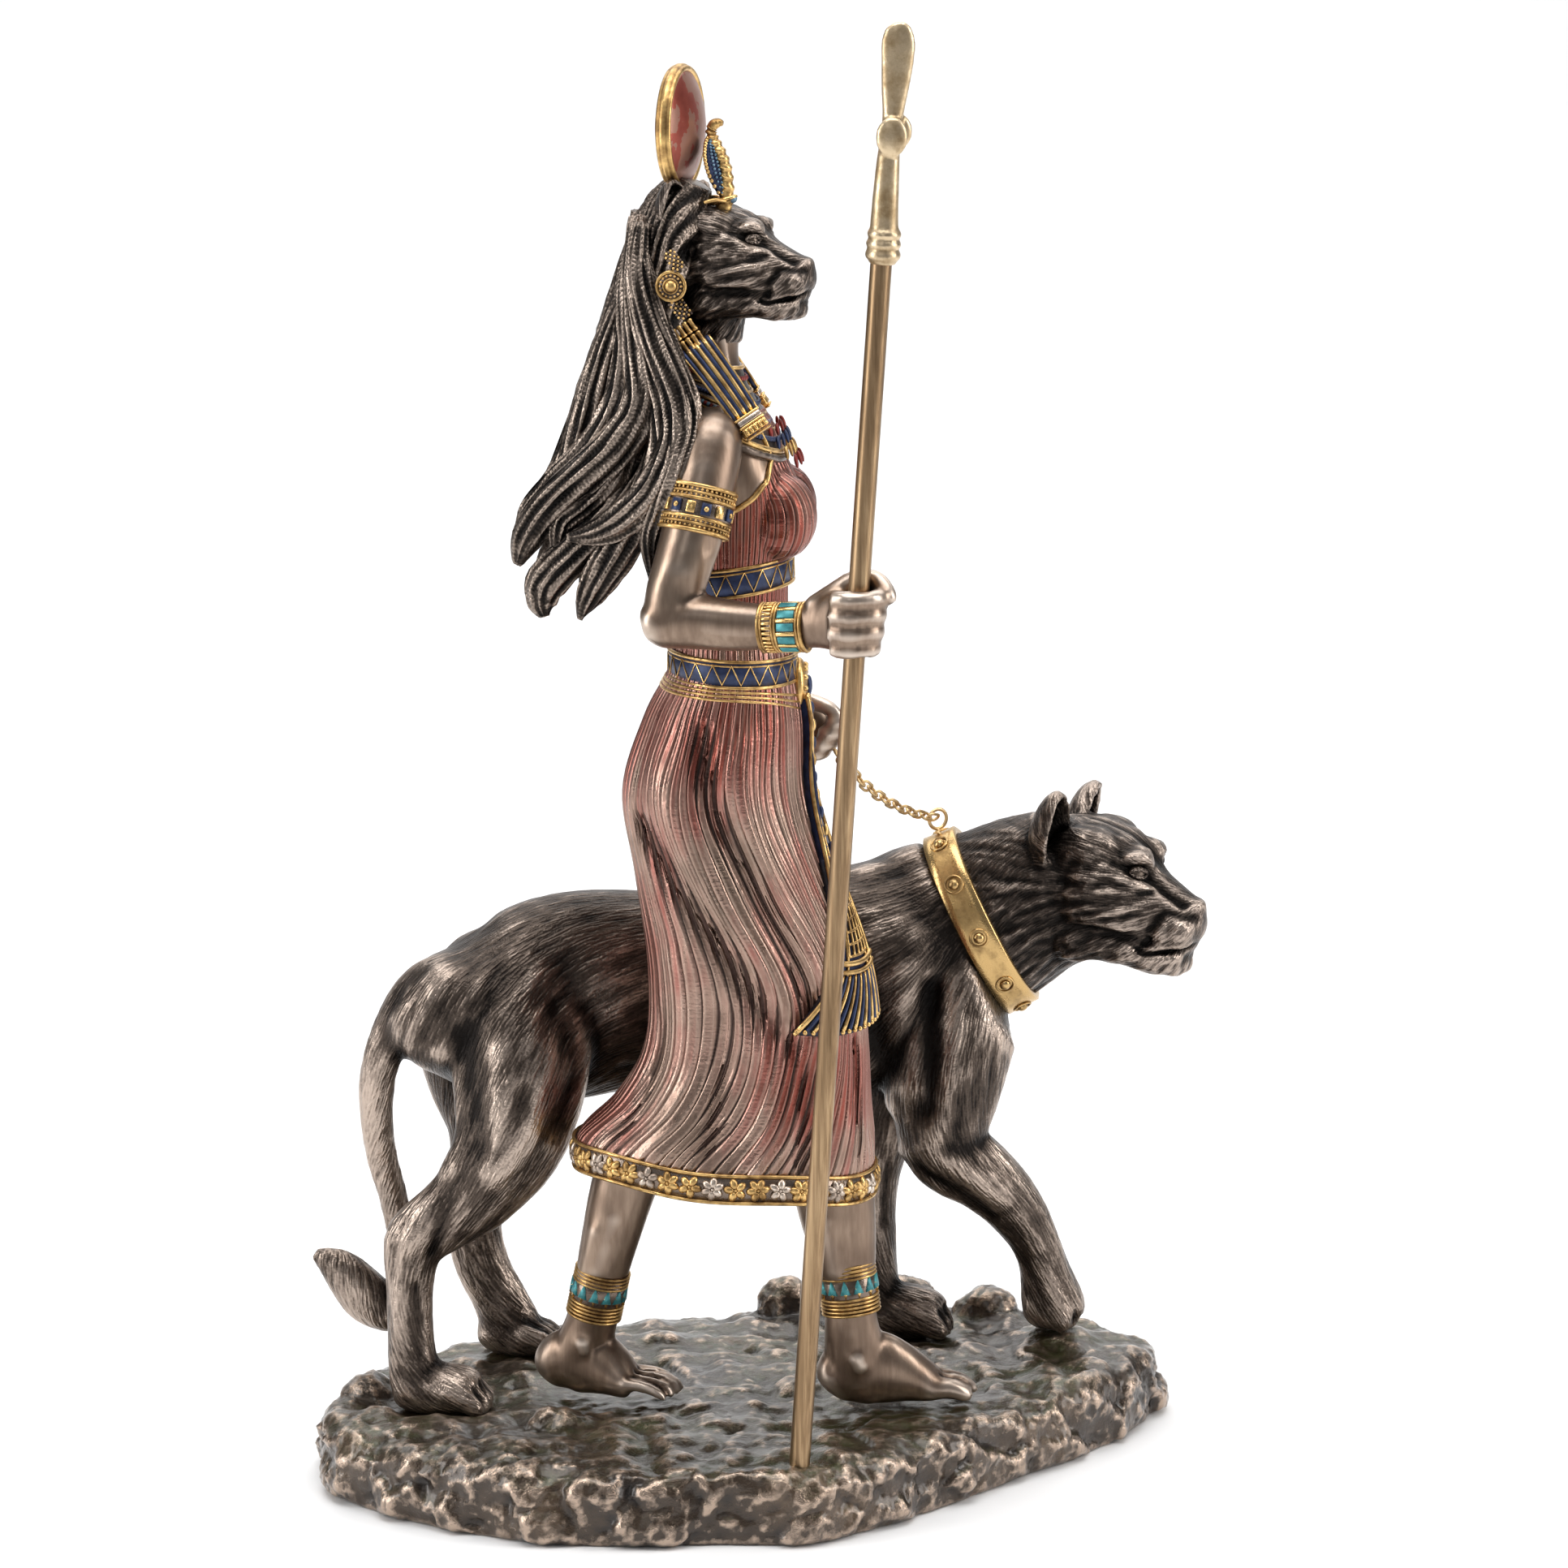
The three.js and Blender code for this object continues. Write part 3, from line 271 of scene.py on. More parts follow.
# Materials. Colours are linear, and the marks that the looks read come from the meshes.
class Looks:
    def __init__(self, tree):
        self.tree = tree
        self.tree.nodes.clear()

    def add(self, kind, settings=(), **sockets):
        node = self.tree.nodes.new("ShaderNode" + kind)
        for key, value in dict(settings).items():
            setattr(node, key, value)
        for key, value in sockets.items():
            socket = node.inputs[int(key[1:])] if key[1:].isdigit() else node.inputs[key.replace("_", " ")]
            self.feed(socket, value)
        return node

    def feed(self, socket, value):
        if isinstance(value, bpy.types.NodeSocket):
            self.tree.links.new(value, socket)
        else:
            socket.default_value = value

    def spots(self):
        return self.add("TexCoord").outputs["Object"]

    def read(self, name, vector=False):
        return self.add("Attribute", {"attribute_name": name}).outputs["Vector" if vector else "Fac"]

    def scaled(self, where, scale):
        return self.add("Mapping", i0=where, Scale=scale).outputs[0]

    def noise(self, where, scale, detail=2.0, rough=0.5):
        return self.add("TexNoise", Vector=where, Scale=scale, Detail=detail, Roughness=rough).outputs[0]

    def cells(self, where, scale):
        return self.add("TexVoronoi", {"feature": "F1"}, Vector=where, Scale=scale).outputs[0]

    def sum(self, a, b, kind="ADD"):
        return self.add("Math", {"operation": kind}, i0=a, i1=b).outputs[0]

    def times(self, a, b):
        return self.sum(a, b, "MULTIPLY")

    # Two values added up, each with its own weight
    def mixed(self, a, weight, b, other):
        return self.sum(self.times(a, weight), self.times(b, other))

    def span(self, value, low, high, out=(0.0, 1.0)):
        sockets = {"i1": low, "i2": high, "i3": out[0], "i4": out[1]}
        return self.add("MapRange", {"clamp": True}, i0=value, **sockets).outputs[0]

    def blend(self, share, a, b, kind="MIX"):
        node = self.add("Mix", {"data_type": "RGBA", "blend_type": kind, "clamp_factor": True})
        self.feed(node.inputs[0], share)
        self.feed(node.inputs[6], a)
        self.feed(node.inputs[7], b)
        return node.outputs[2]

    def ramp(self, value, stops):
        node = self.add("ValToRGB", i0=value)
        band = node.color_ramp
        while len(band.elements) < len(stops):
            band.elements.new(0.5)
        for element, (place, colour) in zip(band.elements, stops):
            element.position = place
            element.color = tuple(colour) + (1,)
        return node.outputs[0]

    def bump(self, height, distance):
        return self.add("Bump", Strength=1.0, Distance=distance, Height=height).outputs[0]


def solid(*rgb):
    return (*rgb, 1.0)


# Short strokes that run along "flow": fine noise averaged over a few steps that way
strokeSteps = {"each": 0.00042, "count": 3}


def strokeGroup():
    tree = bpy.data.node_groups.new("strokesAlongFlow", "ShaderNodeTree")
    face = tree.interface
    face.new_socket("Vector", in_out="INPUT", socket_type="NodeSocketVector")
    face.new_socket("Flow", in_out="INPUT", socket_type="NodeSocketVector")
    face.new_socket("Scale", in_out="INPUT", socket_type="NodeSocketFloat")
    face.new_socket("Step", in_out="INPUT", socket_type="NodeSocketFloat")
    face.new_socket("Strokes", in_out="OUTPUT", socket_type="NodeSocketFloat")
    looks = Looks(tree)
    come = tree.nodes.new("NodeGroupInput").outputs
    total = 0.0
    for step in range(-strokeSteps["count"], strokeSteps["count"] + 1):
        far = looks.times(come["Step"], float(step))
        away = looks.add("VectorMath", {"operation": "SCALE"}, i0=come["Flow"], Scale=far).outputs[0]
        spot = looks.add("VectorMath", {"operation": "ADD"}, i0=come["Vector"], i1=away).outputs[0]
        total = looks.sum(looks.noise(spot, come["Scale"], 0.0), total)
    mean = looks.times(total, 1.0 / (2 * strokeSteps["count"] + 1))
    leave = tree.nodes.new("NodeGroupOutput")
    tree.links.new(looks.span(mean, 0.38, 0.62), leave.inputs[0])
    return tree


strokesAlongFlow = strokeGroup()


def strokes(looks, spots, flow, scale, step):
    group = {"node_tree": strokesAlongFlow}
    return looks.add("Group", group, Vector=spots, Flow=flow, Scale=scale, Step=step).outputs[0]


def newMaterial(name):
    material = bpy.data.materials.new(name)
    material.use_nodes = True
    return material, Looks(material.node_tree)


def surface(looks, colour, metal, rough, normal=None, coat=0.0, specular=0.5):
    shader = looks.add("BsdfPrincipled", Base_Color=colour, Metallic=metal, Roughness=rough)
    shader.inputs["Coat Weight"].default_value = coat
    shader.inputs["Coat Roughness"].default_value = 0.2
    shader.inputs["Specular IOR Level"].default_value = specular
    if normal is not None:
        looks.feed(shader.inputs["Normal"], normal)
    looks.add("OutputMaterial", Surface=shader.outputs[0])


# Bronze with the strokes of a coat or of combed hair, pale on the ridges as painted highlight and partly
# wear, with painted shade in the hollows
def strokedBronze(name, dark, mid, pale, scale, step, wearAndSheen=0.5):
    material, looks = newMaterial(name)
    spots, flow, relief = looks.spots(), looks.read("flow", True), looks.read("relief")
    fine = strokes(looks, spots, flow, scale, step)
    broad = strokes(looks, spots, flow, scale * 0.6, step * 1.7)
    both = looks.mixed(fine, 0.6, broad, 0.4)
    patches = looks.noise(spots, 42.0, 3.0)
    # painted highlight, partly wear: the ridges are pushed towards the pale colour
    shine = looks.sum(looks.span(relief, 0.2, 0.8), looks.span(patches, 0.3, 0.7, (-0.2, 0.2)))
    tips = looks.mixed(both, 0.42, looks.sum(shine, wearAndSheen, "SUBTRACT"), 0.8)
    colour = looks.ramp(tips, [(0.06, dark), (0.40, mid), (0.74, pale)])
    # painted shade: the colour is darkened in the hollows
    deep = looks.span(relief, 0.05, 0.45, (0.25, 1.0))
    shade = looks.ramp(deep, [(0.0, (0.0, 0.0, 0.0)), (1.0, (1.0, 1.0, 1.0))])
    colour = looks.blend(1.0, colour, shade, "MULTIPLY")
    rough = looks.span(tips, 0.1, 0.9, (0.42, 0.27))
    surface(looks, colour, 0.9, rough, looks.bump(both, 0.00022))
    return material


# Smooth bronze skin: satin, with faint long streaks, painted shade in the hollows and painted highlight on
# the ridges
def satinBronze():
    material, looks = newMaterial("satinBronze")
    spots, relief = looks.spots(), looks.read("relief")
    streaks = looks.noise(looks.scaled(spots, (900, 900, 160)), 1.0, 4.0)
    patches = looks.noise(spots, 60.0, 3.0)
    tone = looks.mixed(streaks, 0.35, patches, 0.65)
    stops = [(0.3, (0.138, 0.094, 0.068)), (0.52, (0.23, 0.163, 0.12)), (0.75, (0.37, 0.277, 0.207))]
    colour = looks.ramp(tone, stops)
    # painted shade: the hollows are blended towards a dark colour
    hollowShade = looks.span(relief, 0.1, 0.46, (1.0, 0.0))
    colour = looks.blend(hollowShade, colour, solid(0.05, 0.035, 0.028))
    # painted highlight: the ridges are blended towards a pale colour
    edges = looks.span(relief, 0.62, 0.95)
    colour = looks.blend(edges, colour, solid(0.60, 0.50, 0.42))
    surface(looks, colour, 0.92, looks.span(tone, 0.3, 0.75, (0.42, 0.27)), looks.bump(streaks, 0.00003))
    return material


# Antique metals: bright on what stands out as painted highlight, dark in what lies deep as patina and
# painted shade
def antiqueGold(name, bright, dull, patinaAndShade, hold=0.5):
    material, looks = newMaterial(name)
    spots, relief = looks.spots(), looks.read("relief")
    patches = looks.noise(spots, 260.0, 4.0, 0.6)
    grain = looks.noise(spots, 2600.0, 2.0)
    high = looks.sum(relief, looks.span(patches, 0.3, 0.7, (-0.22, 0.22)))
    # painted highlight on the raised parts, and painted shade with patina in the hollows: the relief picks
    # the colour
    colour = looks.ramp(high, [(hold - 0.3, patinaAndShade), (hold - 0.06, dull), (hold + 0.2, bright)])
    surface(looks, colour, 0.95, looks.span(high, 0.2, 0.8, (0.55, 0.26)), looks.bump(grain, 0.00004))
    return material


# Enamel paint laid over the casting, rubbed through to metal on its edges, with painted shade in its hollows
def enamel(name, colour, second):
    material, looks = newMaterial(name)
    spots, relief = looks.spots(), looks.read("relief")
    patches = looks.noise(spots, 420.0, 4.0, 0.65)
    paint = looks.ramp(patches, [(0.32, second), (0.62, colour)])
    # painted shade: near black in the hollows
    hollowShade = looks.span(relief, 0.1, 0.42, (0.85, 0.0))
    paint = looks.blend(hollowShade, paint, solid(0.02, 0.016, 0.014))
    rubbed = looks.span(looks.sum(relief, patches), 1.5, 1.75)
    paint = looks.blend(rubbed, paint, solid(0.62, 0.45, 0.24))
    metal = looks.span(rubbed, 0.0, 1.0, (0.35, 0.95))
    surface(looks, paint, metal, looks.span(patches, 0.3, 0.7, (0.3, 0.46)), looks.bump(patches, 0.00005))
    return material


# Pleated ribbons: each takes its own share of champagne, rose and rust, with dark lines of painted shade
# between, painted highlight on the pleats' lips and painted shade in the deep folds
def pleatedBronze():
    material, looks = newMaterial("pleatedBronze")
    spots = looks.spots()
    relief, tint, ribbon = (looks.read(mark) for mark in ("relief", "tint", "ribbon"))
    long = looks.noise(looks.scaled(spots, (700, 700, 70)), 1.0, 3.0)
    cloudy = looks.noise(spots, 38.0, 3.0)
    uneven = looks.sum(looks.times(long, 0.3), looks.span(cloudy, 0.3, 0.7, (0.1, 0.55)))
    tone = looks.sum(looks.times(ribbon, 0.22), uneven)
    tone = looks.sum(tone, looks.span(tint, 0.0, 1.0, (0.0, 0.42)))
    colour = looks.ramp(tone, [
        (0.40, (0.24, 0.165, 0.125)), (0.60, (0.36, 0.235, 0.185)), (0.78, (0.33, 0.14, 0.112)),
        (0.96, (0.23, 0.060, 0.043)),
    ])
    tarnish = looks.span(looks.noise(spots, 130.0, 4.0, 0.65), 0.46, 0.72)
    colour = looks.blend(looks.times(tarnish, 0.45), colour, solid(0.12, 0.08, 0.058))
    # painted shade: the grooves between the pleats are darkened
    groove = looks.span(looks.read("groove"), 0.25, 0.8)
    colour = looks.blend(groove, colour, solid(0.035, 0.024, 0.02))
    # painted highlight: the lip beside each groove is made pale
    lip = looks.span(looks.read("lip"), 0.2, 0.9, (0.0, 0.36))
    colour = looks.blend(lip, colour, solid(0.56, 0.43, 0.35))
    # painted shade: the deep folds are darkened
    deep = looks.span(relief, 0.0, 0.25, (0.3, 0.0))
    colour = looks.blend(deep, colour, solid(0.10, 0.045, 0.035))
    hammered = looks.noise(spots, 1500.0, 2.0)
    crossed = looks.noise(looks.scaled(spots, (300, 300, 1700)), 1.0, 1.0)
    dents = looks.sum(hammered, crossed)
    rough = looks.span(looks.sum(long, tarnish), 0.4, 1.3, (0.26, 0.48))
    surface(looks, colour, 0.88, rough, looks.bump(dents, 0.00007))
    return material


# Rock: dark brown and wet looking, moss wash on top, painted highlight on the raised edges and painted shade
# in the hollows
def rockBronze():
    material, looks = newMaterial("rockBronze")
    spots, relief = looks.spots(), looks.read("relief")
    broad = looks.noise(spots, 55.0, 5.0, 0.6)
    fine = looks.noise(spots, 420.0, 5.0, 0.62)
    chips = looks.cells(spots, 210.0)
    stops = [(0.3, (0.022, 0.014, 0.009)), (0.55, (0.058, 0.037, 0.022)), (0.75, (0.12, 0.078, 0.046))]
    brown = looks.ramp(broad, stops)
    up = looks.add("SeparateXYZ", i0=looks.add("NewGeometry").outputs["Normal"]).outputs[2]
    moss = looks.times(looks.span(up, 0.35, 0.9), looks.span(fine, 0.36, 0.6))
    mossy = looks.times(moss, looks.span(broad, 0.42, 0.56, (0.1, 0.85)))
    colour = looks.blend(mossy, brown, solid(0.036, 0.046, 0.011))
    # painted highlight: the raised edges are blended towards a pale colour
    edge = looks.span(looks.sum(relief, looks.span(fine, 0.3, 0.7, (-0.2, 0.2))), 0.56, 0.86)
    colour = looks.blend(looks.times(edge, 0.85), colour, solid(0.52, 0.395, 0.305))
    # painted shade: the hollows are blended towards near black
    deep = looks.span(relief, 0.0, 0.42, (0.9, 0.0))
    colour = looks.blend(deep, colour, solid(0.012, 0.008, 0.006))
    height = looks.bump(looks.mixed(fine, 0.7, chips, 0.4), 0.0008)
    metal = looks.span(edge, 0.0, 1.0, (0.5, 0.95))
    surface(looks, colour, metal, looks.span(broad, 0.3, 0.7, (0.12, 0.3)), height, coat=0.55)
    return material


# Brushed brass of the rod, streaked along it
def brushedBrass():
    material, looks = newMaterial("brushedBrass")
    spots = looks.spots()
    along = looks.noise(looks.scaled(spots, (1500, 1500, 12)), 1.0, 5.0, 0.65)
    patches = looks.noise(looks.scaled(spots, (150, 150, 30)), 1.0, 3.0)
    tone = looks.mixed(along, 0.6, patches, 0.4)
    stops = [(0.32, (0.13, 0.08, 0.042)), (0.5, (0.29, 0.19, 0.105)), (0.68, (0.50, 0.35, 0.20))]
    colour = looks.ramp(tone, stops)
    surface(looks, colour, 0.95, looks.span(tone, 0.3, 0.7, (0.42, 0.27)), looks.bump(along, 0.00003))
    return material


# Lacquer of the disc: deep red, worn to bronze in patches
def redLacquer():
    material, looks = newMaterial("redLacquer")
    spots = looks.spots()
    patches = looks.noise(spots, 120.0, 4.0, 0.6)
    streaks = looks.noise(looks.scaled(spots, (160, 160, 30)), 1.0, 3.0)
    stops = [(0.7, (0.17, 0.030, 0.020)), (1.0, (0.29, 0.062, 0.042)), (1.35, (0.30, 0.15, 0.11))]
    colour = looks.ramp(looks.sum(patches, streaks), stops)
    surface(looks, colour, 0.6, looks.span(patches, 0.3, 0.7, (0.28, 0.4)), looks.bump(patches, 0.00004))
    return material


furBronze = strokedBronze("furBronze", (0.013, 0.010, 0.0085), (0.088, 0.067, 0.054), (0.48, 0.385, 0.32),
                          2300.0, 0.00034)
faceBronze = strokedBronze("faceBronze", (0.012, 0.0095, 0.008), (0.066, 0.051, 0.042), (0.42, 0.34, 0.285),
                           2900.0, 0.00024, 0.45)
hairBronze = strokedBronze("hairBronze", (0.011, 0.009, 0.008), (0.048, 0.037, 0.030), (0.35, 0.28, 0.23),
                           2000.0, 0.0009, 0.5)
satin = satinBronze()
gold = antiqueGold("antiqueGold", (0.78, 0.51, 0.20), (0.30, 0.175, 0.065), (0.028, 0.018, 0.011))
brassBand = antiqueGold("collarBrass", (0.55, 0.365, 0.155), (0.25, 0.155, 0.065), (0.035, 0.024, 0.015),
                        0.5)
wireGold = antiqueGold("wireGold", (0.72, 0.51, 0.26), (0.40, 0.26, 0.12), (0.08, 0.05, 0.025), 0.35)
paleBronze = antiqueGold("paleBronze", (0.66, 0.56, 0.47), (0.33, 0.26, 0.21), (0.045, 0.033, 0.028), 0.5)
darkBronze = antiqueGold("darkBronze", (0.20, 0.155, 0.125), (0.075, 0.057, 0.046), (0.02, 0.015, 0.012),
                         0.55)
blue = enamel("blueEnamel", (0.024, 0.040, 0.108), (0.011, 0.016, 0.042))
sky = enamel("skyEnamel", (0.20, 0.33, 0.44), (0.09, 0.16, 0.24))
teal = enamel("tealEnamel", (0.07, 0.33, 0.35), (0.03, 0.15, 0.17))
red = enamel("redEnamel", (0.24, 0.026, 0.018), (0.11, 0.012, 0.010))
rockFinish = rockBronze()
brushed = brushedBrass()
lacquer = redLacquer()
print("materials made")

# The floor, the light and the camera
studio = {
    "floor": 1.6, "top": 11.0, "left": 6.5, "right": 6.0, "front": 0.9, "back": 40.0, "world": 0.16,
    "lens": 112.287, "sensor": 36.0, "eye": (0.004608, -0.975906, 0.341),
    "aim": (0.004608, 0.006094, 0.143),
    # height and distance of the rows of the backdrop, in floors
    "sweep": [(0.02, 0.16), (0.09, 0.3), (0.22, 0.4), (0.45, 0.46), (1.6, 0.5)],
}


def makeStudio():
    bm = bmesh.new()
    size = studio["floor"]
    bmesh.ops.create_grid(bm, x_segments=2, y_segments=2, size=1)
    for vert in bm.verts:
        vert.co = (vert.co.x * 2.2 * size, (vert.co.y + 0.3) * size, 0.0)
    back = [e for e in bm.edges if e.is_boundary and min(v.co.y for v in e.verts) > 1.25 * size]
    for up, away in studio["sweep"]:
        made = bmesh.ops.extrude_edge_only(bm, edges=back)["geom"]
        verts = [g for g in made if isinstance(g, bmesh.types.BMVert)]
        for vert in verts:
            vert.co.z = up * size
            vert.co.y = (1.3 + away) * size
        edges = [g for g in made if isinstance(g, bmesh.types.BMEdge) and g.is_boundary]
        back = [edge for edge in edges if edge.verts[0] in verts and edge.verts[1] in verts]
    bmesh.ops.recalc_face_normals(bm, faces=bm.faces)
    mesh = bpy.data.meshes.new("floor")
    bm.to_mesh(mesh)
    bm.free()
    mesh.shade_smooth()
    floor = bpy.data.objects.new("floor", mesh)
    scene.collection.objects.link(floor)
    material, looks = newMaterial("paleFloor")
    tone = looks.noise(looks.spots(), 3.0, 2.0)
    white = looks.ramp(tone, [(0.3, (0.86, 0.86, 0.86)), (0.7, (0.90, 0.90, 0.90))])
    surface(looks, white, 0.0, 0.7, specular=0.2)
    mesh.materials.append(material)

    def softbox(name, power, place, aim, size, tint=(1.0, 1.0, 1.0)):
        light = bpy.data.lights.new(name, "AREA")
        light.shape = "RECTANGLE"
        light.size, light.size_y = size
        light.energy = power
        light.color = tint
        box = bpy.data.objects.new(name, light)
        box.location = place
        box.rotation_euler = (Vector(aim) - Vector(place)).to_track_quat("-Z", "Y").to_euler()
        scene.collection.objects.link(box)

    softbox("topLight", studio["top"], (0.0, -0.15, 1.15), (0, 0, 0.1), (1.0, 0.8))
    softbox("leftLight", studio["left"], (-0.95, -0.35, 0.45), (0, 0, 0.15), (0.35, 0.9))
    softbox("rightLight", studio["right"], (0.95, -0.25, 0.5), (0, 0, 0.15), (0.3, 0.9), (1.0, 0.985, 0.97))
    softbox("frontLight", studio["front"], (-0.25, -1.3, 0.75), (0, 0, 0.15), (0.5, 0.5))
    softbox("backLight", studio["back"], (0.0, 1.5, 1.5), (0, 1.75, 0.0), (3.0, 1.8))
    world = bpy.data.worlds.new("studio")
    world.use_nodes = True
    world.node_tree.nodes["Background"].inputs[0].default_value = (0.93, 0.95, 1.0, 1)
    world.node_tree.nodes["Background"].inputs[1].default_value = studio["world"]
    scene.world = world
    eye = bpy.data.cameras.new("camera")
    eye.lens = studio["lens"]
    eye.sensor_width = studio["sensor"]
    camera = bpy.data.objects.new("camera", eye)
    camera.location = studio["eye"]
    camera.rotation_euler = (Vector(studio["aim"]) - camera.location).to_track_quat("-Z", "Y").to_euler()
    scene.collection.objects.link(camera)
    scene.camera = camera
    scene.view_settings.view_transform = "Standard"


makeStudio()
print("studio made")


# The rock slab
rock = {
    "middle": (-6.0, 2.0), "half": (90.0, 61.0),
    "rim": [
        (0.97, 0.42), (0.87, 0.65), (0.633, 0.84), (0.36, 0.86), (0.067, 0.8), (-0.344, 0.7), (-0.72, 0.44),
        (-0.98, -0.08), (-0.93, -0.58), (-0.51, -0.97), (-0.055, -1), (0.15, -0.97), (0.41, -0.67),
        (0.61, -0.35), (0.83, 0),
    ],
    "levels": [(0.985, 0.0), (1.0, 1.2), (1.012, 4.6), (0.996, 8.0), (1.002, 11.2), (0.975, 14.2),
        (0.93, 15.3), (0.8, 15.5),
               (0.6, 15.5), (0.4, 15.5), (0.2, 15.5)],
    "boulders": [(0, 48, 17, 6.4, 0.3), (13, 49, 16, 6, 1.1), (27, 49, 18.4, 6.6, 0.5),
        (44, 47, 16.6, 6.4, 0.2),
                 (-46, -26, 14, 6.4, 0.4), (-86, -6, 14.8, 6.4, 0.9)],
    # middle, reach and level of the ground under each foot
    "stands": [(-36.5, -9.6, 19, 14.5), (24, -14, 20, 14.9), (-71, -12.6, 14, 12.5), (-57, 19.8, 13, 15.1),
               (26.5, 33.4, 15, 14.3), (58.5, 28.2, 10, 17.9), (2.8, -52, 5, 15.2)],
    "voxel": 0.9,
}


def makeBase():
    bm = bmesh.new()
    mx, my = rock["middle"]
    rim = [(mx + u * rock["half"][0], my + v * rock["half"][1], 0.0) for u, v in rock["rim"]]
    around = smoothRows(rim[-2:] + rim + rim[:3], 8)[2 * 8:(2 + len(rim)) * 8, :2]
    spots = []
    for share, high in rock["levels"]:
        ring = np.array(rock["middle"]) + share * (around - np.array(rock["middle"]))
        spots.append(np.column_stack([ring, np.full(len(ring), high)]))
    wrap(bm, np.array(spots))
    for x, y, z, size, turn in rock["boulders"]:
        lump(bm, (x, y, z), (size * 1.15, size * 0.95, size * 0.75), turned(turn), (9, 6))
    clay = fused(bm, rock["voxel"], 2)
    co = clay.co
    top = np.clip((clay.normal[:, 2] - 0.2) * 1.6, 0, 1)
    side = 1 - top
    broad = np.sin(0.11 * co[:, 0] + 1.3) * np.cos(0.13 * co[:, 1] - 0.4)
    small = np.sin(0.31 * co[:, 0] - 0.23 * co[:, 1]) * np.cos(0.27 * co[:, 0] + 0.35 * co[:, 1] + 1)
    rise = (0.7 * broad + 0.8 * small) * top * (co[:, 2] > 10)
    co[:, 2] += rise
    # Chiselled facets: every face of the stone leans its own way
    seeds = chance.uniform((-100, -64, -2), (92, 66, 22), (520, 3))
    lean = unit(chance.normal(size=(520, 3)))
    tree = Cells(seeds)
    first, gap = tree.nearest(co)
    slope = ((co - seeds[first]) * lean[first]).sum(1)
    facet = np.clip(slope * 0.30, -1.3, 1.3)
    crack = np.exp(-((gap / 0.55) ** 2))
    free = np.ones(len(co))
    for x, y, reach, level in rock["stands"]:
        near = np.exp(-(np.hypot(co[:, 0] - x, (co[:, 1] - y) * 1.5) / reach) ** 4) * (co[:, 2] > 8)
        co[:, 2] += near * (level - co[:, 2]) * (clay.normal[:, 2] > 0)
        free -= 0.9 * near
    keep = np.clip(co[:, 2] / 2.0, 0, 1)
    clay.push((facet * (0.45 * top + 0.9 * side) - 0.28 * crack) * free * keep)
    clay.co[:, 2] = np.maximum(clay.co[:, 2], 0.0)
    clay.relax(2, 0.35)
    rough = np.array([mathNoise(p * 0.33) for p in clay.co])
    ridged = noise.ridged_multi_fractal
    crags = np.array([ridged(Vector(p * 0.12), 0.75, 2.2, 5, 0.9, 2.0) for p in clay.co])
    crags = np.clip(crags - crags.mean(), -1.4, 1.6)
    clay.push((0.42 * rough + crags * (0.3 * top + 0.85 * side) * free) * keep)
    clay.co[:, 2] = np.maximum(clay.co[:, 2], 0.0)
    finished("rockBase", clay, rockFinish, "base", 4, 0.9)


def mathNoise(p):
    return noise.fractal(Vector(p), 0.9, 2.1, 4)


# Cells about scattered seeds: which seed is nearest, and how near the border to the next one is
class Cells:
    def __init__(self, seeds):
        self.tree = kdtree.KDTree(len(seeds))
        for i, seed in enumerate(seeds):
            self.tree.insert(seed, i)
        self.tree.balance()

    def nearest(self, spots):
        first = np.empty(len(spots), int)
        gap = np.empty(len(spots))
        for i, spot in enumerate(spots):
            (_, seed, near), (_, _, far) = self.tree.find_n(spot, 2)
            first[i], gap[i] = seed, far - near
        return first, gap


makeBase()


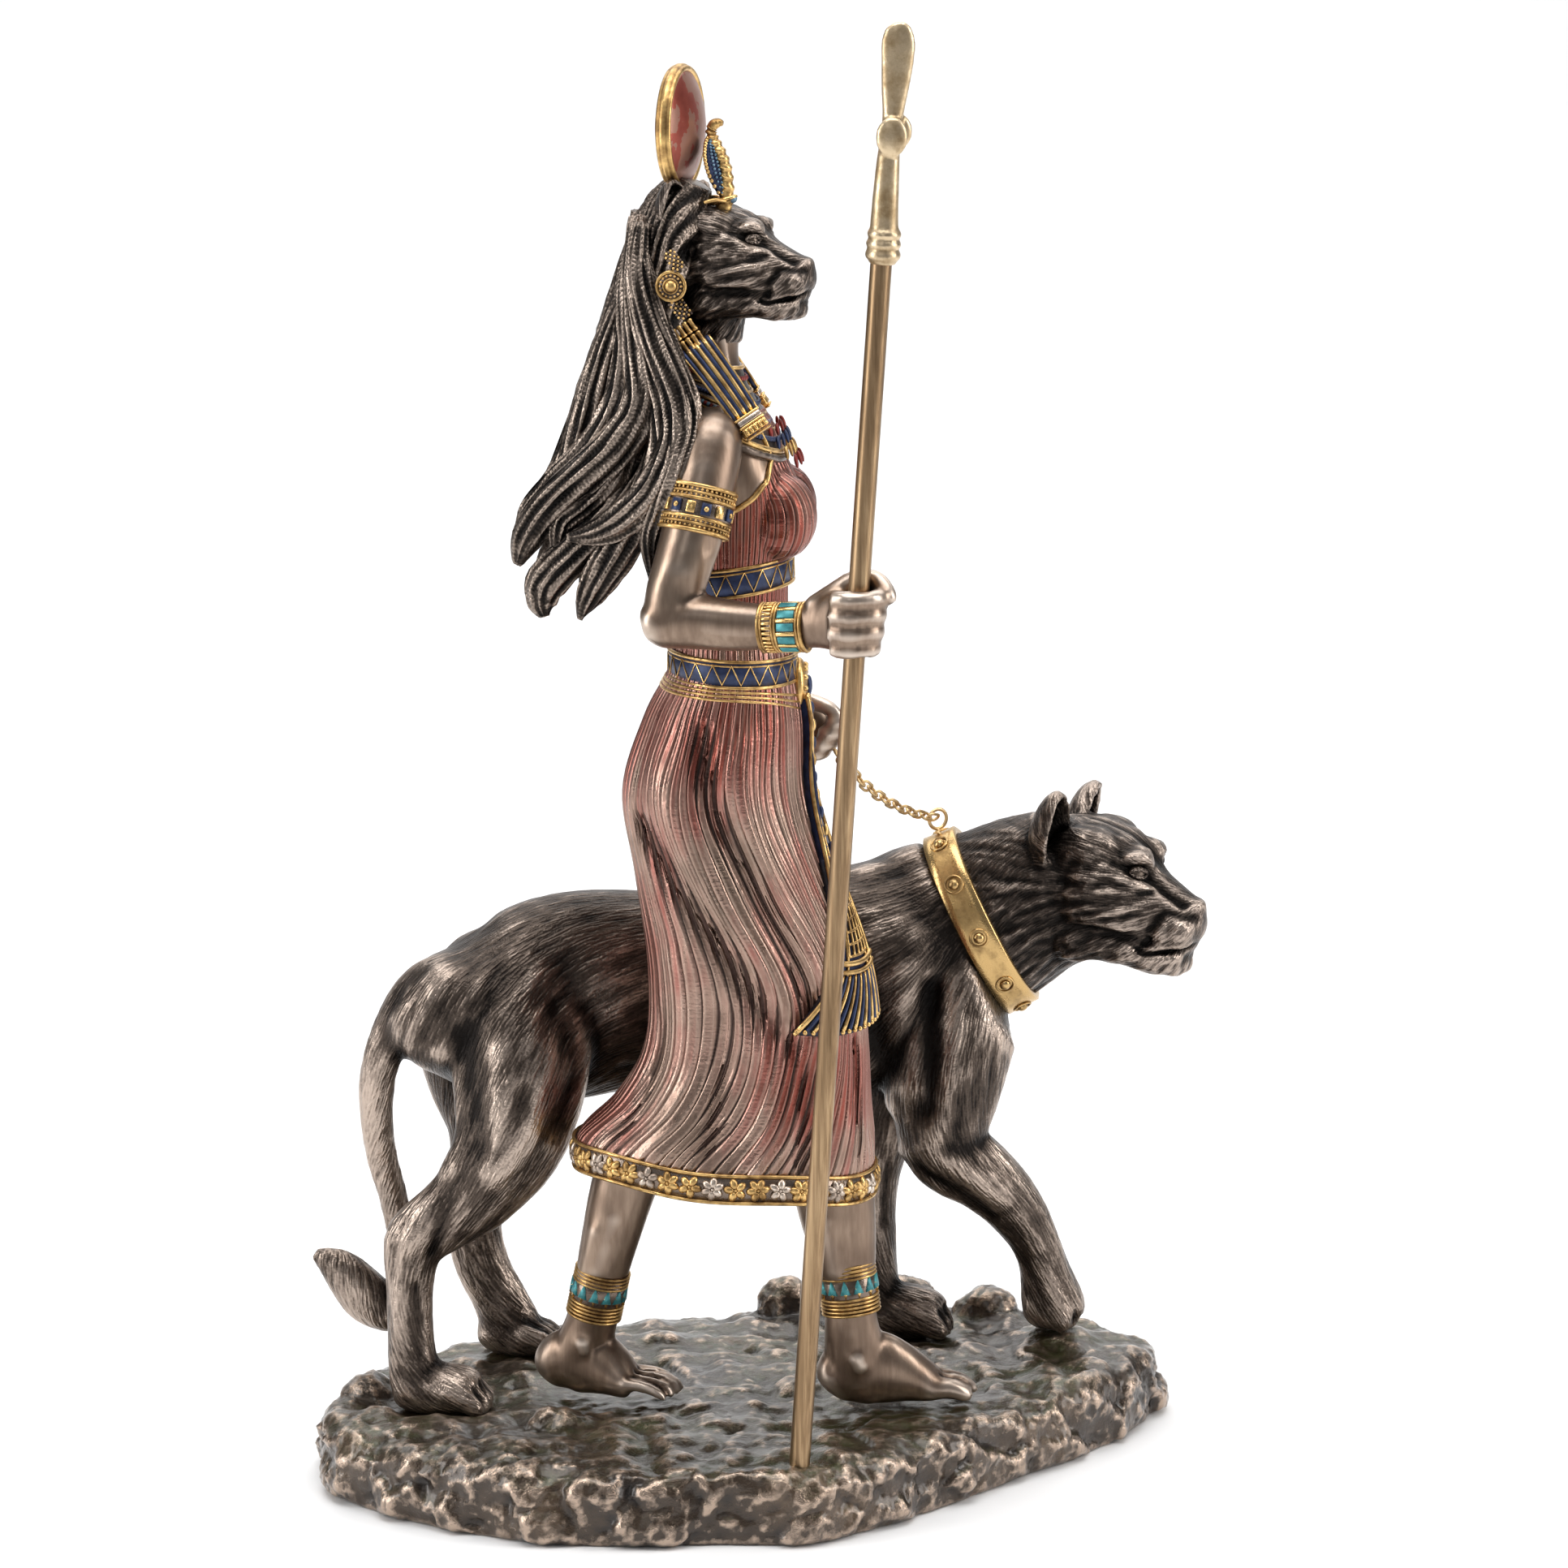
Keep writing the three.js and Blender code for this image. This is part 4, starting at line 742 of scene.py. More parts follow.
# The lion's head of both figures, in its own frame: x to the nose, y to its left, z up
lionFace = {
    "skull": [
        (-13, 0, 0, 5.5, 6), (-8, 0, -1.3, 12.8, 11.8), (-4, 0, -1.3, 13.9, 13.1), (0, 0, -1.4, 13.8, 13.6),
        (4, 0, -1.9, 13.3, 13.2), (8, 0, -2.7, 12.5, 12.0), (11, 0, -3.9, 11.1, 10.4),
        (13.4, 0, -5.4, 9.2, 8.8), (15.5, 0, -6.4, 8.0, 7.6), (18, 0, -7.2, 6.9, 6.5),
        (20.5, 0, -8.0, 5.9, 5.5), (22.4, 0, -8.2, 4.7, 4.5), (23.8, 0, -8.4, 3.0, 3.0),
        (24.2, 0, -8.4, 1.4, 1.4),
    ],
    "jaw": [(-3, 7.2, -12.0, 5.4, 4.6), (3, 6.8, -12.4, 4.7, 4.4), (9, 5.6, -13.7, 4.2, 4.2),
        (14.4, 3.8, -15.5, 4.1, 4.1), (18.8, 1.3, -16.5, 3.5, 3.5)],
    "lumps": [  # middle, half sizes; those off the middle line are mirrored
        ((22.2, 0, -5.1), (2.3, 3.1, 2.0)), ((21.5, 2.4, -5.6), (1.9, 1.6, 1.6)),
        ((19.4, 3.6, -9.6), (3.9, 4.1, 3.9)), ((15.4, 5.0, -9.8), (4.8, 3.4, 3.9)),
        ((18.2, 0, -17.0), (3.2, 3.6, 3.3)), ((16.2, 0, -13), (6.4, 6.4, 3.4)), ((8, 0, -11.6), (12, 6, 5)),
        ((10.3, 4.8, 4.9), (3.4, 3.9, 2.9)), ((4, 7.2, -4), (8.6, 5.7, 6.6)),
        ((-2, 7.4, -12.2), (5.6, 4.9, 5.3)), ((0, 6.2, 7), (7.6, 6, 5)),
    ],
    "eye": (10.7, 6.1, 2.5), "eyeSize": 1.8,
    "strokes": [  # path, reach, height
        ([(13.4, 6.6, 2.6), (11.4, 7.8, 3.4)], 2.1, -1.8), ([(9.4, 8.6, 4.0), (7.2, 9.6, 4.8)], 1.3, -0.7),
        ([(13.8, 5.4, 1.6), (15.6, 4.8, 0.2), (17.6, 4.3, -1.9), (20.4, 3.8, -3.9)], 1.2, -1.15),
        ([(14.6, 2.6, 3.4), (17.5, 2.3, 1.6), (20.6, 2.0, -0.6), (22.6, 1.8, -2)], 0.95, 0.5),
        ([(14.6, 0, 5.2), (11, 0, 8.4), (6, 0, 11.2), (0, 0, 12.6)], 1.2, -0.75),
        ([(13.8, 2.6, 5.2), (11.4, 3.6, 8), (8, 4.6, 10)], 1.5, 0.6),
        ([(14.2, 4.4, 4.0), (12.9, 6.5, 5.8), (9.4, 8.2, 6.2)], 1.25, 0.7),
        ([(14.2, 5.6, 3.0), (12.8, 7.4, 4.9), (9.2, 8.9, 5.1)], 0.5, -0.5),
        ([(13.6, 7.0, 0.4), (10.8, 8.8, 0.5), (8.4, 9.7, 1.6)], 1.0, 0.75),
        ([(14.6, 6.8, -1.2), (11.6, 9.0, -1.8), (8.2, 10.5, -0.9)], 0.9, -0.6),
        ([(13, 8.4, -10.0), (7.1, 11.2, -8.0), (-0.3, 12.6, -6.4)], 1.6, 0.6),
        ([(13.6, 8.4, -12.2), (7.6, 10.8, -10.6), (2.6, 12.2, -9.6)], 1.1, -0.55),
        ([(24.2, 0, -12.6), (22.6, 2.6, -13.1), (20.2, 4.9, -13.6), (16.6, 6.7, -14.0), (13.6, 8, -14.2),
          (11.8, 8.6, -13.2)], 0.5, -1.3),
        ([(24.4, 2.2, -12.0), (21.4, 5.2, -12.8), (17, 7.2, -13.2), (13, 8.6, -13.0)], 0.7, 0.5),
        ([(22.8, 2.4, -14.9), (20.2, 4.8, -15.4), (16.2, 6.6, -15.8)], 0.7, 0.45),
        ([(25.8, 0, -6.8), (25.2, 0, -12)], 0.5, -0.8),
        ([(25.4, 1.2, -5.4), (24.5, 2.6, -5.6), (23.2, 3.6, -4.6), (22.2, 4.0, -3.6)], 0.5, -1.3),
        ([(25.3, 1.2, -3.8), (24.2, 3.0, -3.8), (22.6, 3.8, -2.8)], 0.5, 0.35),
        ([(22.0, 0, -1.0), (22.3, 2.6, -2.0), (21.8, 3.8, -3.4)], 0.4, -0.3),
        ([(23.6, 3.4, -6.8), (20.4, 5.6, -5.8), (17, 6.4, -5.4)], 0.9, -0.6),
        ([(16.2, 7.2, -6.6), (14.6, 8, -9.4), (13.6, 8.4, -12)], 1.1, -0.7),
        ([(1.6, 9, 9.5), (-0.6, 10.6, 6), (-2.4, 12.0, 1.5)], 1.2, -1.0),
        ([(-4, 12.4, 2), (-4.6, 12.6, -3)], 2.2, -0.6), ([(4.6, 11.4, 3.2), (1.2, 12.8, 0.6)], 1.5, 0.5),
        ([(8, 9, 7), (3, 10, 9)], 1.4, -0.35),
    ],
    "ear": {"spot": (-5.8, 10.6, 10.0), "half": (5.4, 6.2, 9.6), "thick": 1.4, "lower": 2.2},
}


def headFrame(centre, size, turn, lift):
    forward = Vector((math.cos(turn) * math.cos(lift), -math.sin(turn) * math.cos(lift), math.sin(lift)))
    left = Vector((math.sin(turn), math.cos(turn), 0))
    up = forward.cross(left)
    matrix = Matrix((forward, left, up)).transposed().to_4x4() @ Matrix.Scale(size, 4)
    return Matrix.Translation(centre) @ matrix


def addEar(bm, side, open_):
    ear = lionFace["ear"]
    cup = bmesh.new()
    bmesh.ops.create_uvsphere(cup, u_segments=28, v_segments=18, radius=1)
    for vert in cup.verts:  # narrower towards its foot, a little pointed at its tip
        high = vert.co.z
        narrow = 1.0 - 0.42 * max(0.0, -high) - 0.16 * max(0.0, high) ** 2
        vert.co.y *= narrow
        vert.co.z += 0.10 * max(0.0, high) ** 3 * (1 - abs(vert.co.y))
    parts = list(cup.verts) + list(cup.edges) + list(cup.faces)
    bmesh.ops.bisect_plane(cup, geom=parts, plane_co=(0.2, 0, 0), plane_no=(1, 0, -0.1), clear_outer=True)
    bmesh.ops.scale(cup, vec=ear["half"], verts=cup.verts)
    bmesh.ops.solidify(cup, geom=cup.faces[:], thickness=ear["thick"])
    x, y, z = ear["spot"]
    spin = Matrix.Rotation(side * open_, 4, "Z") @ Matrix.Rotation(side * -0.2, 4, "X")
    spin = spin @ Matrix.Rotation(0.16, 4, "Y")
    z -= ear["lower"] * (side > 0)  # the head is carried a little aslant
    bmesh.ops.transform(cup, matrix=Matrix.Translation((x, side * y, z)) @ spin, verts=cup.verts)
    pour(cup, bm)


def shorter(p, short):  # a head with less muzzle under the eyes
    x, y, z = p
    return Vector((x, y, -4 + (z + 4) * short if z < -4 else z))


def lionHead(bm, centre, size, turn, lift, voxel, open_, short=1.0):
    own = bmesh.new()
    limb(own, lionFace["skull"], 40, facing=(1, 0, 0))  # the loft's first size is the one up and down
    for side in (1, -1):
        limb(own, [(x, side * y, z, a, b) for x, y, z, a, b in lionFace["jaw"]], 24)
    for spot, half in lionFace["lumps"]:
        for side in (1, -1) if spot[1] else (1,):
            lump(own, (spot[0], side * spot[1], spot[2]), half)
    for side in (1, -1):
        addEar(own, side, open_)
    place = headFrame(centre, size, turn, lift)
    for vert in own.verts:
        vert.co = shorter(vert.co, short)
    bmesh.ops.transform(own, matrix=place, verts=own.verts)
    pour(own, bm)
    clay = fused(bm, voxel, round(3.6 * (size / voxel) ** 2))
    at = lambda p: np.array(place @ shorter(p, short))
    for path, reach, height in lionFace["strokes"]:
        for side in (1, -1) if any(p[1] for p in path) else (1,):
            clay.stroke([at((x, side * y, z)) for x, y, z in path], reach * size, height * size)
        clay.look()
    clay.relax(1)
    # The coat in relief, fainter over the muzzle and round the eyes
    inverse = np.array(place.inverted())
    own = clay.co @ inverse[:3, :3].T + inverse[:3, 3]
    flow = faceFlow(own, place, clay.normal)
    muzzle = np.clip((own[:, 0] - 11) / 6, 0, 1) * np.clip((own[:, 2] + 18) / 3, 0, 1)
    deep = np.exp(-((own - np.array((11.5, 0, 3.6)))[:, [0, 2]] ** 2).sum(1) / 12)
    below = np.clip(1.1 - (own[:, 2] + 2) / 16, 0.5, 1)
    clay.comb(flow, 1.35 * size, 0.46 * size * (1 - 0.85 * np.maximum(muzzle, deep)) * below)
    clay.look()
    for side in (1, -1):  # whisker pits in rows
        for row in range(4):
            for step in range(5):
                out = 5.6 + 0.45 * step - 0.3 * abs(row - 1.5)
                spot = at((21.8 - 1.3 * step - 0.2 * row, side * out, -8.0 - 1.4 * row - 0.12 * step))
                clay.stroke([spot, spot], 0.42 * size, -0.5 * size)
    clay.look()
    return clay, place, clay.co @ inverse[:3, :3].T + inverse[:3, 3]


# Which way the coat runs on a head: back from the nose, down the cheeks, up the ears
def faceFlow(own, place, normal):
    away = unit(own - np.array((25.0, 0.0, -3.0)))
    away[:, 2] -= 0.35 * np.clip((8 - own[:, 0]) / 12, 0, 1) * np.clip((2 - own[:, 2]) / 8, 0, 1)
    ear = np.clip((own[:, 2] - 9.5) / 3, 0, 1) * np.clip((2 - own[:, 0]) / 4, 0, 1)
    away = away * (1 - ear[:, None]) + np.array((-0.2, 0.0, 1.0)) * ear[:, None]
    flow = away @ np.array(place.to_3x3()).T
    flow = flow - normal * (flow * normal).sum(1)[:, None]
    return unit(flow)


def addEyes(name, place, size, node):
    bm = bmesh.new()
    x, y, z = lionFace["eye"]
    looks = [place @ Matrix.Translation((x, side * y, z)) @ turned(side * 0.72, -0.08) for side in (1, -1)]
    for look in looks:
        ball(bm, look, (1, 1, 1), (24, 16), lionFace["eyeSize"])
    finished(name + "Eyes", bm, darkBronzeShiny, node, 2, 0.2)
    bm = bmesh.new()
    for side, look in zip((1, -1), looks):
        for bend, thick in ((0.66, 0.52), (-0.60, 0.40)):
            rows = []
            for step in np.linspace(-1, 1, 13):
                across = 2.15 * step
                high = bend * (1 - step * step) ** 0.8 * 1.35 - 0.3 * step
                left = lionFace["eyeSize"] ** 2 - (0.72 * across) ** 2 - high * high
                out = math.sqrt(max(left, 0.2)) + 0.08
                p = look @ Vector((out, -side * across, high))
                slim = thick * size * (1 - 0.55 * step * step)
                rows.append((*p, slim, slim))
            limb(bm, rows, 10, steps=2, depth=(0.1, 0.2, 1))
    finished(name + "Lids", bm, faceBronze, node, 3, 0.8)


darkBronzeShiny = antiqueGold("eyeBronze", (0.16, 0.125, 0.10), (0.075, 0.058, 0.046), (0.015, 0.012, 0.01),
                              0.3)


# The lioness
beast = {
    "body": [
        (-79.6, -3.6, 99, 5, 5), (-76, -2.6, 97, 10.4, 9), (-68.6, 0, 95, 14.2, 13),
        (-58, 3.4, 94.4, 19.8, 14.6), (-45, 7.6, 96.4, 22, 15), (-28, 13, 96.6, 21, 15),
        (-10, 18.8, 95, 21.6, 15.6), (8, 24.6, 95, 23.8, 16), (23, 29.4, 95.6, 25.6, 15.8),
        (36, 33, 95.6, 28.2, 14.4), (45.4, 33.4, 91.6, 24.4, 12.4), (50, 33.6, 90, 16, 8),
    ],
    "neck": [(22, 30, 99, 21, 14.6), (33, 31.4, 103.2, 21.4, 14.6), (42, 31, 107.4, 19.6, 13.8),
        (51.6, 29.6, 112.6, 17.8, 12.6), (60, 28, 116, 16.4, 12)],
    "tail": [
        (-59, 0, 102, 2, 2), (-68, -0.8, 103.6, 3.4, 3.4), (-75, -1.6, 100.4, 3.9, 3.7),
        (-80.6, -1.4, 92, 3.6, 3.4), (-84.4, 0, 80, 3.2, 3), (-84.4, 2, 66, 2.8, 2.6),
        (-81.4, 3.8, 53, 2.6, 2.4), (-79.4, 5.6, 36, 2.4, 2.3), (-82, 6.4, 28, 3.2, 3),
        (-87.2, 6.2, 31, 4.6, 3.6), (-93.4, 5.8, 38, 3.6, 3.0), (-98.6, 5.2, 41.6, 1.2, 1.2),
    ],
    "legs": {
        "nearHind": [
            (-52, 5, 111, 4, 4), (-53.4, 0.6, 105, 9.4, 8), (-54, -5.6, 92, 14.2, 9),
            (-54.4, -9.4, 80, 13.4, 8.6), (-57, -10.8, 69, 11.2, 7.6), (-63.4, -11, 59.6, 8.8, 6),
            (-70, -11, 54.2, 7.4, 5), (-76, -11, 49, 6.6, 4.6), (-77.3, -11, 42, 5.2, 4),
            (-77.4, -11.2, 32, 4.9, 3.9), (-77, -11.6, 23, 5.2, 4.2), (-75.4, -12, 16.6, 6, 4.8),
        ],
        "farHind": [
            (-61, 3, 110, 3, 3), (-62.4, 7, 104, 8.4, 6.6), (-64.4, 13.0, 91, 13, 9),
            (-63, 16.6, 78, 12.4, 8.4), (-61, 18.2, 66, 10.2, 7.2), (-63, 19, 55, 7.8, 5.8),
            (-66, 19.6, 45, 5.8, 4.8), (-64.6, 20.2, 35, 5.8, 4.2), (-61, 20.4, 27.4, 5.8, 4.2),
            (-58, 20.4, 21, 6.2, 4.8),
        ],
        "farFront": [
            (35, 36.4, 99, 12, 7), (32, 38, 84, 11.4, 7.6), (26.6, 38.4, 70, 8.6, 6.8),
            (21.4, 38, 58, 6.4, 5.6), (19, 37, 46, 5.6, 4.8), (18.6, 36, 35, 5.8, 4.8),
            (19, 35, 26, 5.8, 4.8), (20, 34.4, 19, 6, 5.4),
        ],
        "nearShoulder": [(39, 25, 101, 12, 8), (36, 21.6, 87, 13, 8.6), (33.8, 19.6, 75, 12.4, 8.2),
            (31.6, 18.6, 65, 10.4, 7.2), (28, 18.4, 59.6, 5.4, 5)],
        "nearFront": [
            (24.4, 18.6, 63, 3, 4), (30.4, 19, 61.4, 7.4, 6.6), (37, 20, 57.6, 8.4, 6.8),
            (43.6, 21.6, 52.4, 7.3, 6), (49.6, 23.6, 45.4, 6.2, 5.2), (53.8, 25.6, 38, 5.3, 4.8),
            (56, 26.8, 31, 5.5, 5), (57.4, 27.8, 25, 6.6, 6.0), (58.4, 28.2, 21.2, 6.6, 6.2),
            (58.8, 28.2, 18.8, 4.8, 4.8),
        ],
    },
    "paws": {
        "nearHind": [(-81.4, -10.8, 17, 2, 2.4), (-79, -11, 17.2, 4.4, 4.2), (-73, -12.2, 17.6, 5.4, 5.2),
            (-67, -13.4, 17.6, 5.2, 5.8), (-64, -14.0, 16.8, 4, 5.4)],
        "farHind": [(-65.4, 21.4, 18.8, 2, 2.4), (-63, 21, 19, 4, 4), (-57.6, 20, 19.2, 5, 5),
            (-52.4, 19, 18.4, 4.2, 5.4), (-49.6, 18.4, 17.4, 2.4, 4.6)],
        "farFront": [(15.4, 35.2, 18, 2.2, 3), (18, 35, 18.6, 4.4, 5), (24, 34, 19.8, 5.8, 6),
            (30, 33, 19.6, 5.6, 6.6), (33.6, 32, 18.6, 4.4, 6.0)],
    },
    # middle of the toes, heading, level of the sole, spread, size
    "toes": {
        "nearHind": (-63.4, -14.2, 12.4, -0.2, 2.9, 1.0), "farHind": (-49.6, 18.4, 15.0, -0.16, 2.6, 0.94),
        "farFront": (33.6, 32.2, 14.2, -0.16, 3.1, 1.04), "nearFront": (60.0, 27.6, 17.6, -0.2, 2.9, 1.06),
    },
    # the path of a cleft between toes, and each toe's joints: place ahead, height, half sizes
    "cleft": [(-5.4, 8.0), (-1.8, 7.4), (1.6, 5.6), (3.6, 2.4)],
    "toeLumps": [(-3.4, 5.4, (3.0, 1.9, 2.7)), (-0.6, 4.7, (2.9, 2.0, 2.8)), (1.6, 3.1, (2.3, 1.85, 2.7))],
    "muscles": [  # path, reach, height: the swells and valleys that the light shows
        ([(-70, -8, 104), (-58, -13, 98), (-50, -15, 88)], 5.5, 1.3),
        ([(-46, -12, 100), (-42, -14, 88), (-45, -15, 76)], 4.0, -1.5),
        ([(-66, -14, 92), (-64, -16, 80), (-62, -17, 70)], 3.6, -0.9),
        ([(-58, -18, 90), (-57, -19, 78), (-60, -18, 68)], 4.0, 1.3),
        ([(-70, -12, 88), (-70, -14, 76), (-70, -14, 66)], 3.2, 1.0),
        ([(-51, -17, 84), (-52, -18, 74), (-58, -18, 64)], 3.0, 0.9),
        ([(-74, -14, 56), (-76, -15, 50)], 3.0, 0.7), ([(-69, -14, 58), (-72.5, -14.5, 48)], 1.8, -0.9),
        ([(-79.5, -14, 40), (-79.8, -14, 24)], 1.5, 0.5), ([(-76, -15, 40), (-75.6, -15, 26)], 1.2, -0.5),
        ([(-36, 0, 84), (-22, 4, 80), (-6, 10, 78), (8, 14, 76)], 4.0, -1.0),
        ([(-34, -2, 98), (-18, 2, 98), (0, 8, 96)], 6.5, 0.9),
        ([(22, 12, 112), (30, 16, 104), (36, 18, 92), (36, 16, 80)], 5.0, 1.4),
        ([(14, 11, 108), (18, 12, 94), (20, 12, 80)], 3.4, -1.6),
        ([(26, 13, 100), (26, 12, 88), (27, 12, 76)], 4.0, 1.5),
        ([(31.5, 14, 96), (31, 13, 84), (31, 13, 72)], 2.2, -1.3),
        ([(42, 21, 98), (43, 20, 86), (41, 18, 76)], 3.4, -1.1), ([(46, 24, 92), (46.5, 23, 82)], 3.0, 0.9),
        ([(36, 14, 88), (35, 12, 76), (32, 12, 66)], 3.2, 1.2),
        ([(30, 13, 62), (38, 14, 57), (46, 17, 50)], 2.6, 0.9),
        ([(28, 13, 57), (36, 15, 52.5), (44, 18, 45)], 1.8, -0.8), ([(50, 20, 46), (54, 22, 38)], 1.6, 0.6),
        ([(24, 33, 62), (20, 32, 50), (18, 31, 38)], 2.2, 0.7), ([(22, 33, 56), (21.6, 31, 40)], 1.2, -0.6),
        ([(-64, 13, 60), (-66, 15, 48)], 2.2, 0.7),
        ([(18, 24, 121), (26, 27, 124), (34, 29, 126)], 3.4, 0.9),
    ],
    "grain": {"voxel": 0.86, "tuftLocks": 15},
    # guides for the coat: place, direction, reach
    "coat": [
        ((40, 31, 122), (-1, -0.3, -0.2)), ((20, 28, 119), (-1, -0.3, -0.05)),
        ((0, 20, 117), (-1, -0.35, 0)), ((-30, 10, 117), (-1, -0.35, 0)), ((-60, 2, 113), (-1, -0.3, -0.3)),
        ((-76, -3, 103), (-0.6, 0, -1)), ((46, 24, 100), (-0.35, -0.2, -1)),
        ((40, 20, 112), (-0.8, -0.3, -0.75)), ((30, 14, 106), (-0.7, -0.3, -0.9)),
        ((22, 12, 108), (-1, -0.2, 0.1)), ((16, 11, 100), (-1, -0.2, -0.35)),
        ((26, 12, 92), (-0.55, -0.1, -1)), ((34, 13, 92), (-0.25, -0.1, -1)),
        ((44, 20, 86), (-0.2, -0.2, -1)), ((30, 12, 76), (-0.3, 0, -1)), ((38, 14, 76), (0.05, 0, -1)),
        ((10, 11, 96), (-1, -0.3, -0.4)), ((-8, 5, 98), (-1, -0.3, -0.3)), ((-26, 0, 98), (-1, -0.3, -0.3)),
        ((0, 12, 82), (-1, -0.3, -0.15)), ((-28, 2, 82), (-1, -0.3, 0.1)),
        ((-44, -8, 98), (-0.9, -0.2, -0.5)), ((-42, -10, 82), (-0.7, -0.2, -0.7)),
        ((-56, -14, 98), (-0.6, -0.2, -1)), ((-66, -12, 96), (-0.5, 0, -1)),
        ((-56, -18, 84), (-0.35, 0, -1)), ((-68, -15, 78), (-0.1, 0, -1)),
        ((-48, -16, 74), (-0.5, 0, -0.9)), ((-60, -17, 66), (-0.6, 0, -0.9)),
        ((-70, -15, 56), (-0.7, 0, -0.8)), ((-78, -14, 48), (-0.3, 0, -1)), ((-78, -14, 34), (0.05, 0, -1)),
        ((-76, -15, 22), (0.5, -0.1, -0.8)), ((-68, -16, 17), (1, -0.1, -0.2)),
        ((-63, 14, 84), (-0.2, 0, -1)), ((-62, 14, 64), (-0.4, 0, -1)), ((-66, 16, 46), (0, 0, -1)),
        ((-61, 17, 28), (0.5, 0, -0.8)), ((-54, 16, 19), (1, 0, -0.3)), ((28, 32, 72), (-0.5, 0, -1)),
        ((20, 32, 52), (-0.15, 0, -1)), ((18, 31, 34), (0.1, 0, -1)), ((24, 30, 20), (1, 0, -0.3)),
        ((30, 13, 64), (0.3, 0, -1)), ((38, 14, 57), (0.9, 0.2, -0.7)), ((48, 18, 46), (0.7, 0.2, -0.9)),
        ((55, 22, 34), (0.4, 0.1, -1)), ((60, 24, 24), (0.6, -0.1, -0.7)), ((36, 44, 98), (-0.5, 0.2, -1)),
        ((0, 36, 96), (-1, 0, -0.3)), ((-30, 28, 96), (-1, 0, -0.3)), ((-60, 22, 92), (-0.5, 0, -1)),
    ],
}


def guided(spots, normal, guides):
    reach = 9.0
    places = np.array([g[0] for g in guides], float)
    ways = unit(np.array([g[1] for g in guides], float))
    flow = np.zeros_like(spots)
    for place, way in zip(places, ways):
        gap = ((spots - place) ** 2).sum(1)
        flow += way * (np.exp(-gap / (2 * reach * reach)) + 1e-4 / (1 + gap / 400))[:, None]
    flow -= normal * (flow * normal).sum(1)[:, None]
    return unit(flow)


def addToes(bm, spot, heading, level, spread, size):
    ahead, side = (way[:2] for way in headings(heading))
    for i in range(4):
        across = (i - 1.5) * spread
        back = 0.9 * abs(i - 1.5)
        for step, high, half in beast["toeLumps"]:
            x, y = np.array(spot) + ahead * (step - back) * size + side * across
            lump(bm, (x, y, level + high * size), [h * size for h in half], turned(heading))
        x, y = np.array(spot) + ahead * (3.0 - back) * size + side * across
        claw = (1.3 * size, 0.5 * size, 0.55 * size)
        lump(bm, (x, y, level + 1.7 * size), claw, turned(heading, 0.5), (10, 8))


# The neck is pressed in where the collar lies, and each mesh under the other beyond it
def seatCollar(clay, behind):
    x, y, z, a, b = beast["neck"][2]
    lean, half = 0.47, 3.6
    ahead = np.array((math.cos(lean), -0.06, math.sin(lean)))
    wide = np.array((-math.sin(lean), 0, math.cos(lean)))
    gap = clay.co - np.array((x, y, z))
    along, up, deep = gap @ ahead, gap @ wide, gap[:, 1]
    far = np.hypot(up / a, deep / b)
    inside = np.clip((half + 1.4 - np.abs(along)) / 1.4, 0, 1) * (far > 0.995) * (far < 1.5)
    beyond = np.clip(behind * along - 0.4, 0, 1) * (far < 1.5) * (np.abs(along) < 22)
    pull = inside * (1 - 0.995 / np.maximum(far, 0.5)) + 0.06 * beyond
    clay.co = clay.co - pull[:, None] * (gap - along[:, None] * ahead)
    clay.look()


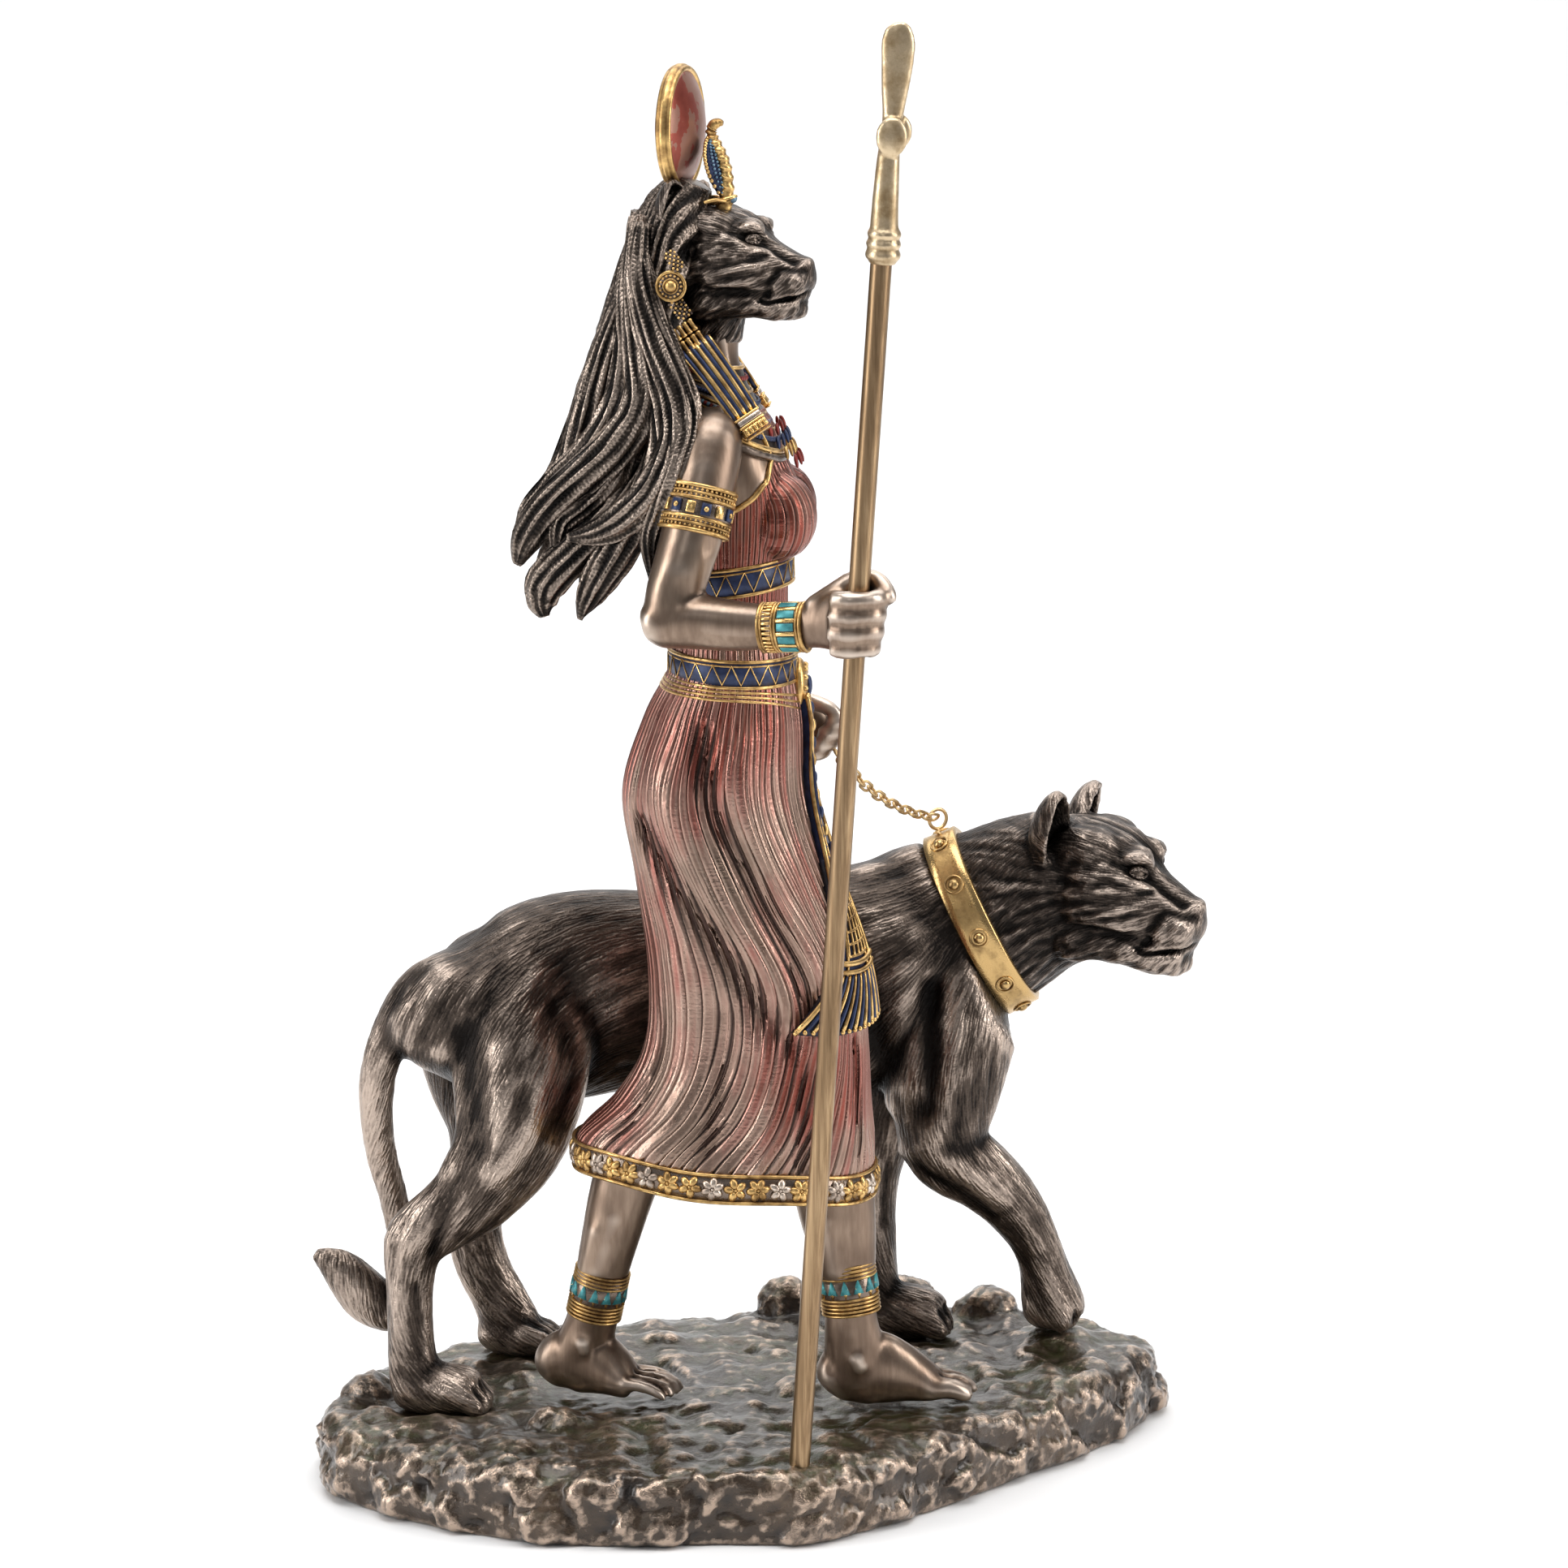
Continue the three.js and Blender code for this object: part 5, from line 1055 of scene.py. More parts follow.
def makeLioness():
    bm = bmesh.new()
    limb(bm, beast["body"], 48)
    limb(bm, beast["neck"][:4], 48)
    limb(bm, [(x, y, z, a * 1.22, b * 1.2) for x, y, z, a, b in beast["tail"]], 24)
    for rows in list(beast["legs"].values()) + list(beast["paws"].values()):
        limb(bm, [(x, y, z, a * 1.02, b * 1.03) for x, y, z, a, b in rows], 32)
    for x, y, level, heading, spread, size in beast["toes"].values():
        addToes(bm, (x, y), heading, level, spread, size)
    for i in range(beast["grain"]["tuftLocks"]):  # leaf-like locks of the tail's tuft
        angle = i * 2.4
        share = 0.25 + 0.75 * (i / beast["grain"]["tuftLocks"])
        root = np.array((-82 - 8 * share, 6.2, 28 + 7 * share))
        off = np.array((-0.62 * math.cos(angle), math.sin(angle) * 0.9, 0.75 * math.cos(angle))) * 2.2
        tip = root + np.array((-7.6, -0.3, 6.4)) + off * 1.35
        mid = root + 0.5 * (tip - root) + off * 0.9
        limb(bm, [(*root, 1.2, 1.2), (*mid, 1.7, 1.3), (*tip, 0.3, 0.3)], 10)
    clay = fused(bm, beast["grain"]["voxel"], 6)
    for path, reach, height in beast["muscles"]:
        clay.stroke(path, reach, height)
    for x, y, level, heading, spread, size in beast["toes"].values():  # clefts between the toes
        ahead, across = headings(heading)
        cleft = [ahead * a * size + np.array((0, 0, h * size)) for a, h in beast["cleft"]]
        for k in (-1, 0, 1):
            middle = np.array((x, y, level)) + across * k * spread
            clay.stroke([middle + p for p in cleft], 0.95, -1.15)
    clay.look()
    clay.relax(1)
    flow = guided(clay.co, clay.normal, beast["coat"])
    clay.comb(flow, 2.0, 0.2)
    seatCollar(clay, 1)
    clay.mark("flow", flow)
    finished("lionessBody", clay, furBronze, "lioness", 12, 0.9)
    head = bmesh.new()
    limb(head, beast["neck"][1:], 48)
    clay, place, own = lionHead(head, (66, 27, 118), 1.0, 0.38, 0.0, 0.5, 0.12)
    flow = faceFlow(own, place, clay.normal)
    seatCollar(clay, -1)
    neck = np.clip((-6 - own[:, 0]) / 8, 0, 1)[:, None]
    down = np.array((-0.75, -0.1, -0.75)) * np.ones_like(flow)
    down -= clay.normal * (down * clay.normal).sum(1)[:, None]
    clay.mark("flow", unit(flow * (1 - neck) + unit(down) * neck))
    finished("lionessHead", clay, faceBronze, "lioness", 10, 1.25)
    addEyes("lioness", place, 1.0, "lioness")


makeLioness()


# The goddess: bare skin
figure = {
    "neck": [(-11.5, -20, 219, 8, 9), (-13.6, -20, 229, 5.5, 5.8), (-14.2, -20.2, 236, 5.3, 5.4),
        (-13.6, -20.4, 245, 6.4, 6.4)],
    "nearUpper": [
        (-12.4, -34, 223, 4, 3), (-13.8, -38, 218.6, 6, 6), (-15.6, -41.4, 211, 6.4, 5.8),
        (-17.6, -43.8, 202, 6.1, 5.3), (-19.7, -45.4, 195, 5.8, 4.9), (-21.8, -46.2, 188, 5.4, 4.6),
        (-22.4, -46.4, 182.5, 4.4, 4.1),
    ],
    "nearFore": [
        (-27.4, -46, 183.6, 2.8, 2.6), (-24.4, -46.2, 184.2, 4.9, 4.3), (-17, -47.4, 184.6, 5.4, 4.8),
        (-10, -49.5, 184.2, 5.0, 4.4), (-3, -52, 184.3, 4.4, 3.7), (3.2, -54.4, 184.8, 4.2, 3.2),
        (7.4, -57.2, 185.8, 5.0, 3.0), (11, -60.2, 186.6, 6.0, 2.9), (14.2, -62.0, 186.8, 5.6, 2.3),
    ],
    "farArm": [
        (-12, -6, 223, 4, 3), (-12.4, -2, 218.6, 6, 6), (-13, 2.2, 208, 6, 5.6), (-13.6, 5.4, 196, 5.6, 5),
        (-14, 7, 186, 5.2, 4.7), (-12, 7.6, 177, 5.1, 4.6), (-6.4, 7, 169.8, 4.8, 4.3),
        (-1.2, 6, 163, 4.1, 3.6), (2.8, 5.4, 158, 3.9, 3.1), (6, 5.2, 154.2, 4.6, 3.1),
        (8.6, 5, 151.4, 3.8, 2.6),
    ],
    "rearLeg": [
        (-23, -12, 84, 6.8, 7.4), (-31.6, -11.4, 65, 7.0, 6.6), (-36.2, -11.4, 48.5, 5.9, 5.5),
        (-38.2, -11, 39, 5.2, 4.8), (-40.0, -9.8, 31, 5.4, 4.4), (-42.4, -8.8, 24, 5.8, 4.2),
        (-42.8, -8.6, 20, 5.6, 4.0),
    ],
    "frontLeg": [
        (4, -16.4, 86, 4.4, 4.4), (8.6, -16.6, 70, 7.4, 6.6), (10.2, -16.7, 61, 8.2, 7),
        (12, -17.2, 50, 7.0, 6), (13.4, -17.7, 40, 5.4, 5.0), (13.8, -18, 34, 5.5, 4.7),
        (14.6, -17.8, 27, 6.4, 4.5), (15.0, -17.4, 21, 6.2, 4.4),
    ],
    "rearFoot": [
        (-50.6, -6.2, 19.2, 2.0, 2.0), (-49.2, -6.5, 20.2, 4.6, 3.8), (-45.4, -7.6, 22.2, 6.8, 4.4),
        (-40.4, -9.0, 22.6, 7.2, 4.6), (-36, -10.4, 21.0, 5.8, 4.9), (-33, -11.6, 19.2, 4.1, 5.1),
        (-31, -12.0, 18.0, 2.8, 5.0),
    ],
    "frontFoot": [
        (8.4, -17, 19.6, 2.0, 2.2), (9.6, -17, 20.6, 4.8, 4.0), (13, -17, 22.6, 7.0, 4.6),
        (18, -16.6, 23.6, 8.0, 4.8), (22.6, -15.6, 22.4, 7.0, 5.0), (26.4, -14.6, 21.0, 5.4, 5.3),
        (30.0, -13.8, 19.4, 3.9, 5.5), (31.6, -13.4, 18.4, 2.8, 5.2),
    ],
    # path, reach, height: sinews, shins, knuckles and ankles
    "strokes": [
        ([(-15.6, -46.4, 214), (-18, -48, 204), (-20.4, -49.6, 196)], 3.2, 0.5),
        ([(-12.4, -46, 207), (-14.6, -48, 199)], 1.6, -0.35),
        ([(-20, -51, 187.4), (-10, -53.6, 187.6), (-2, -55.6, 186.8)], 2.2, 0.35),
        ([(-16, -52, 181.8), (-6, -54, 181.6)], 1.4, -0.25),
        ([(-25.6, -48.6, 182.6), (-26.4, -48.4, 185)], 1.6, 0.4),
        ([(-13.6, -38, 221), (-10, -30, 223.4)], 2.4, 0.3),
        ([(-35, -16.6, 55), (-38.6, -16, 44)], 1.8, 0.35),
        ([(-39.6, -16, 52), (-42.2, -14.4, 42)], 2.2, 0.5), ([(8, -23.4, 56), (9.4, -23.4, 46)], 2.6, 0.6),
        ([(13.6, -22.6, 54), (15.4, -22, 42)], 1.4, -0.3),
        ([(15.0, -22.2, 27.0), (15.6, -22.0, 25.6)], 1.7, 0.9),
        ([(-41.6, -13.4, 27.4), (-41.2, -13.2, 26)], 1.6, 0.85),
        ([(9.6, -20.4, 24), (9.9, -20.2, 30)], 0.9, -0.3), ([(18, -19.8, 23), (26, -17.6, 20)], 1.0, 0.25),
        ([(9.4, -63.2, 190.4), (13.2, -64.9, 191.8)], 0.7, 0.28),
        ([(9.2, -63.2, 187.4), (13, -64.9, 188.4)], 0.7, 0.28),
        ([(9, -62.8, 184.4), (12.6, -64.7, 184.8)], 0.7, 0.28),
        ([(-12.2, -15.4, 237), (-9.6, -16.2, 226)], 1.1, 0.35),
        ([(-12.0, -25.2, 237), (-9.6, -23.8, 226)], 1.1, 0.35),
    ],
    # x and y of the toes' roots, heading, level, sign of the big toe's side
    "toes": {"rear": (-30.4, -12.0, -0.2, 15.0, 1), "front": (30.6, -12.9, 0.22, 15.2, -1)},
    "cleft": [(0.2, 6.6), (2.6, 6.2), (5.2, 5.2), (7.0, 3.2)],
    "voxel": 0.63,
}
grip = np.array((13.9, -59.6, 186.4))
rodFoot = np.array((2.8, -52.0, 10.3))
rodAlong = unit(grip - rodFoot)


def onRod(level):
    return rodFoot + rodAlong * (level - rodFoot[2]) / rodAlong[2]


# angle and distance round what the hand holds
fingerBend = [(150, 1.5), (112, 1.28), (72, 1.12), (34, 1.06), (-4, 1.0), (-44, 1.0), (-84, 0.98),
              (-118, 0.9)]


def addFist(bm, middle, drop, radius, thick, side):
    # four fingers: from the back of the hand over the knuckle, round what they hold, to the palm
    for i in range(4):
        centre = np.array(middle) + np.array(drop) * (1.5 - i)
        slim = thick * (1.0, 1.04, 1.0, 0.86)[i]
        rows = []
        for angle, out in fingerBend:
            a = math.radians(angle)
            far = (radius + slim) * out
            x, y = far * math.cos(a), -side * far * math.sin(a)
            joint = 1.08 if angle in (112, 34, -84) else 0.94
            rows.append((centre[0] + x, centre[1] + y, centre[2], slim * joint, slim * joint))
        limb(bm, rows, 14, steps=3, depth=(0, 0, 1))


def addFoot(bm, rows, toes):
    limb(bm, rows, 28)
    x, y, heading, level, big = toes
    ahead, across = (way[:2] for way in headings(heading))
    for i in range(5):
        out = (i - 1.9) * 2.25 * -big
        size = (2.4, 1.7, 1.6, 1.5, 1.35)[i]
        reach = (7.6, 9.2, 9.0, 8.4, 7.4)[i]
        lift = (0, 1.0, 1.2, 1.0, 0.6)[i]
        root = np.array((x, y)) + ahead * -2.2 + across * out * 0.92
        tip = np.array((x, y)) + ahead * (reach - 1.2) + across * out * 1.04
        middle, joint = 0.5 * (root + tip), 0.2 * root + 0.8 * tip
        rows = [
            (*root, level + 4.0 + lift, size, size),
            (*middle, level + 3.9 + lift, size * 0.98, size * 0.95),
            (*joint, level + 3.1 + lift + 0.1, size * 0.86, size),
            (*tip, level + 2.3 + lift * 0.8, size * 0.7, size * 0.85),
            (*(tip + ahead * 1.0), level + 1.9, size * 0.4, size * 0.5),
        ]
        limb(bm, rows, 14, steps=3)
        nail = (*(tip - ahead * 0.2), level + 2.7 + lift * 0.8 + size * 0.5)
        lump(bm, nail, (size * 0.62, size * 0.6, size * 0.26), turned(heading, 0.4), (10, 6))


def makeSkin():
    bm = bmesh.new()
    for part in ("neck", "nearUpper", "nearFore", "farArm", "rearLeg", "frontLeg"):
        limb(bm, figure[part], 36)
    addFoot(bm, figure["rearFoot"], figure["toes"]["rear"])
    addFoot(bm, figure["frontFoot"], figure["toes"]["front"])
    slope = rodAlong * 3.3 / rodAlong[2]
    addFist(bm, onRod(186.6), slope, 2.15, 1.78, 1)
    # thumb and the ball of the hand
    limb(bm, [(5, -56.6, 188.6, 2.2, 2.0), (9.4, -56.6, 191.4, 2.3, 2.2), (13.6, -56.2, 194.2, 2.0, 2.0),
              (17.4, -57.6, 194.6, 1.8, 1.8), (20.0, -60.2, 192.4, 1.5, 1.6),
              (20.6, -61.4, 190.6, 0.9, 1.1)], 16)
    lump(bm, (9.6, -57.2, 186.2), (5.2, 2.6, 5.6))
    addFist(bm, np.array((7.8, 2.2, 152.6)), np.array((1.55, 0, 2.3)), 1.5, 1.6, -1)
    limb(bm, [(2.4, 3.2, 160.2, 1.9, 1.8), (5.6, 1.0, 160.0, 1.8, 1.7), (9.6, -0.2, 158.6, 1.6, 1.5),
              (12.0, -0.4, 156.0, 1.1, 1.2)], 14)
    clay = fused(bm, figure["voxel"], 3)
    for path, reach, height in figure["strokes"]:
        clay.stroke(path, reach, height)
    for x, y, heading, level, big in figure["toes"].values():  # clefts between the toes
        ahead, across = headings(heading)
        cleft = [ahead * a + np.array((0, 0, h)) for a, h in figure["cleft"]]
        for k in range(4):
            middle = np.array((x, y, level)) + across * (k - 1.35) * 2.3 * -big
            clay.stroke([middle + p for p in cleft], 0.6, -0.9)
    clay.look()
    clay.relax(1)
    finished("goddessSkin", clay, satin, "goddess", 6, 1.6)


def makeGoddessHead():
    bm = bmesh.new()
    limb(bm, [(-13.6, -20.2, 236, 5.4, 5.6), (-13.8, -20.4, 243, 6.6, 6.8), (-14.4, -20.4, 249, 8, 8)], 32)
    clay, place, own = lionHead(bm, (-12.9, -20, 253.4), 0.79, 0.28, 0.13, 0.37, 0.6, 0.9)
    clay.mark("flow", faceFlow(own, place, clay.normal))
    finished("goddessHead", clay, faceBronze, "goddess", 10, 1.5)
    addEyes("goddess", place, 0.79, "goddess")


makeSkin()
makeGoddessHead()


# The gown: level sections from hem to shoulders, x, y, z, half length, half depth, climb
gown = {
    "rows": [
        (-12, -20, 66.2, 30.0, 19.3, -0.1), (-11.6, -20, 72.6, 30, 19, -0.08),
        (-8, -20, 82, 25.6, 18.4, -0.04), (-5.5, -20, 94, 22.6, 17.6), (-6, -20, 110, 21.5, 17.6),
        (-10.2, -20, 129, 19.8, 18.4), (-13.8, -20, 146, 18.6, 18.8), (-12, -20, 161, 16, 17.4),
        (-10.4, -20, 171, 12.6, 15.6), (-10.3, -20, 178, 11.4, 13.8, -0.02),
        (-10, -20, 186.4, 10.8, 13, 0.1), (-9.4, -20, 192, 11.2, 13.6, 0.15),
        (-9.2, -20, 200, 12.4, 15.6, 0.1), (-9.2, -20, 207, 12.4, 16.8), (-10.4, -20, 214, 10.6, 17.2),
        (-11, -20, 219, 9.4, 16.4), (-11.4, -20, 223, 7.4, 12),
    ],
    "pleats": 66, "each": 8, "steps": 8, "groove": 0.5, "lip": 0.14,
    "breasts": [(-0.8, -28.4, 202.4), (-0.8, -11.6, 202.4)], "breastSize": (7.3, 7.3, 8.6),
    "folds": [  # path, reach, height: drapery over the hip and the knees
        ([(-9, -38.6, 158), (-8.4, -39, 148), (-5, -38.8, 138), (2, -37.6, 126), (7, -36, 112)], 4.6, 1.2),
        ([(-16, -38.6, 160), (-15, -39, 150), (-11, -38.8, 140), (-6, -38.6, 131), (0, -37.4, 119),
          (5, -35.4, 104)], 2.6, -1.5),
        ([(-27, -36, 156), (-23, -38, 143), (-16, -38.8, 130), (-8, -38.2, 118), (0, -36.8, 106),
          (4, -35, 97)], 4.0, 1.0),
        ([(-29, -31.6, 140), (-22, -36, 128), (-12, -37.8, 117), (-5, -37.4, 107), (1, -36, 98)], 3.0,
         -1.5),
        ([(-22, -34, 112), (-20, -34, 98), (-22, -35, 86), (-26, -35.6, 76)], 4.4, 1.0),
        ([(-12, -37, 104), (-12.6, -37, 90), (-15, -37.4, 76)], 2.6, -0.8),
        ([(-4, -37, 98), (-4, -37.2, 84), (-6, -38.4, 72)], 2.6, 0.8),
        ([(3, -35.6, 98), (3.4, -36, 84), (4, -37, 72)], 2.4, -0.8),
        ([(10, -32, 100), (11, -32.6, 86), (12, -33.4, 72)], 2.8, 0.7),
        ([(14.4, -28, 96), (15.4, -28.4, 72)], 1.8, -0.5),
        ([(-24, -27, 100), (-28, -29, 86), (-33, -31, 75)], 2.4, -0.7),
        ([(-25, -22, 92), (-33, -23, 80), (-39, -24, 74)], 2.2, 0.7),
        ([(-26, -14, 96), (-34, -12, 80), (-40, -12, 73)], 2.2, -0.7),
        ([(-22, -4, 130), (-20, -3, 104), (-24, -3, 76)], 4.0, 0.9),
        ([(-10, -1, 140), (-8, -2, 108), (-10, -1, 74)], 3.4, -0.9),
        ([(2, -3, 120), (4, -3.6, 96), (4, -2, 74)], 3.6, 0.8),
    ],
}


def gownSections(z):
    rows = smoothRows(gown["rows"], 24)
    return np.array([np.interp(z, rows[:, 2], rows[:, k]) for k in (0, 1, 3, 4, 5)])


def makeGown():
    pleats, each = gown["pleats"], gown["each"]
    fine = smoothRows(gown["rows"], gown["steps"])
    width = chance.uniform(0.72, 1.28, pleats)
    edges = np.concatenate([[0], np.cumsum(width)]) / width.sum()
    share = (np.arange(pleats * each) % each) / each
    line = edges[np.arange(pleats * each) // each] + share * np.repeat(width, each) / width.sum()
    angle = line * 2 * math.pi
    z = fine[:, 2]
    # pleats lean towards the sash between hip and knee, and wander a little
    lean = 0.42 * np.exp(-(((z - 104) / 26) ** 2)) + 0.1 * np.exp(-(((z - 80) / 12) ** 2))
    wander = 0.010 * np.sin(z[:, None] * 0.21 + 5 * np.sin(angle * 3)[None, :])
    turn = angle[None, :] - lean[:, None] * np.sin(angle)[None, :] + wander * (z[:, None] < 168)
    cx, cy, a, b, climb = fine[:, 0:1], fine[:, 1:2], fine[:, 3:4], fine[:, 4:5], fine[:, 5:6]
    gap = np.minimum(share, 1 - share)[None, :]
    groove = np.exp(-((gap / 0.085) ** 2))
    lip = np.exp(-(((gap - 0.2) / 0.08) ** 2))
    soft = np.clip((z[:, None] - 168) / -2, 0.62, 1)
    wave = 0.6 * np.sin(9 * turn + 0.6 * np.sin(2 * turn))
    wave = wave * np.clip((96 - z[:, None]) / 20, 0, 1) * np.clip((z[:, None] - 71) / 6, 0, 1)
    out = (-gown["groove"] * groove + gown["lip"] * lip) * soft + wave
    x = cx + (a + out) * np.cos(turn)
    y = cy + (b + out) * np.sin(turn)
    zz = z[:, None] + climb * (x - cx)
    # the bust swells out of the bodice
    far = np.hypot(x - cx, y - cy)
    dx, dy = (x - cx) / far, (y - cy) / far
    for bx, by, bz in gown["breasts"]:
        hx, hy, hz = gown["breastSize"]
        ex, ey = cx - bx, cy - by
        one, two = (dx / hx) ** 2 + (dy / hy) ** 2, dx * ex / hx ** 2 + dy * ey / hy ** 2
        inside = two ** 2 - one * ((ex / hx) ** 2 + (ey / hy) ** 2 - 1 + ((zz - bz) / hz) ** 2)
        swell = (np.sqrt(np.clip(inside, 0, None)) - two) / one + out
        far = np.where(inside > 0, far + (swell - far) / (1 + np.exp(-(swell - far) * 2.2)), far)
    x, y = cx + far * dx, cy + far * dy
    bm = bmesh.new()
    wrap(bm, np.stack([x, y, zz], axis=2))
    mesh = bpy.data.meshes.new("gown")
    bm.to_mesh(mesh)
    bm.free()
    clay = Clay(mesh)
    for path, reach, height in gown["folds"]:
        clay.stroke(path, reach, height)
    clay.look()
    count = len(clay.co)
    sheet = np.empty(len(mesh.loops) * 2)
    mesh.uv_layers[0].data.foreach_get("uv", sheet)
    which = np.empty(len(mesh.loops), int)
    mesh.loops.foreach_get("vertex_index", which)
    across = np.zeros(count)
    across[which] = sheet.reshape(-1, 2)[:, 0]
    column = np.round(across * pleats * each).astype(int) % (pleats * each)
    tints = chance.random(pleats)
    clay.mark("groove", groove[0][column])
    clay.mark("lip", lip[0][column])
    clay.mark("ribbon", tints[column // each])
    co = clay.co
    redder = 0.95 * np.clip((co[:, 2] - 176) / 6, 0, 1)
    redder += 0.8 * np.exp(-(((co[:, 2] - 160) / 11) ** 2)) * np.clip(1 - co[:, 0] / 8, 0.4, 1)
    rusty = [(0.9, 90, 12, 10, 12), (0.55, 118, 16, -24, 8), (0.4, 80, 9, -36, 10)]
    for share, level, high, x, wide in rusty:
        redder += share * np.exp(-(((co[:, 2] - level) / high) ** 2 + ((co[:, 0] - x) / wide) ** 2))
    clay.mark("tint", np.clip(redder, 0, 1))
    finished("gown", clay, pleatedBronze(), "goddess", 6, 0.8)


makeGown()


# Frames round a level section of the gown: places, directions outwards, and up
def gownRing(level, count, out=0.0, climb=None, wave=0.0):
    cx, cy, a, b, own = gownSections(level)
    climb = own if climb is None else climb
    angle = np.arange(count) / count * 2 * math.pi
    high = level + climb * a * np.cos(angle) + wave * np.sin(5 * angle + 1)
    cx, cy, a, b, own = gownSections(high - own * a * np.cos(angle))
    away = unit(np.column_stack([np.cos(angle) / a, np.sin(angle) / b, 0 * angle]))
    spots = np.column_stack([cx + a * np.cos(angle), cy + b * np.sin(angle), high])
    up = np.tile((0.0, 0.0, 1.0), (count, 1))
    return spots + away * out, away, up


# Frames round a limb, at a share of its path
def limbRing(rows, share, count, out=0.0):
    fine = smoothRows(rows, 24)
    ahead = unit(np.gradient(fine[:, :3], axis=0))
    i = int(round(share * (len(fine) - 1)))
    wide = unit(np.cross((0.0, 1.0, 0.0), ahead[i]))
    deep = np.cross(ahead[i], wide)
    angle = np.arange(count)[:, None] / count * 2 * math.pi
    a, b = fine[i, 3], fine[i, 4]
    away = unit(wide * np.cos(angle) / a + deep * np.sin(angle) / b)
    spots = fine[i, :3] + wide * (a * np.cos(angle)) + deep * (b * np.sin(angle))
    return spots + away * out, away, np.tile(ahead[i], (count, 1))


# A closed moulding: its profile of (out, up) points is carried round the frames
def moulding(bm, ring, profile):
    spots, away, up = ring
    rows = np.stack([spots + away * o + up * u for o, u in profile], axis=1)
    wrap(bm, rows, loop=True)


def rim(bm, ring, radius, lift=0.0, out=0.0):
    sides = 8
    turns = [2 * math.pi * i / sides for i in range(sides)]
    moulding(bm, ring, [(out + radius * math.cos(t), lift + radius * math.sin(t)) for t in turns])


def plate(bm, ring, low, high, thick):
    inner, middle = -0.4, (low + high) / 2
    profile = [(inner, low), (thick, low), (thick, middle), (thick, high), (inner, high), (inner, middle)]
    moulding(bm, ring, profile)


# Small shapes set round a ring: each is made at the origin, out along x, across along y, up along z
def setRound(bm, ring, make, lift=0.0, out=0.0, only=None):
    spots, away, up = ring
    for i, (spot, x) in enumerate(zip(spots, away)):
        if only and not only(i):
            continue
        z = up[i] - x * (up[i] @ x)
        z = z / np.linalg.norm(z)
        y = np.cross(z, x)
        make(bm, Matrix.Translation(spot + x * out + z * lift) @ axes(x, y, z), i)


def bead(size, flat=1.0, detail=(8, 5)):
    def make(bm, place, i):
        ball(bm, place, (size * flat, size, size), detail)
    return make


def block(bm, place, sizes, edge, segments):
    cube = bmesh.ops.create_cube(bm, size=1, matrix=place @ Matrix.Diagonal((*sizes, 1)))
    around = list(dict.fromkeys(e for v in cube["verts"] for e in v.link_edges))
    rounding = {"segments": segments, "affect": "EDGES", "profile": 0.5, "material": -1}
    bmesh.ops.bevel(bm, geom=around, offset=edge, **rounding)


def tile(width, height, thick):
    def make(bm, place, i):
        block(bm, place, (thick * 2, width, height), 0.25 * thick, 1)
    return make


def wedge(width, height, thick, flip=False):
    def make(bm, place, i):
        spin = Matrix.Rotation(-math.pi / 2 if flip else math.pi / 2, 4, "Z")
        spin = Matrix.Rotation(math.pi / 2, 4, "Y") @ spin
        place = place @ Matrix.Diagonal((thick * 2, width, height, 1)) @ spin
        prism = {"segments": 3, "radius1": 0.58, "radius2": 0.4, "depth": 1}
        bmesh.ops.create_cone(bm, cap_ends=True, matrix=place, **prism)
    return make


def flower(size):
    def make(bm, place, i):
        petals = 6 if i % 2 else 5
        for k in range(petals):
            spin = place @ Matrix.Rotation(2 * math.pi * k / petals + 0.4 * i, 4, "X")
            petal = spin @ Matrix.Translation((0.1, 0, size * 0.56)) @ Matrix.Rotation(-0.35, 4, "Y")
            ball(bm, petal, (size * 0.2, size * 0.34, size * 0.46), (7, 5))
        ball(bm, place, (size * 0.3, size * 0.18, size * 0.18), (7, 5))
    return make


# How many points the fine rings have, and the depth coordinate of her middle
ringPoints = {"hem": 220, "belt": 160, "cuff": 60, "yoke": 140, "ground": 120, "collar": 180}
herMiddle = -20
trim = {
    "hem": (65.4, 71.6), "hemFlowers": 42, "flowerSize": 2.5,
    "belt": (169.2, 174.8), "bust": (187.0, 192.8), "beltWedges": 44, "bustWedges": 40,
}


def makeHem():
    low, high = trim["hem"]
    mid, half = (low + high) / 2, (high - low) / 2
    ring = gownRing(mid, ringPoints["hem"], 0.1, -0.1, 0.35)
    bm = bmesh.new()
    plate(bm, ring, -half + 0.3, half - 0.3, 0.55)
    finished("hemBand", bm, darkBronze, "goddess", 3, 1.2)
    bm = bmesh.new()
    rim(bm, ring, 0.36, half - 0.3, 0.5)
    rim(bm, ring, 0.4, -half + 0.3, 0.5)
    finished("hemRims", bm, gold, "goddess", 3, 0.7)
    ring = gownRing(mid, trim["hemFlowers"], 0.1, -0.1, 0.35)
    for part, finish in ((0, gold), (1, paleBronze)):
        bm = bmesh.new()
        setRound(bm, ring, flower(trim["flowerSize"]), 0.0, 0.7, lambda i: (i % 3 == 1) == bool(part))
        finished("hemFlowers" + str(part), bm, finish, "goddess", 1, 0.5)


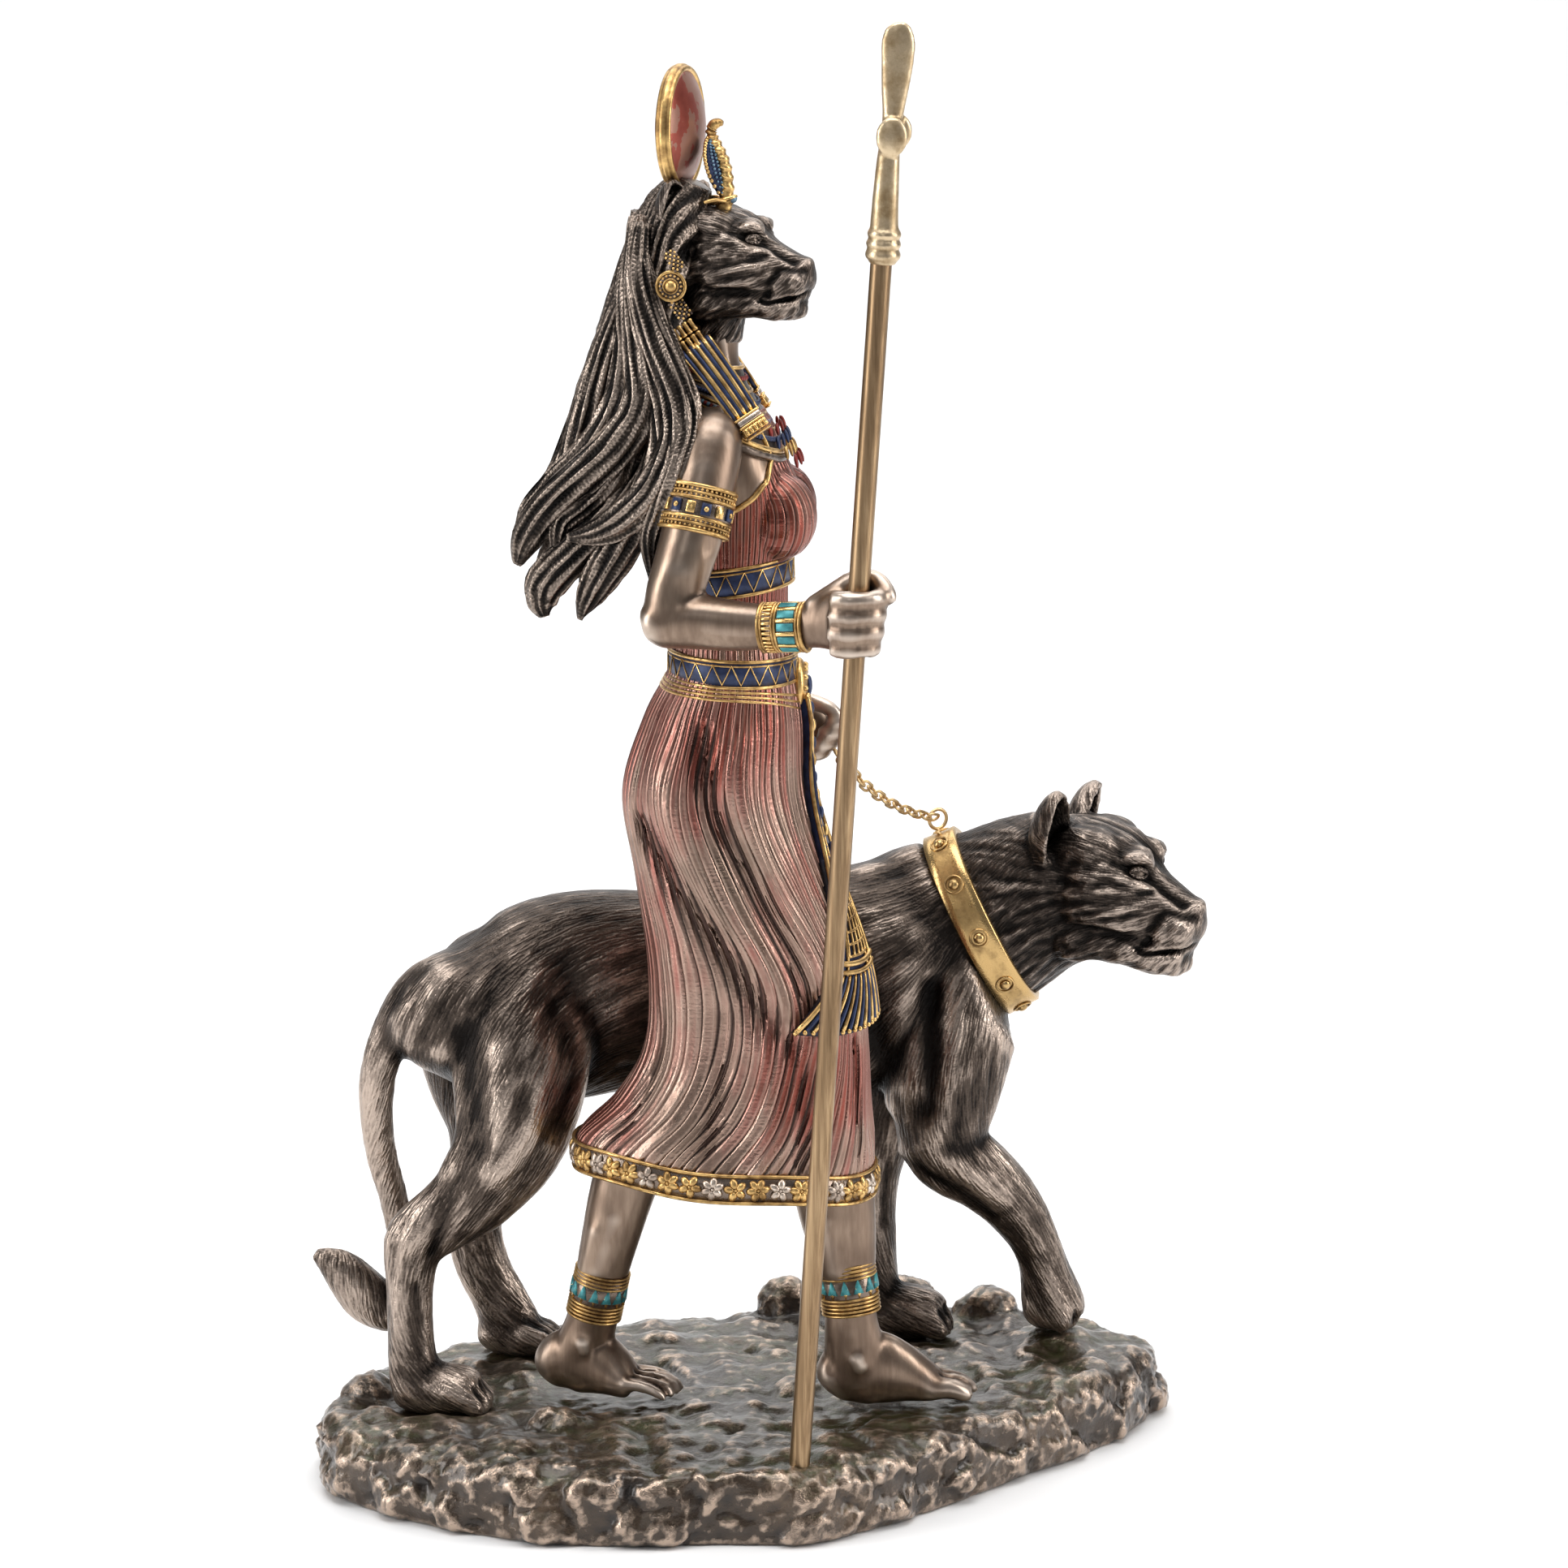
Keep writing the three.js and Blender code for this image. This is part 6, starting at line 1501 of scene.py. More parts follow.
def makeBelts():
    count = ringPoints["belt"]
    for name, climb in (("belt", -0.04), ("bust", 0.15)):
        levels, wedges = trim[name], trim[name + "Wedges"]
        mid, half = (levels[0] + levels[1]) / 2, (levels[1] - levels[0]) / 2
        flat = gownRing(mid, count, 0.1, climb)
        bm = bmesh.new()
        plate(bm, flat, -half + 0.2, half - 0.2, 0.5)
        finished(name + "Field", bm, blue, "goddess", 2, 0.1)
        bm = bmesh.new()
        rim(bm, flat, 0.38, half - 0.2, 0.45)
        rim(bm, flat, 0.38, -half + 0.2, 0.45)
        rim(bm, flat, 0.22, half - 1.1, 0.42)
        spots, away, up = gownRing(mid, wedges, 0.1, climb)
        lifts = [0.62 * half if i % 2 else -0.72 * half for i in range(wedges)]
        zigzag = [spot + away[i] * 0.42 + up[i] * lifts[i] for i, spot in enumerate(spots)]
        limb(bm, [(*p, 0.34, 0.34) for p in zigzag + zigzag[:1]], 8, steps=1, depth=(0.1, 0.1, 1))
        if name == "belt":  # three rims that dip to the front under the belt
            for k in range(3):
                angle = np.arange(count) / count * 2 * math.pi
                spots, away, up = gownRing(levels[0] - 0.6 - 0.8 * k, count, -0.1, climb)
                dip = np.exp(-((np.minimum(angle, 2 * math.pi - angle) / 0.75) ** 2))
                spots = spots + np.column_stack([dip * 0.5, 0 * dip, -dip * (2.4 + 0.6 * k)])
                rim(bm, (spots, away, up), 0.32)
        finished(name + "Trim", bm, gold, "goddess", 2, 0.7)


makeHem()
makeBelts()


# Arm and ankle jewellery
def makeCuffs():
    upper, fore, farFore = figure["nearUpper"], figure["nearFore"], figure["farArm"]
    goldWork, blueWork, tealWork, field = bmesh.new(), bmesh.new(), bmesh.new(), bmesh.new()
    # armlet: a ladder band, a row of squares, a ladder band
    for rows, middle in ((upper, 0.43), (farFore, 0.27)):
        ring = limbRing(rows, middle, ringPoints["cuff"], 0.1)
        plate(field, ring, -4.3, 4.3, 0.35)
        for lift, thick in ((-4.3, 0.45), (-3.0, 0.28), (-1.9, 0.4), (1.9, 0.4), (3.0, 0.28), (4.3, 0.45)):
            rim(goldWork, ring, thick, lift, 0.4)
        small = limbRing(rows, middle, 44, 0.1)
        for lift in (-3.6, -2.45, 2.45, 3.6):
            setRound(goldWork, small, bead(0.3, 1.0, (6, 4)), lift, 0.45)
        squares = limbRing(rows, middle, 14, 0.1)
        setRound(blueWork, squares, tile(1.9, 2.4, 0.3), 0, 0.45, lambda i: i % 2 == 0)
        setRound(goldWork, squares, bead(0.55, 0.6), 0, 0.9, lambda i: i % 2 == 0)
        setRound(goldWork, squares, tile(1.7, 2.3, 0.28), 0, 0.45, lambda i: i % 2 == 1)
    # forearm bracelets: a ladder, then turquoise bars between gold rims
    for rows, middle in ((fore, 0.56), (farFore, 0.705)):
        ring = limbRing(rows, middle, ringPoints["cuff"], 0.1)
        plate(field, ring, -4.2, 4.2, 0.3)
        for lift, thick in ((-4.4, 0.4), (-3.8, 0.3), (-1.5, 0.3), (-0.9, 0.3), (3.5, 0.3), (4.2, 0.42)):
            rim(goldWork, ring, thick, lift, 0.35)
        small = limbRing(rows, middle, 22, 0.1)
        setRound(tealWork, small, tile(1.5, 3.4, 0.25), 1.3, 0.35, lambda i: i % 2 == 0)
        setRound(goldWork, small, tile(0.7, 3.8, 0.3), 1.3, 0.35, lambda i: i % 2 == 1)
        setRound(goldWork, limbRing(rows, middle, 30, 0.1), tile(0.55, 1.7, 0.3), -2.65, 0.35)
    # anklets: thin rims, a row of triangles, thin rims
    for rows, middle in ((figure["rearLeg"], 0.53), (figure["frontLeg"], 0.56)):
        ring = limbRing(rows, middle, ringPoints["cuff"], 0.15)
        plate(field, ring, -5.6, 4.6, 0.2)
        for lift in (4.4, 3.6, 2.8, 2.0, 1.2, -3.2, -4.0, -4.8, -5.6):
            rim(goldWork, ring, 0.3, lift, 0.25)
        small = limbRing(rows, middle, 13, 0.15)
        setRound(tealWork, small, wedge(2.5, 4.4, 0.4, True), -1.2, 0.25)
        setRound(goldWork, small, wedge(1.7, 3.2, 0.42), -0.6, 0.2)
    finished("cuffFields", field, darkBronze, "goddess", 3, 0.8)
    finished("cuffGold", goldWork, gold, "goddess", 2, 0.7)
    finished("cuffBlue", blueWork, blue, "goddess", 2, 0.15)
    finished("cuffTeal", tealWork, teal, "goddess", 2, 0.12)


makeCuffs()


# Hair: locks as paths of x, y, z and thickness, with ridges along them, over a darker mass
hairWork = {
    "mass": [
        (-17.6, -20, 267.4, 4, 6), (-20.4, -20, 262, 6.4, 10.4), (-23.4, -20, 254, 7.4, 12.6),
        (-27, -20, 241, 8.4, 13.6), (-30, -20, 226, 9.2, 14.6), (-33.4, -20, 212, 8.4, 13.2),
        (-38, -20, 203, 5, 9),
    ],
    "near": [
        [(-27.4, -30, 260, 1.6), (-28.0, -33.2, 250, 2.6), (-24.8, -36, 238, 3.2), (-21.0, -39, 228, 3.4),
         (-20.6, -41.4, 219, 3.6), (-24.6, -42.4, 210, 3.8), (-30.6, -41.4, 204, 3.6),
         (-36.4, -40.2, 201, 2.6), (-42.2, -39, 199.8, 0.8)],
        [(-28.2, -29, 260, 1.6), (-28.2, -32.6, 246, 2.8), (-24.4, -36, 232, 3.4), (-22.4, -38.6, 219, 3.8),
         (-25.8, -39.6, 208, 4.0), (-31, -39, 199.4, 3.8), (-35.8, -38, 192, 3.4), (-38.6, -37, 187, 2.2),
         (-40.0, -36.4, 183.2, 0.5)],
        [(-28.6, -27, 261, 1.6), (-29.2, -31.2, 248, 2.6), (-28, -34.0, 236, 3.4), (-27.4, -36, 226, 3.8),
         (-32.4, -36.4, 217.6, 4.0), (-39.4, -35.6, 211, 3.9), (-46.2, -34.2, 204.6, 3.6),
         (-50.4, -33, 198.6, 3.0), (-52.4, -32.4, 193.4, 0.8)],
        [(-27.4, -25, 261, 1.5), (-30.2, -29.0, 248, 2.6), (-29.6, -32.2, 236, 3.4),
         (-31.4, -33.4, 225.6, 3.8), (-37, -32.6, 216, 3.8), (-44, -30.6, 209, 3.4), (-49.4, -29, 203, 2.8),
         (-52.6, -28, 198.6, 0.7)],
        [(-28, -31, 226, 2.2), (-32.4, -35.4, 212, 2.8), (-38.4, -35.4, 206, 2.6),
         (-43.4, -34.8, 202.4, 2.4), (-45, -34.4, 195.4, 0.6)],
        [(-26.4, -34, 214, 2.4), (-33, -36.6, 204, 3.2), (-40.6, -35.6, 196.4, 3.6),
         (-46.4, -34.4, 190.6, 3.8), (-47.6, -34, 186, 2.6), (-47.0, -33.8, 183.4, 0.9)],
        [(-25.4, -22.6, 261, 1.5), (-29.6, -25.4, 250, 2.4), (-33.6, -27, 238, 3.0), (-37, -27.6, 227, 3.4),
         (-40.4, -27, 217, 3.2), (-44.8, -26, 209, 2.6), (-48.6, -25.6, 203, 1.0)],
        [(-27.4, -32.6, 254, 1.2), (-25.0, -35.4, 243, 2.0), (-20.6, -38, 232, 2.2),
         (-18.4, -40.4, 224, 2.5), (-20.8, -44.0, 214.6, 2.4), (-24.2, -43.8, 206, 2.2),
         (-26.2, -42.4, 199.6, 1.8), (-25.6, -41, 191.4, 0.6)],
    ],
    "far": 7,
    "ridges": 9, "ridgeDepth": 0.13,
}


def addLock(bm, rows, thick=1.0, flat=0.72, twist=1.2, phase=0.0):
    spots = [(x, y, z, r * thick, r * thick * flat) for x, y, z, r in rows]
    ridges, depth = hairWork["ridges"], hairWork["ridgeDepth"]

    def swell(share, angle):
        size = np.interp(share, np.linspace(0, 1, len(rows)), [r[3] for r in rows])
        turn = angle + twist * share + phase
        sharp = 0.75 * np.abs(np.cos(ridges * turn / 2)) + 0.25 * np.abs(np.cos((ridges + 4) * turn / 2 + 1))
        fade = np.clip((1.02 - share) * 6, 0.15, 1)
        return size * depth * 2.0 * (0.62 - sharp) * fade * thick

    limb(bm, spots, 56, steps=5, depth=(0.15, 1, 0.1), swell=swell)


def makeHair():
    bm = bmesh.new()
    guides = []

    def massSwell(share, angle):
        wavy = angle + 0.35 * np.sin(share * 5 + angle * 2)
        fade = np.clip(share * 6, 0, 1) * np.clip((1 - share) * 5, 0, 1)
        return 1.1 * (0.55 - np.abs(np.cos(11 * wavy))) * fade

    limb(bm, hairWork["mass"], 150, steps=7, depth=(0, 1, 0), swell=massSwell)
    locks = [(rows, 1.0) for rows in hairWork["near"]]
    for rows in hairWork["near"][:7]:  # the far side carries the same locks, fallen a little otherwise
        aside, inwards, high = chance.uniform(-2.2, 2.2, 3)
        fallen = []
        for i, (x, y, z, r) in enumerate(rows):
            fallen.append((x + aside * i / 8, -40 - y + inwards * i / 16, z + high * i / 8, r))
        locks.append((fallen, 0.98))
    for k in range(hairWork["far"]):  # and a row falls down her back
        y = -29 + 18 * k / (hairWork["far"] - 1)
        reach = chance.uniform(-3, 3)
        locks.append(([
            (-19, y * 0.5 - 10, 263.6, 1.4), (-25.0, y * 0.8 - 4, 257, 2.3), (-30.0, y, 246, 2.8),
            (-34.8, y, 234, 3.1), (-38.4, y, 222, 3.4), (-41.6, y, 211 + reach, 3.2),
            (-46, y, 203 + reach, 2.4), (-49.4, y, 198 + reach, 0.7),
        ], 1.0))
    for k, (rows, thick) in enumerate(locks):
        addLock(bm, rows, thick, 0.74, 1.0 + 0.5 * math.sin(k * 2.1), k * 1.7)
        path = smoothRows([r[:3] for r in rows], 6)[:, :3]
        guides += list(zip(path, np.gradient(path, axis=0)))
    mesh = bpy.data.meshes.new("hair")
    bmesh.ops.recalc_face_normals(bm, faces=bm.faces)
    bm.to_mesh(mesh)
    bm.free()
    clay = Clay(mesh)
    tree = kdtree.KDTree(len(guides))
    for k, guide in enumerate(guides):
        tree.insert(guide[0], k)
    tree.balance()
    flow = unit([guides[tree.find(spot)[1]][1] for spot in clay.co])
    flow = unit(flow - clay.normal * (flow * clay.normal).sum(1)[:, None])
    clay.comb(flow, 0.95, 0.2)
    clay.mark("flow", flow)
    finished("hair", clay, hairBronze, "goddess", 6, 1.6)


makeHair()


# Rosette earrings, bead nets, tubes and the striped bands that end on the collar
jewels = {
    "rosette": (-21.8, 15.6, 248.4), "bandTop": (-16.9, 14.4, 236.2), "bandEnd": (-7.6, 17.6, 223.6),
    "bandWidth": (2.9, 2.3), "bandRods": 7, "tubeWidth": 0.98,
    # along a tube and its thickness there
    "tube": [(-0.02, 0.7), (0.06, 1.15), (0.14, 1.2), (0.2, 0.95), (0.8, 0.95), (0.9, 1.2), (1, 1.1),
        (1.04, 0.5)],
    # blocks of the cap: place along the band, length, half width
    "cap": [(0.3, 0.5, 2.9), (1.15, 1.1, 2.6), (2.05, 0.5, 2.9), (3.2, 1.6, 2.7), (4.5, 0.4, 2.8)],
}


# A place beside her middle, the same on both sides
def beside(spot, side):
    return np.array((spot[0], herMiddle + side * spot[1], spot[2]))


def makeJewels():
    goldWork, dark, blueWork, paleWork = bmesh.new(), bmesh.new(), bmesh.new(), bmesh.new()
    for side in (-1, 1):
        rosette = beside(jewels["rosette"], side)
        out = Vector((-0.14, side, 0.06)).normalized()
        across = Vector((0, 0, 1)).cross(out).normalized()
        disc = Matrix.Translation(rosette) @ axes(out, across, out.cross(across))
        ball(dark, disc, (1.1, 2.9, 2.9), (24, 10))
        ball(goldWork, disc @ Matrix.Translation((0.7, 0, 0)), (1.0, 1.25, 1.25))
        angle = np.arange(48) / 48 * 2 * math.pi
        flat = np.array(disc.to_3x3())
        ring = np.column_stack([0 * angle, np.cos(angle), np.sin(angle)]) @ flat.T
        middle = np.array(disc.translation)
        ways = np.tile(flat[:, 0], (48, 1))
        rim(goldWork, (middle + ring * 2.75, ring, ways), 0.34, 0.55)
        rim(goldWork, (middle + ring * 1.42, ring, ways), 0.16, 0.95)
        setRound(goldWork, (middle + ring[::3] * 2.08, ring[::3], ways[::3]), bead(0.27, 1.0, (7, 5)), 1.0)
        # the band: dark ground, gold and blue rods, ribbed cap
        top, end = beside(jewels["bandTop"], side), beside(jewels["bandEnd"], side)
        run = end - top
        along = unit(run)
        away = unit(np.array((0.22, side * 1.0, 0.35)))
        width = unit(np.cross(along, away))
        away = unit(np.cross(width, along))
        if away[1] * side < 0:
            away = -away
        nets = ((rosette + np.array((0.6, 0, -3.0)), 1), (rosette + np.array((-0.6, 0, 6.4)), 0.8))
        for k in range(7):  # nets of beads under the rosette and from the ear down to it
            for j in range(5):
                for start, spread in nets:
                    spot = start + along * (k * 0.62) + width * (j - 2) * 0.66 * spread + away * 0.35
                    work = goldWork if (k + j) % 2 else dark
                    ball(work, Matrix.Translation(spot), (1, 1, 1), (6, 4), 0.3)
        for row in range(2):
            for j in range(4):
                start = top - along * (5.6 - 2.9 * row) + width * (j - 1.5) * 1.28 + away * 0.4
                tube = along * 2.5
                thick = [jewels["tubeWidth"] * r / 2 for s, r in jewels["tube"]]
                rows = [(*(start + tube * s), r, r) for (s, _), r in zip(jewels["tube"], thick)]
                limb(goldWork, rows, 12, steps=1, depth=tuple(away))

        # a rod down the band: its share across, what it lies beyond the band, height and drop, thickness
        def bandRod(work, share, beyond, high, drop, thick, sides):
            near, far = jewels["bandWidth"]
            rows = []
            for s in np.linspace(-0.06, 1.0, 6):
                reach = near * (1 - s) + far * s + beyond
                lift = high + 0.6 * math.sin(s * 3.1) - drop
                rows.append((*(top + run * s + width * share * reach + away * lift), thick, thick))
            limb(work, rows, sides, steps=2, depth=tuple(away))

        last = (jewels["bandRods"] - 1) / 2
        for j in range(jewels["bandRods"]):
            share = (j - last) / last
            work, thick = (goldWork, 0.52) if j % 2 else (blueWork, 0.46)
            bandRod(work, share, 0.0, 0.5, 0.3 * share * share, thick, 12)
        for edge in (-1, 1):
            bandRod(goldWork, edge, 0.5, 0.2, 0.0, 0.3, 10)
        spin = axes(away, width, along)
        for k, (lift, long, half) in enumerate(jewels["cap"]):
            work = goldWork if k != 1 else paleWork
            place = Matrix.Translation(end + along * lift + away * 0.3) @ spin
            block(work, place, (2.2, half * 2, long), 0.22, 2)
        for j in range(5):  # ribs on the cap
            spot = end + along * 3.2 + width * (j - 2) * 1.05 + away * 1.4
            ball(goldWork, Matrix.Translation(spot) @ spin, (0.42, 0.38, 0.85), (8, 6))
    finished("jewelGold", goldWork, gold, "goddess", 2, 0.8)
    finished("jewelDark", dark, darkBronze, "goddess", 2, 0.5)
    finished("jewelBlue", blueWork, blue, "goddess", 2, 0.5)
    finished("jewelPale", paleWork, paleBronze, "goddess", 2, 0.5)


makeJewels()


# The broad collar: bead rows on a sloping yoke from neck to shoulders
yoke = {
    "rows": [(-14.2, -20, 232.2, 5.8, 6.6, -0.1), (-13.8, -20, 229, 6.8, 10, -0.25),
        (-12.6, -20, 225.4, 8.8, 14.2, -0.38),
             (-11.8, -20, 222.6, 10.4, 17.4, -0.45), (-11.4, -20, 219.6, 11.4, 19.6, -0.5)],
}


# the armhole's edge in the picture: x and level, from the shoulder down
armhole = [(-7.0, 221.8), (-5.2, 220.0), (-4.0, 217.4), (-2.9, 214.2), (-3.6, 210.4), (-6.2, 207.1),
           (-8.8, 205.2), (-11.6, 203.8), (-14.6, 203.0)]


def yokeRing(share, count, out=0.0):
    fine = smoothRows(yoke["rows"], 12)
    i = share * (len(fine) - 1)
    low = min(int(i), len(fine) - 2)
    row = fine[low] + (fine[low + 1] - fine[low]) * (i - low)
    step = fine[low + 1] - fine[low]
    angle = np.arange(count) / count * 2 * math.pi
    c, s = np.cos(angle), np.sin(angle)
    x, y, z, a, b, climb = row
    spots = np.column_stack([x + a * c, y + b * s, z + climb * a * c])
    fall = step[2] + (climb + step[5]) * (a + step[3]) * c - climb * a * c
    down = unit(np.column_stack([step[0] + step[3] * c, step[1] + step[4] * s, fall]))
    along = unit(np.column_stack([-a * s, b * c, -climb * a * s]))
    away = unit(np.cross(down, along))
    away *= np.sign((away * np.column_stack([c, s, 0 * c + 0.3])).sum(1))[:, None]
    return spots + away * out, away, -down


def makeYoke():
    ground, goldWork, redWork, skyWork, blueWork, rollWork = (bmesh.new() for _ in range(6))
    count = ringPoints["ground"]
    rows = np.array([yokeRing(s, count, 0.0)[0] for s in np.linspace(0, 1, 22)])
    inner = np.array([yokeRing(s, count, -1.4)[0] for s in np.linspace(1, 0, 6)])
    wrap(ground, np.concatenate([rows, inner]), ends=False, loop=True)
    for share, size in ((0.05, 0.42), (0.3, 0.28), (0.5, 0.3), (0.68, 0.28), (0.93, 0.62)):
        rim(goldWork, yokeRing(share, ringPoints["yoke"], 0.15), size)
    for share, count, work, size, only in (
        (0.17, 56, redWork, 0.52, None), (0.4, 84, blueWork, 0.5, None),
        (0.59, 96, skyWork, 0.46, lambda i: i % 2 == 0), (0.59, 96, redWork, 0.46, lambda i: i % 2 == 1),
        (0.8, 104, blueWork, 0.6, None),
    ):
        setRound(work, yokeRing(share, count, 0.2), bead(size, 0.8, (7, 5)), 0.0, 0.0, only)
    rim(rollWork, yokeRing(1.0, ringPoints["yoke"], -0.2), 0.85, -0.5)
    # the winged jewel on the breast: four tiers of small feathers spread to both sides
    tiers = [
        (219.0, 7, 0.85, redWork), (216.8, 8, 0.9, blueWork), (214.4, 7, 0.95, goldWork),
        (212.2, 5, 0.95, redWork),
    ]
    for tier, (level, count, size, work) in enumerate(tiers):
        cx, cy, a, b = gownSections(level)[:4]
        for k in range(count):
            angle = (k - (count - 1) / 2) * (1.5 - 0.2 * tier) / count
            out = 1.5 + 0.3 * tier - 0.5 * abs(angle)
            x, y = cx + (a + out) * math.cos(angle), cy + (b + out) * math.sin(angle) * 0.8
            spot = Vector((x, y, level - 2.2 * abs(angle) ** 1.4 + 0.1 * (a + out)))
            away = Vector((math.cos(angle), math.sin(angle), 0.35)).normalized()
            down = Vector((0.3, math.sin(angle) * 1.2, -1)).normalized()
            side = down.cross(away).normalized()
            down = away.cross(side)
            feather = (0.4, size * 0.6, size * 1.6)
            ball(work, Matrix.Translation(spot) @ axes(away, side, down), feather, (10, 7))
    finished("yokeGround", ground, darkBronze, "goddess", 3, 0.6)
    finished("yokeGold", goldWork, gold, "goddess", 2, 0.7)
    finished("yokeRed", redWork, red, "goddess", 2, 0.2)
    finished("yokeSky", skyWork, sky, "goddess", 2, 0.2)
    finished("yokeBlue", blueWork, blue, "goddess", 2, 0.2)
    finished("yokeRoll", rollWork, darkBronze, "goddess", 3, 0.6)
    # bare sides of the chest, and the gold edges of the armholes beside the breast
    bm, bare = bmesh.new(), bmesh.new()
    levels = np.array([row[1] for row in armhole])
    for side in (-1, 1):
        sheet, edge = [], []
        for z in np.linspace(levels[0], levels[-1], 30):
            x = np.interp(-z, -levels, [row[0] for row in armhole])
            cx, cy, a, b = gownSections(z)[:4]
            start = math.acos(max(-0.98, min(0.98, (x - cx) / a)))

            def ring(angle, out):
                return cx + (a + out) * math.cos(angle), cy + side * (b + out) * math.sin(angle), z

            turns = np.linspace(start, 2.7, 24)
            sheet.append([ring(t, 0.45) for t in turns] + [ring(t, -0.8) for t in turns[::-1]])
            edge.append(ring(start, 0.6))
        wrap(bare, np.array(sheet))
        limb(bm, [(*spot, 0.62, 0.5) for spot in edge], 10, steps=2, depth=(0.4, 0.5, 0.6))
    finished("sideSkin", bare, satin, "goddess", 4, 0.8)
    finished("armholeEdges", bm, gold, "goddess", 3, 0.7)


makeYoke()


# The sash hangs from the belt and ends in a wide fringe towards the near knee
sashWork = {
    "top": 166.0, "end": 98.5, "lean": -0.66, "wide": (3.7, 5.6, 10.6), "out": 1.2, "bar": 0.8,
    # outline of the oval in the sash: across and down
    "oval": [
        (0.30, 0.52), (0.36, 0.565), (0.30, 0.6), (0, 0.618), (-0.30, 0.6), (-0.36, 0.565), (-0.30, 0.52),
        (0, 0.5), (0.3, 0.52),
    ],
    "depth": (0.3, 0.5, 0.2), "plaque": (3.0, -20, 167.2),
}


def onSash(s, t, out=0.0):
    level = sashWork["top"] + (sashWork["end"] - sashWork["top"]) * t
    cx, cy, a, b, climb = gownSections(level)
    start, middle, end = sashWork["wide"]
    below = max((t - sashWork["bar"]) / (1 - sashWork["bar"]), 0)
    half = start + (middle - start) * min(t / sashWork["bar"], 1) ** 2 + (end - middle) * below ** 1.15
    angle = sashWork["lean"] * t ** 2.2 + s * half / 17.5
    far = sashWork["out"] + out + 1.2 * max(0.0, t - 0.6)
    bend = 3.4 * max(0.0, t - 0.6) * s * s
    z = level + bend + climb * a * math.cos(angle)
    return np.array((cx + (a + far) * math.cos(angle), cy + (b + far) * math.sin(angle), z))


def sashLine(bm, points, thick, out=0.55):
    rows = [(*onSash(s, t, out), thick, thick) for s, t in points]
    limb(bm, rows, 10, steps=2, depth=sashWork["depth"])


def makeSash():
    ground, goldWork, blueWork = bmesh.new(), bmesh.new(), bmesh.new()
    rows = []
    for t in np.linspace(-0.02, 1, 60):
        outer = [onSash(s, t, 0.25) for s in np.linspace(-1, 1, 17)]
        inner = [onSash(s, t, -1.6) for s in np.linspace(1, -1, 9)]
        rows.append(outer + inner)
    wrap(ground, np.array(rows))
    run = np.linspace(0, 1, 22)
    for edge in (-1, 1):
        sashLine(goldWork, [(edge, t) for t in run], 0.5)
        sashLine(goldWork, [(edge * 0.62, t) for t in run[:20]], 0.34, 0.45)
    for k in range(21):  # blue bars between the edge rods, down the upper part
        for edge in (-1, 1):
            t = 0.02 + k * 0.031
            a, b = onSash(edge * 0.68, t, 0.4), onSash(edge * 0.95, t, 0.4)
            limb(blueWork, [(*a, 0.42, 0.42), (*b, 0.42, 0.42)], 7, steps=1, depth=sashWork["depth"])
    for k in range(9):  # drops down the middle
        spot = onSash(0, 0.05 + 0.052 * k, 0.5)
        lump(goldWork if k % 2 else blueWork, spot, (0.6, 0.85, 1.3), None, (10, 7))
    drop = onSash(0, 0.565, 0.7)
    lump(goldWork, drop, (1.0, 1.5, 2.3), turned(sashWork["lean"] * 0.3), (16, 12))
    sashLine(goldWork, sashWork["oval"], 0.26, 0.6)
    for k in range(5):
        t = 0.635 + 0.035 * k
        sashLine(goldWork, [(s, t) for s in np.linspace(-0.6, 0.6, 7)], 0.3, 0.7)
    for s in (-0.6, -0.3, 0.0, 0.3, 0.6):
        sashLine(goldWork, [(s, t) for t in np.linspace(0.635, 0.775, 5)], 0.3, 0.7)
    for t, thick in ((0.795, 0.6), (0.82, 0.5)):
        sashLine(goldWork, [(s, t) for s in np.linspace(-1.06, 1.06, 11)], thick, 0.8)
    for j in range(17):  # the fringe: rods that fan out to bead ends
        s = (j - 8) / 8 * 1.02
        work = goldWork if j % 2 == 0 else blueWork
        rows = []
        for t in np.linspace(0.83, 0.985, 5):
            thick = 0.3 + 1.1 * (t - 0.82)
            rows.append((*onSash(s, t, 0.6), thick, thick))
        limb(work, rows, 8, steps=2, depth=sashWork["depth"])
        lump(goldWork, onSash(s, 0.99, 0.65), (0.5, 0.56, 0.56), None, (8, 6))
    # buckle plaque at the belt
    x, y, z = sashWork["plaque"]
    lump(goldWork, (x, y, z), (1.9, 4.6, 5.6), None, (24, 16))
    for k in range(12):
        a = 2 * math.pi * k / 12
        spot = (x + 1.2, y + 3.4 * math.cos(a), z + 4.2 * math.sin(a))
        lump(goldWork, spot, (0.7, 0.6, 0.6), None, (8, 6))
    lump(blueWork, (x + 1.9, y, z), (0.8, 1.6, 2.1), None, (14, 10))
    finished("sashGround", ground, blue, "goddess", 3, 0.5)
    finished("sashGold", goldWork, gold, "goddess", 2, 0.8)
    finished("sashBlue", blueWork, blue, "goddess", 2, 0.15)


makeSash()


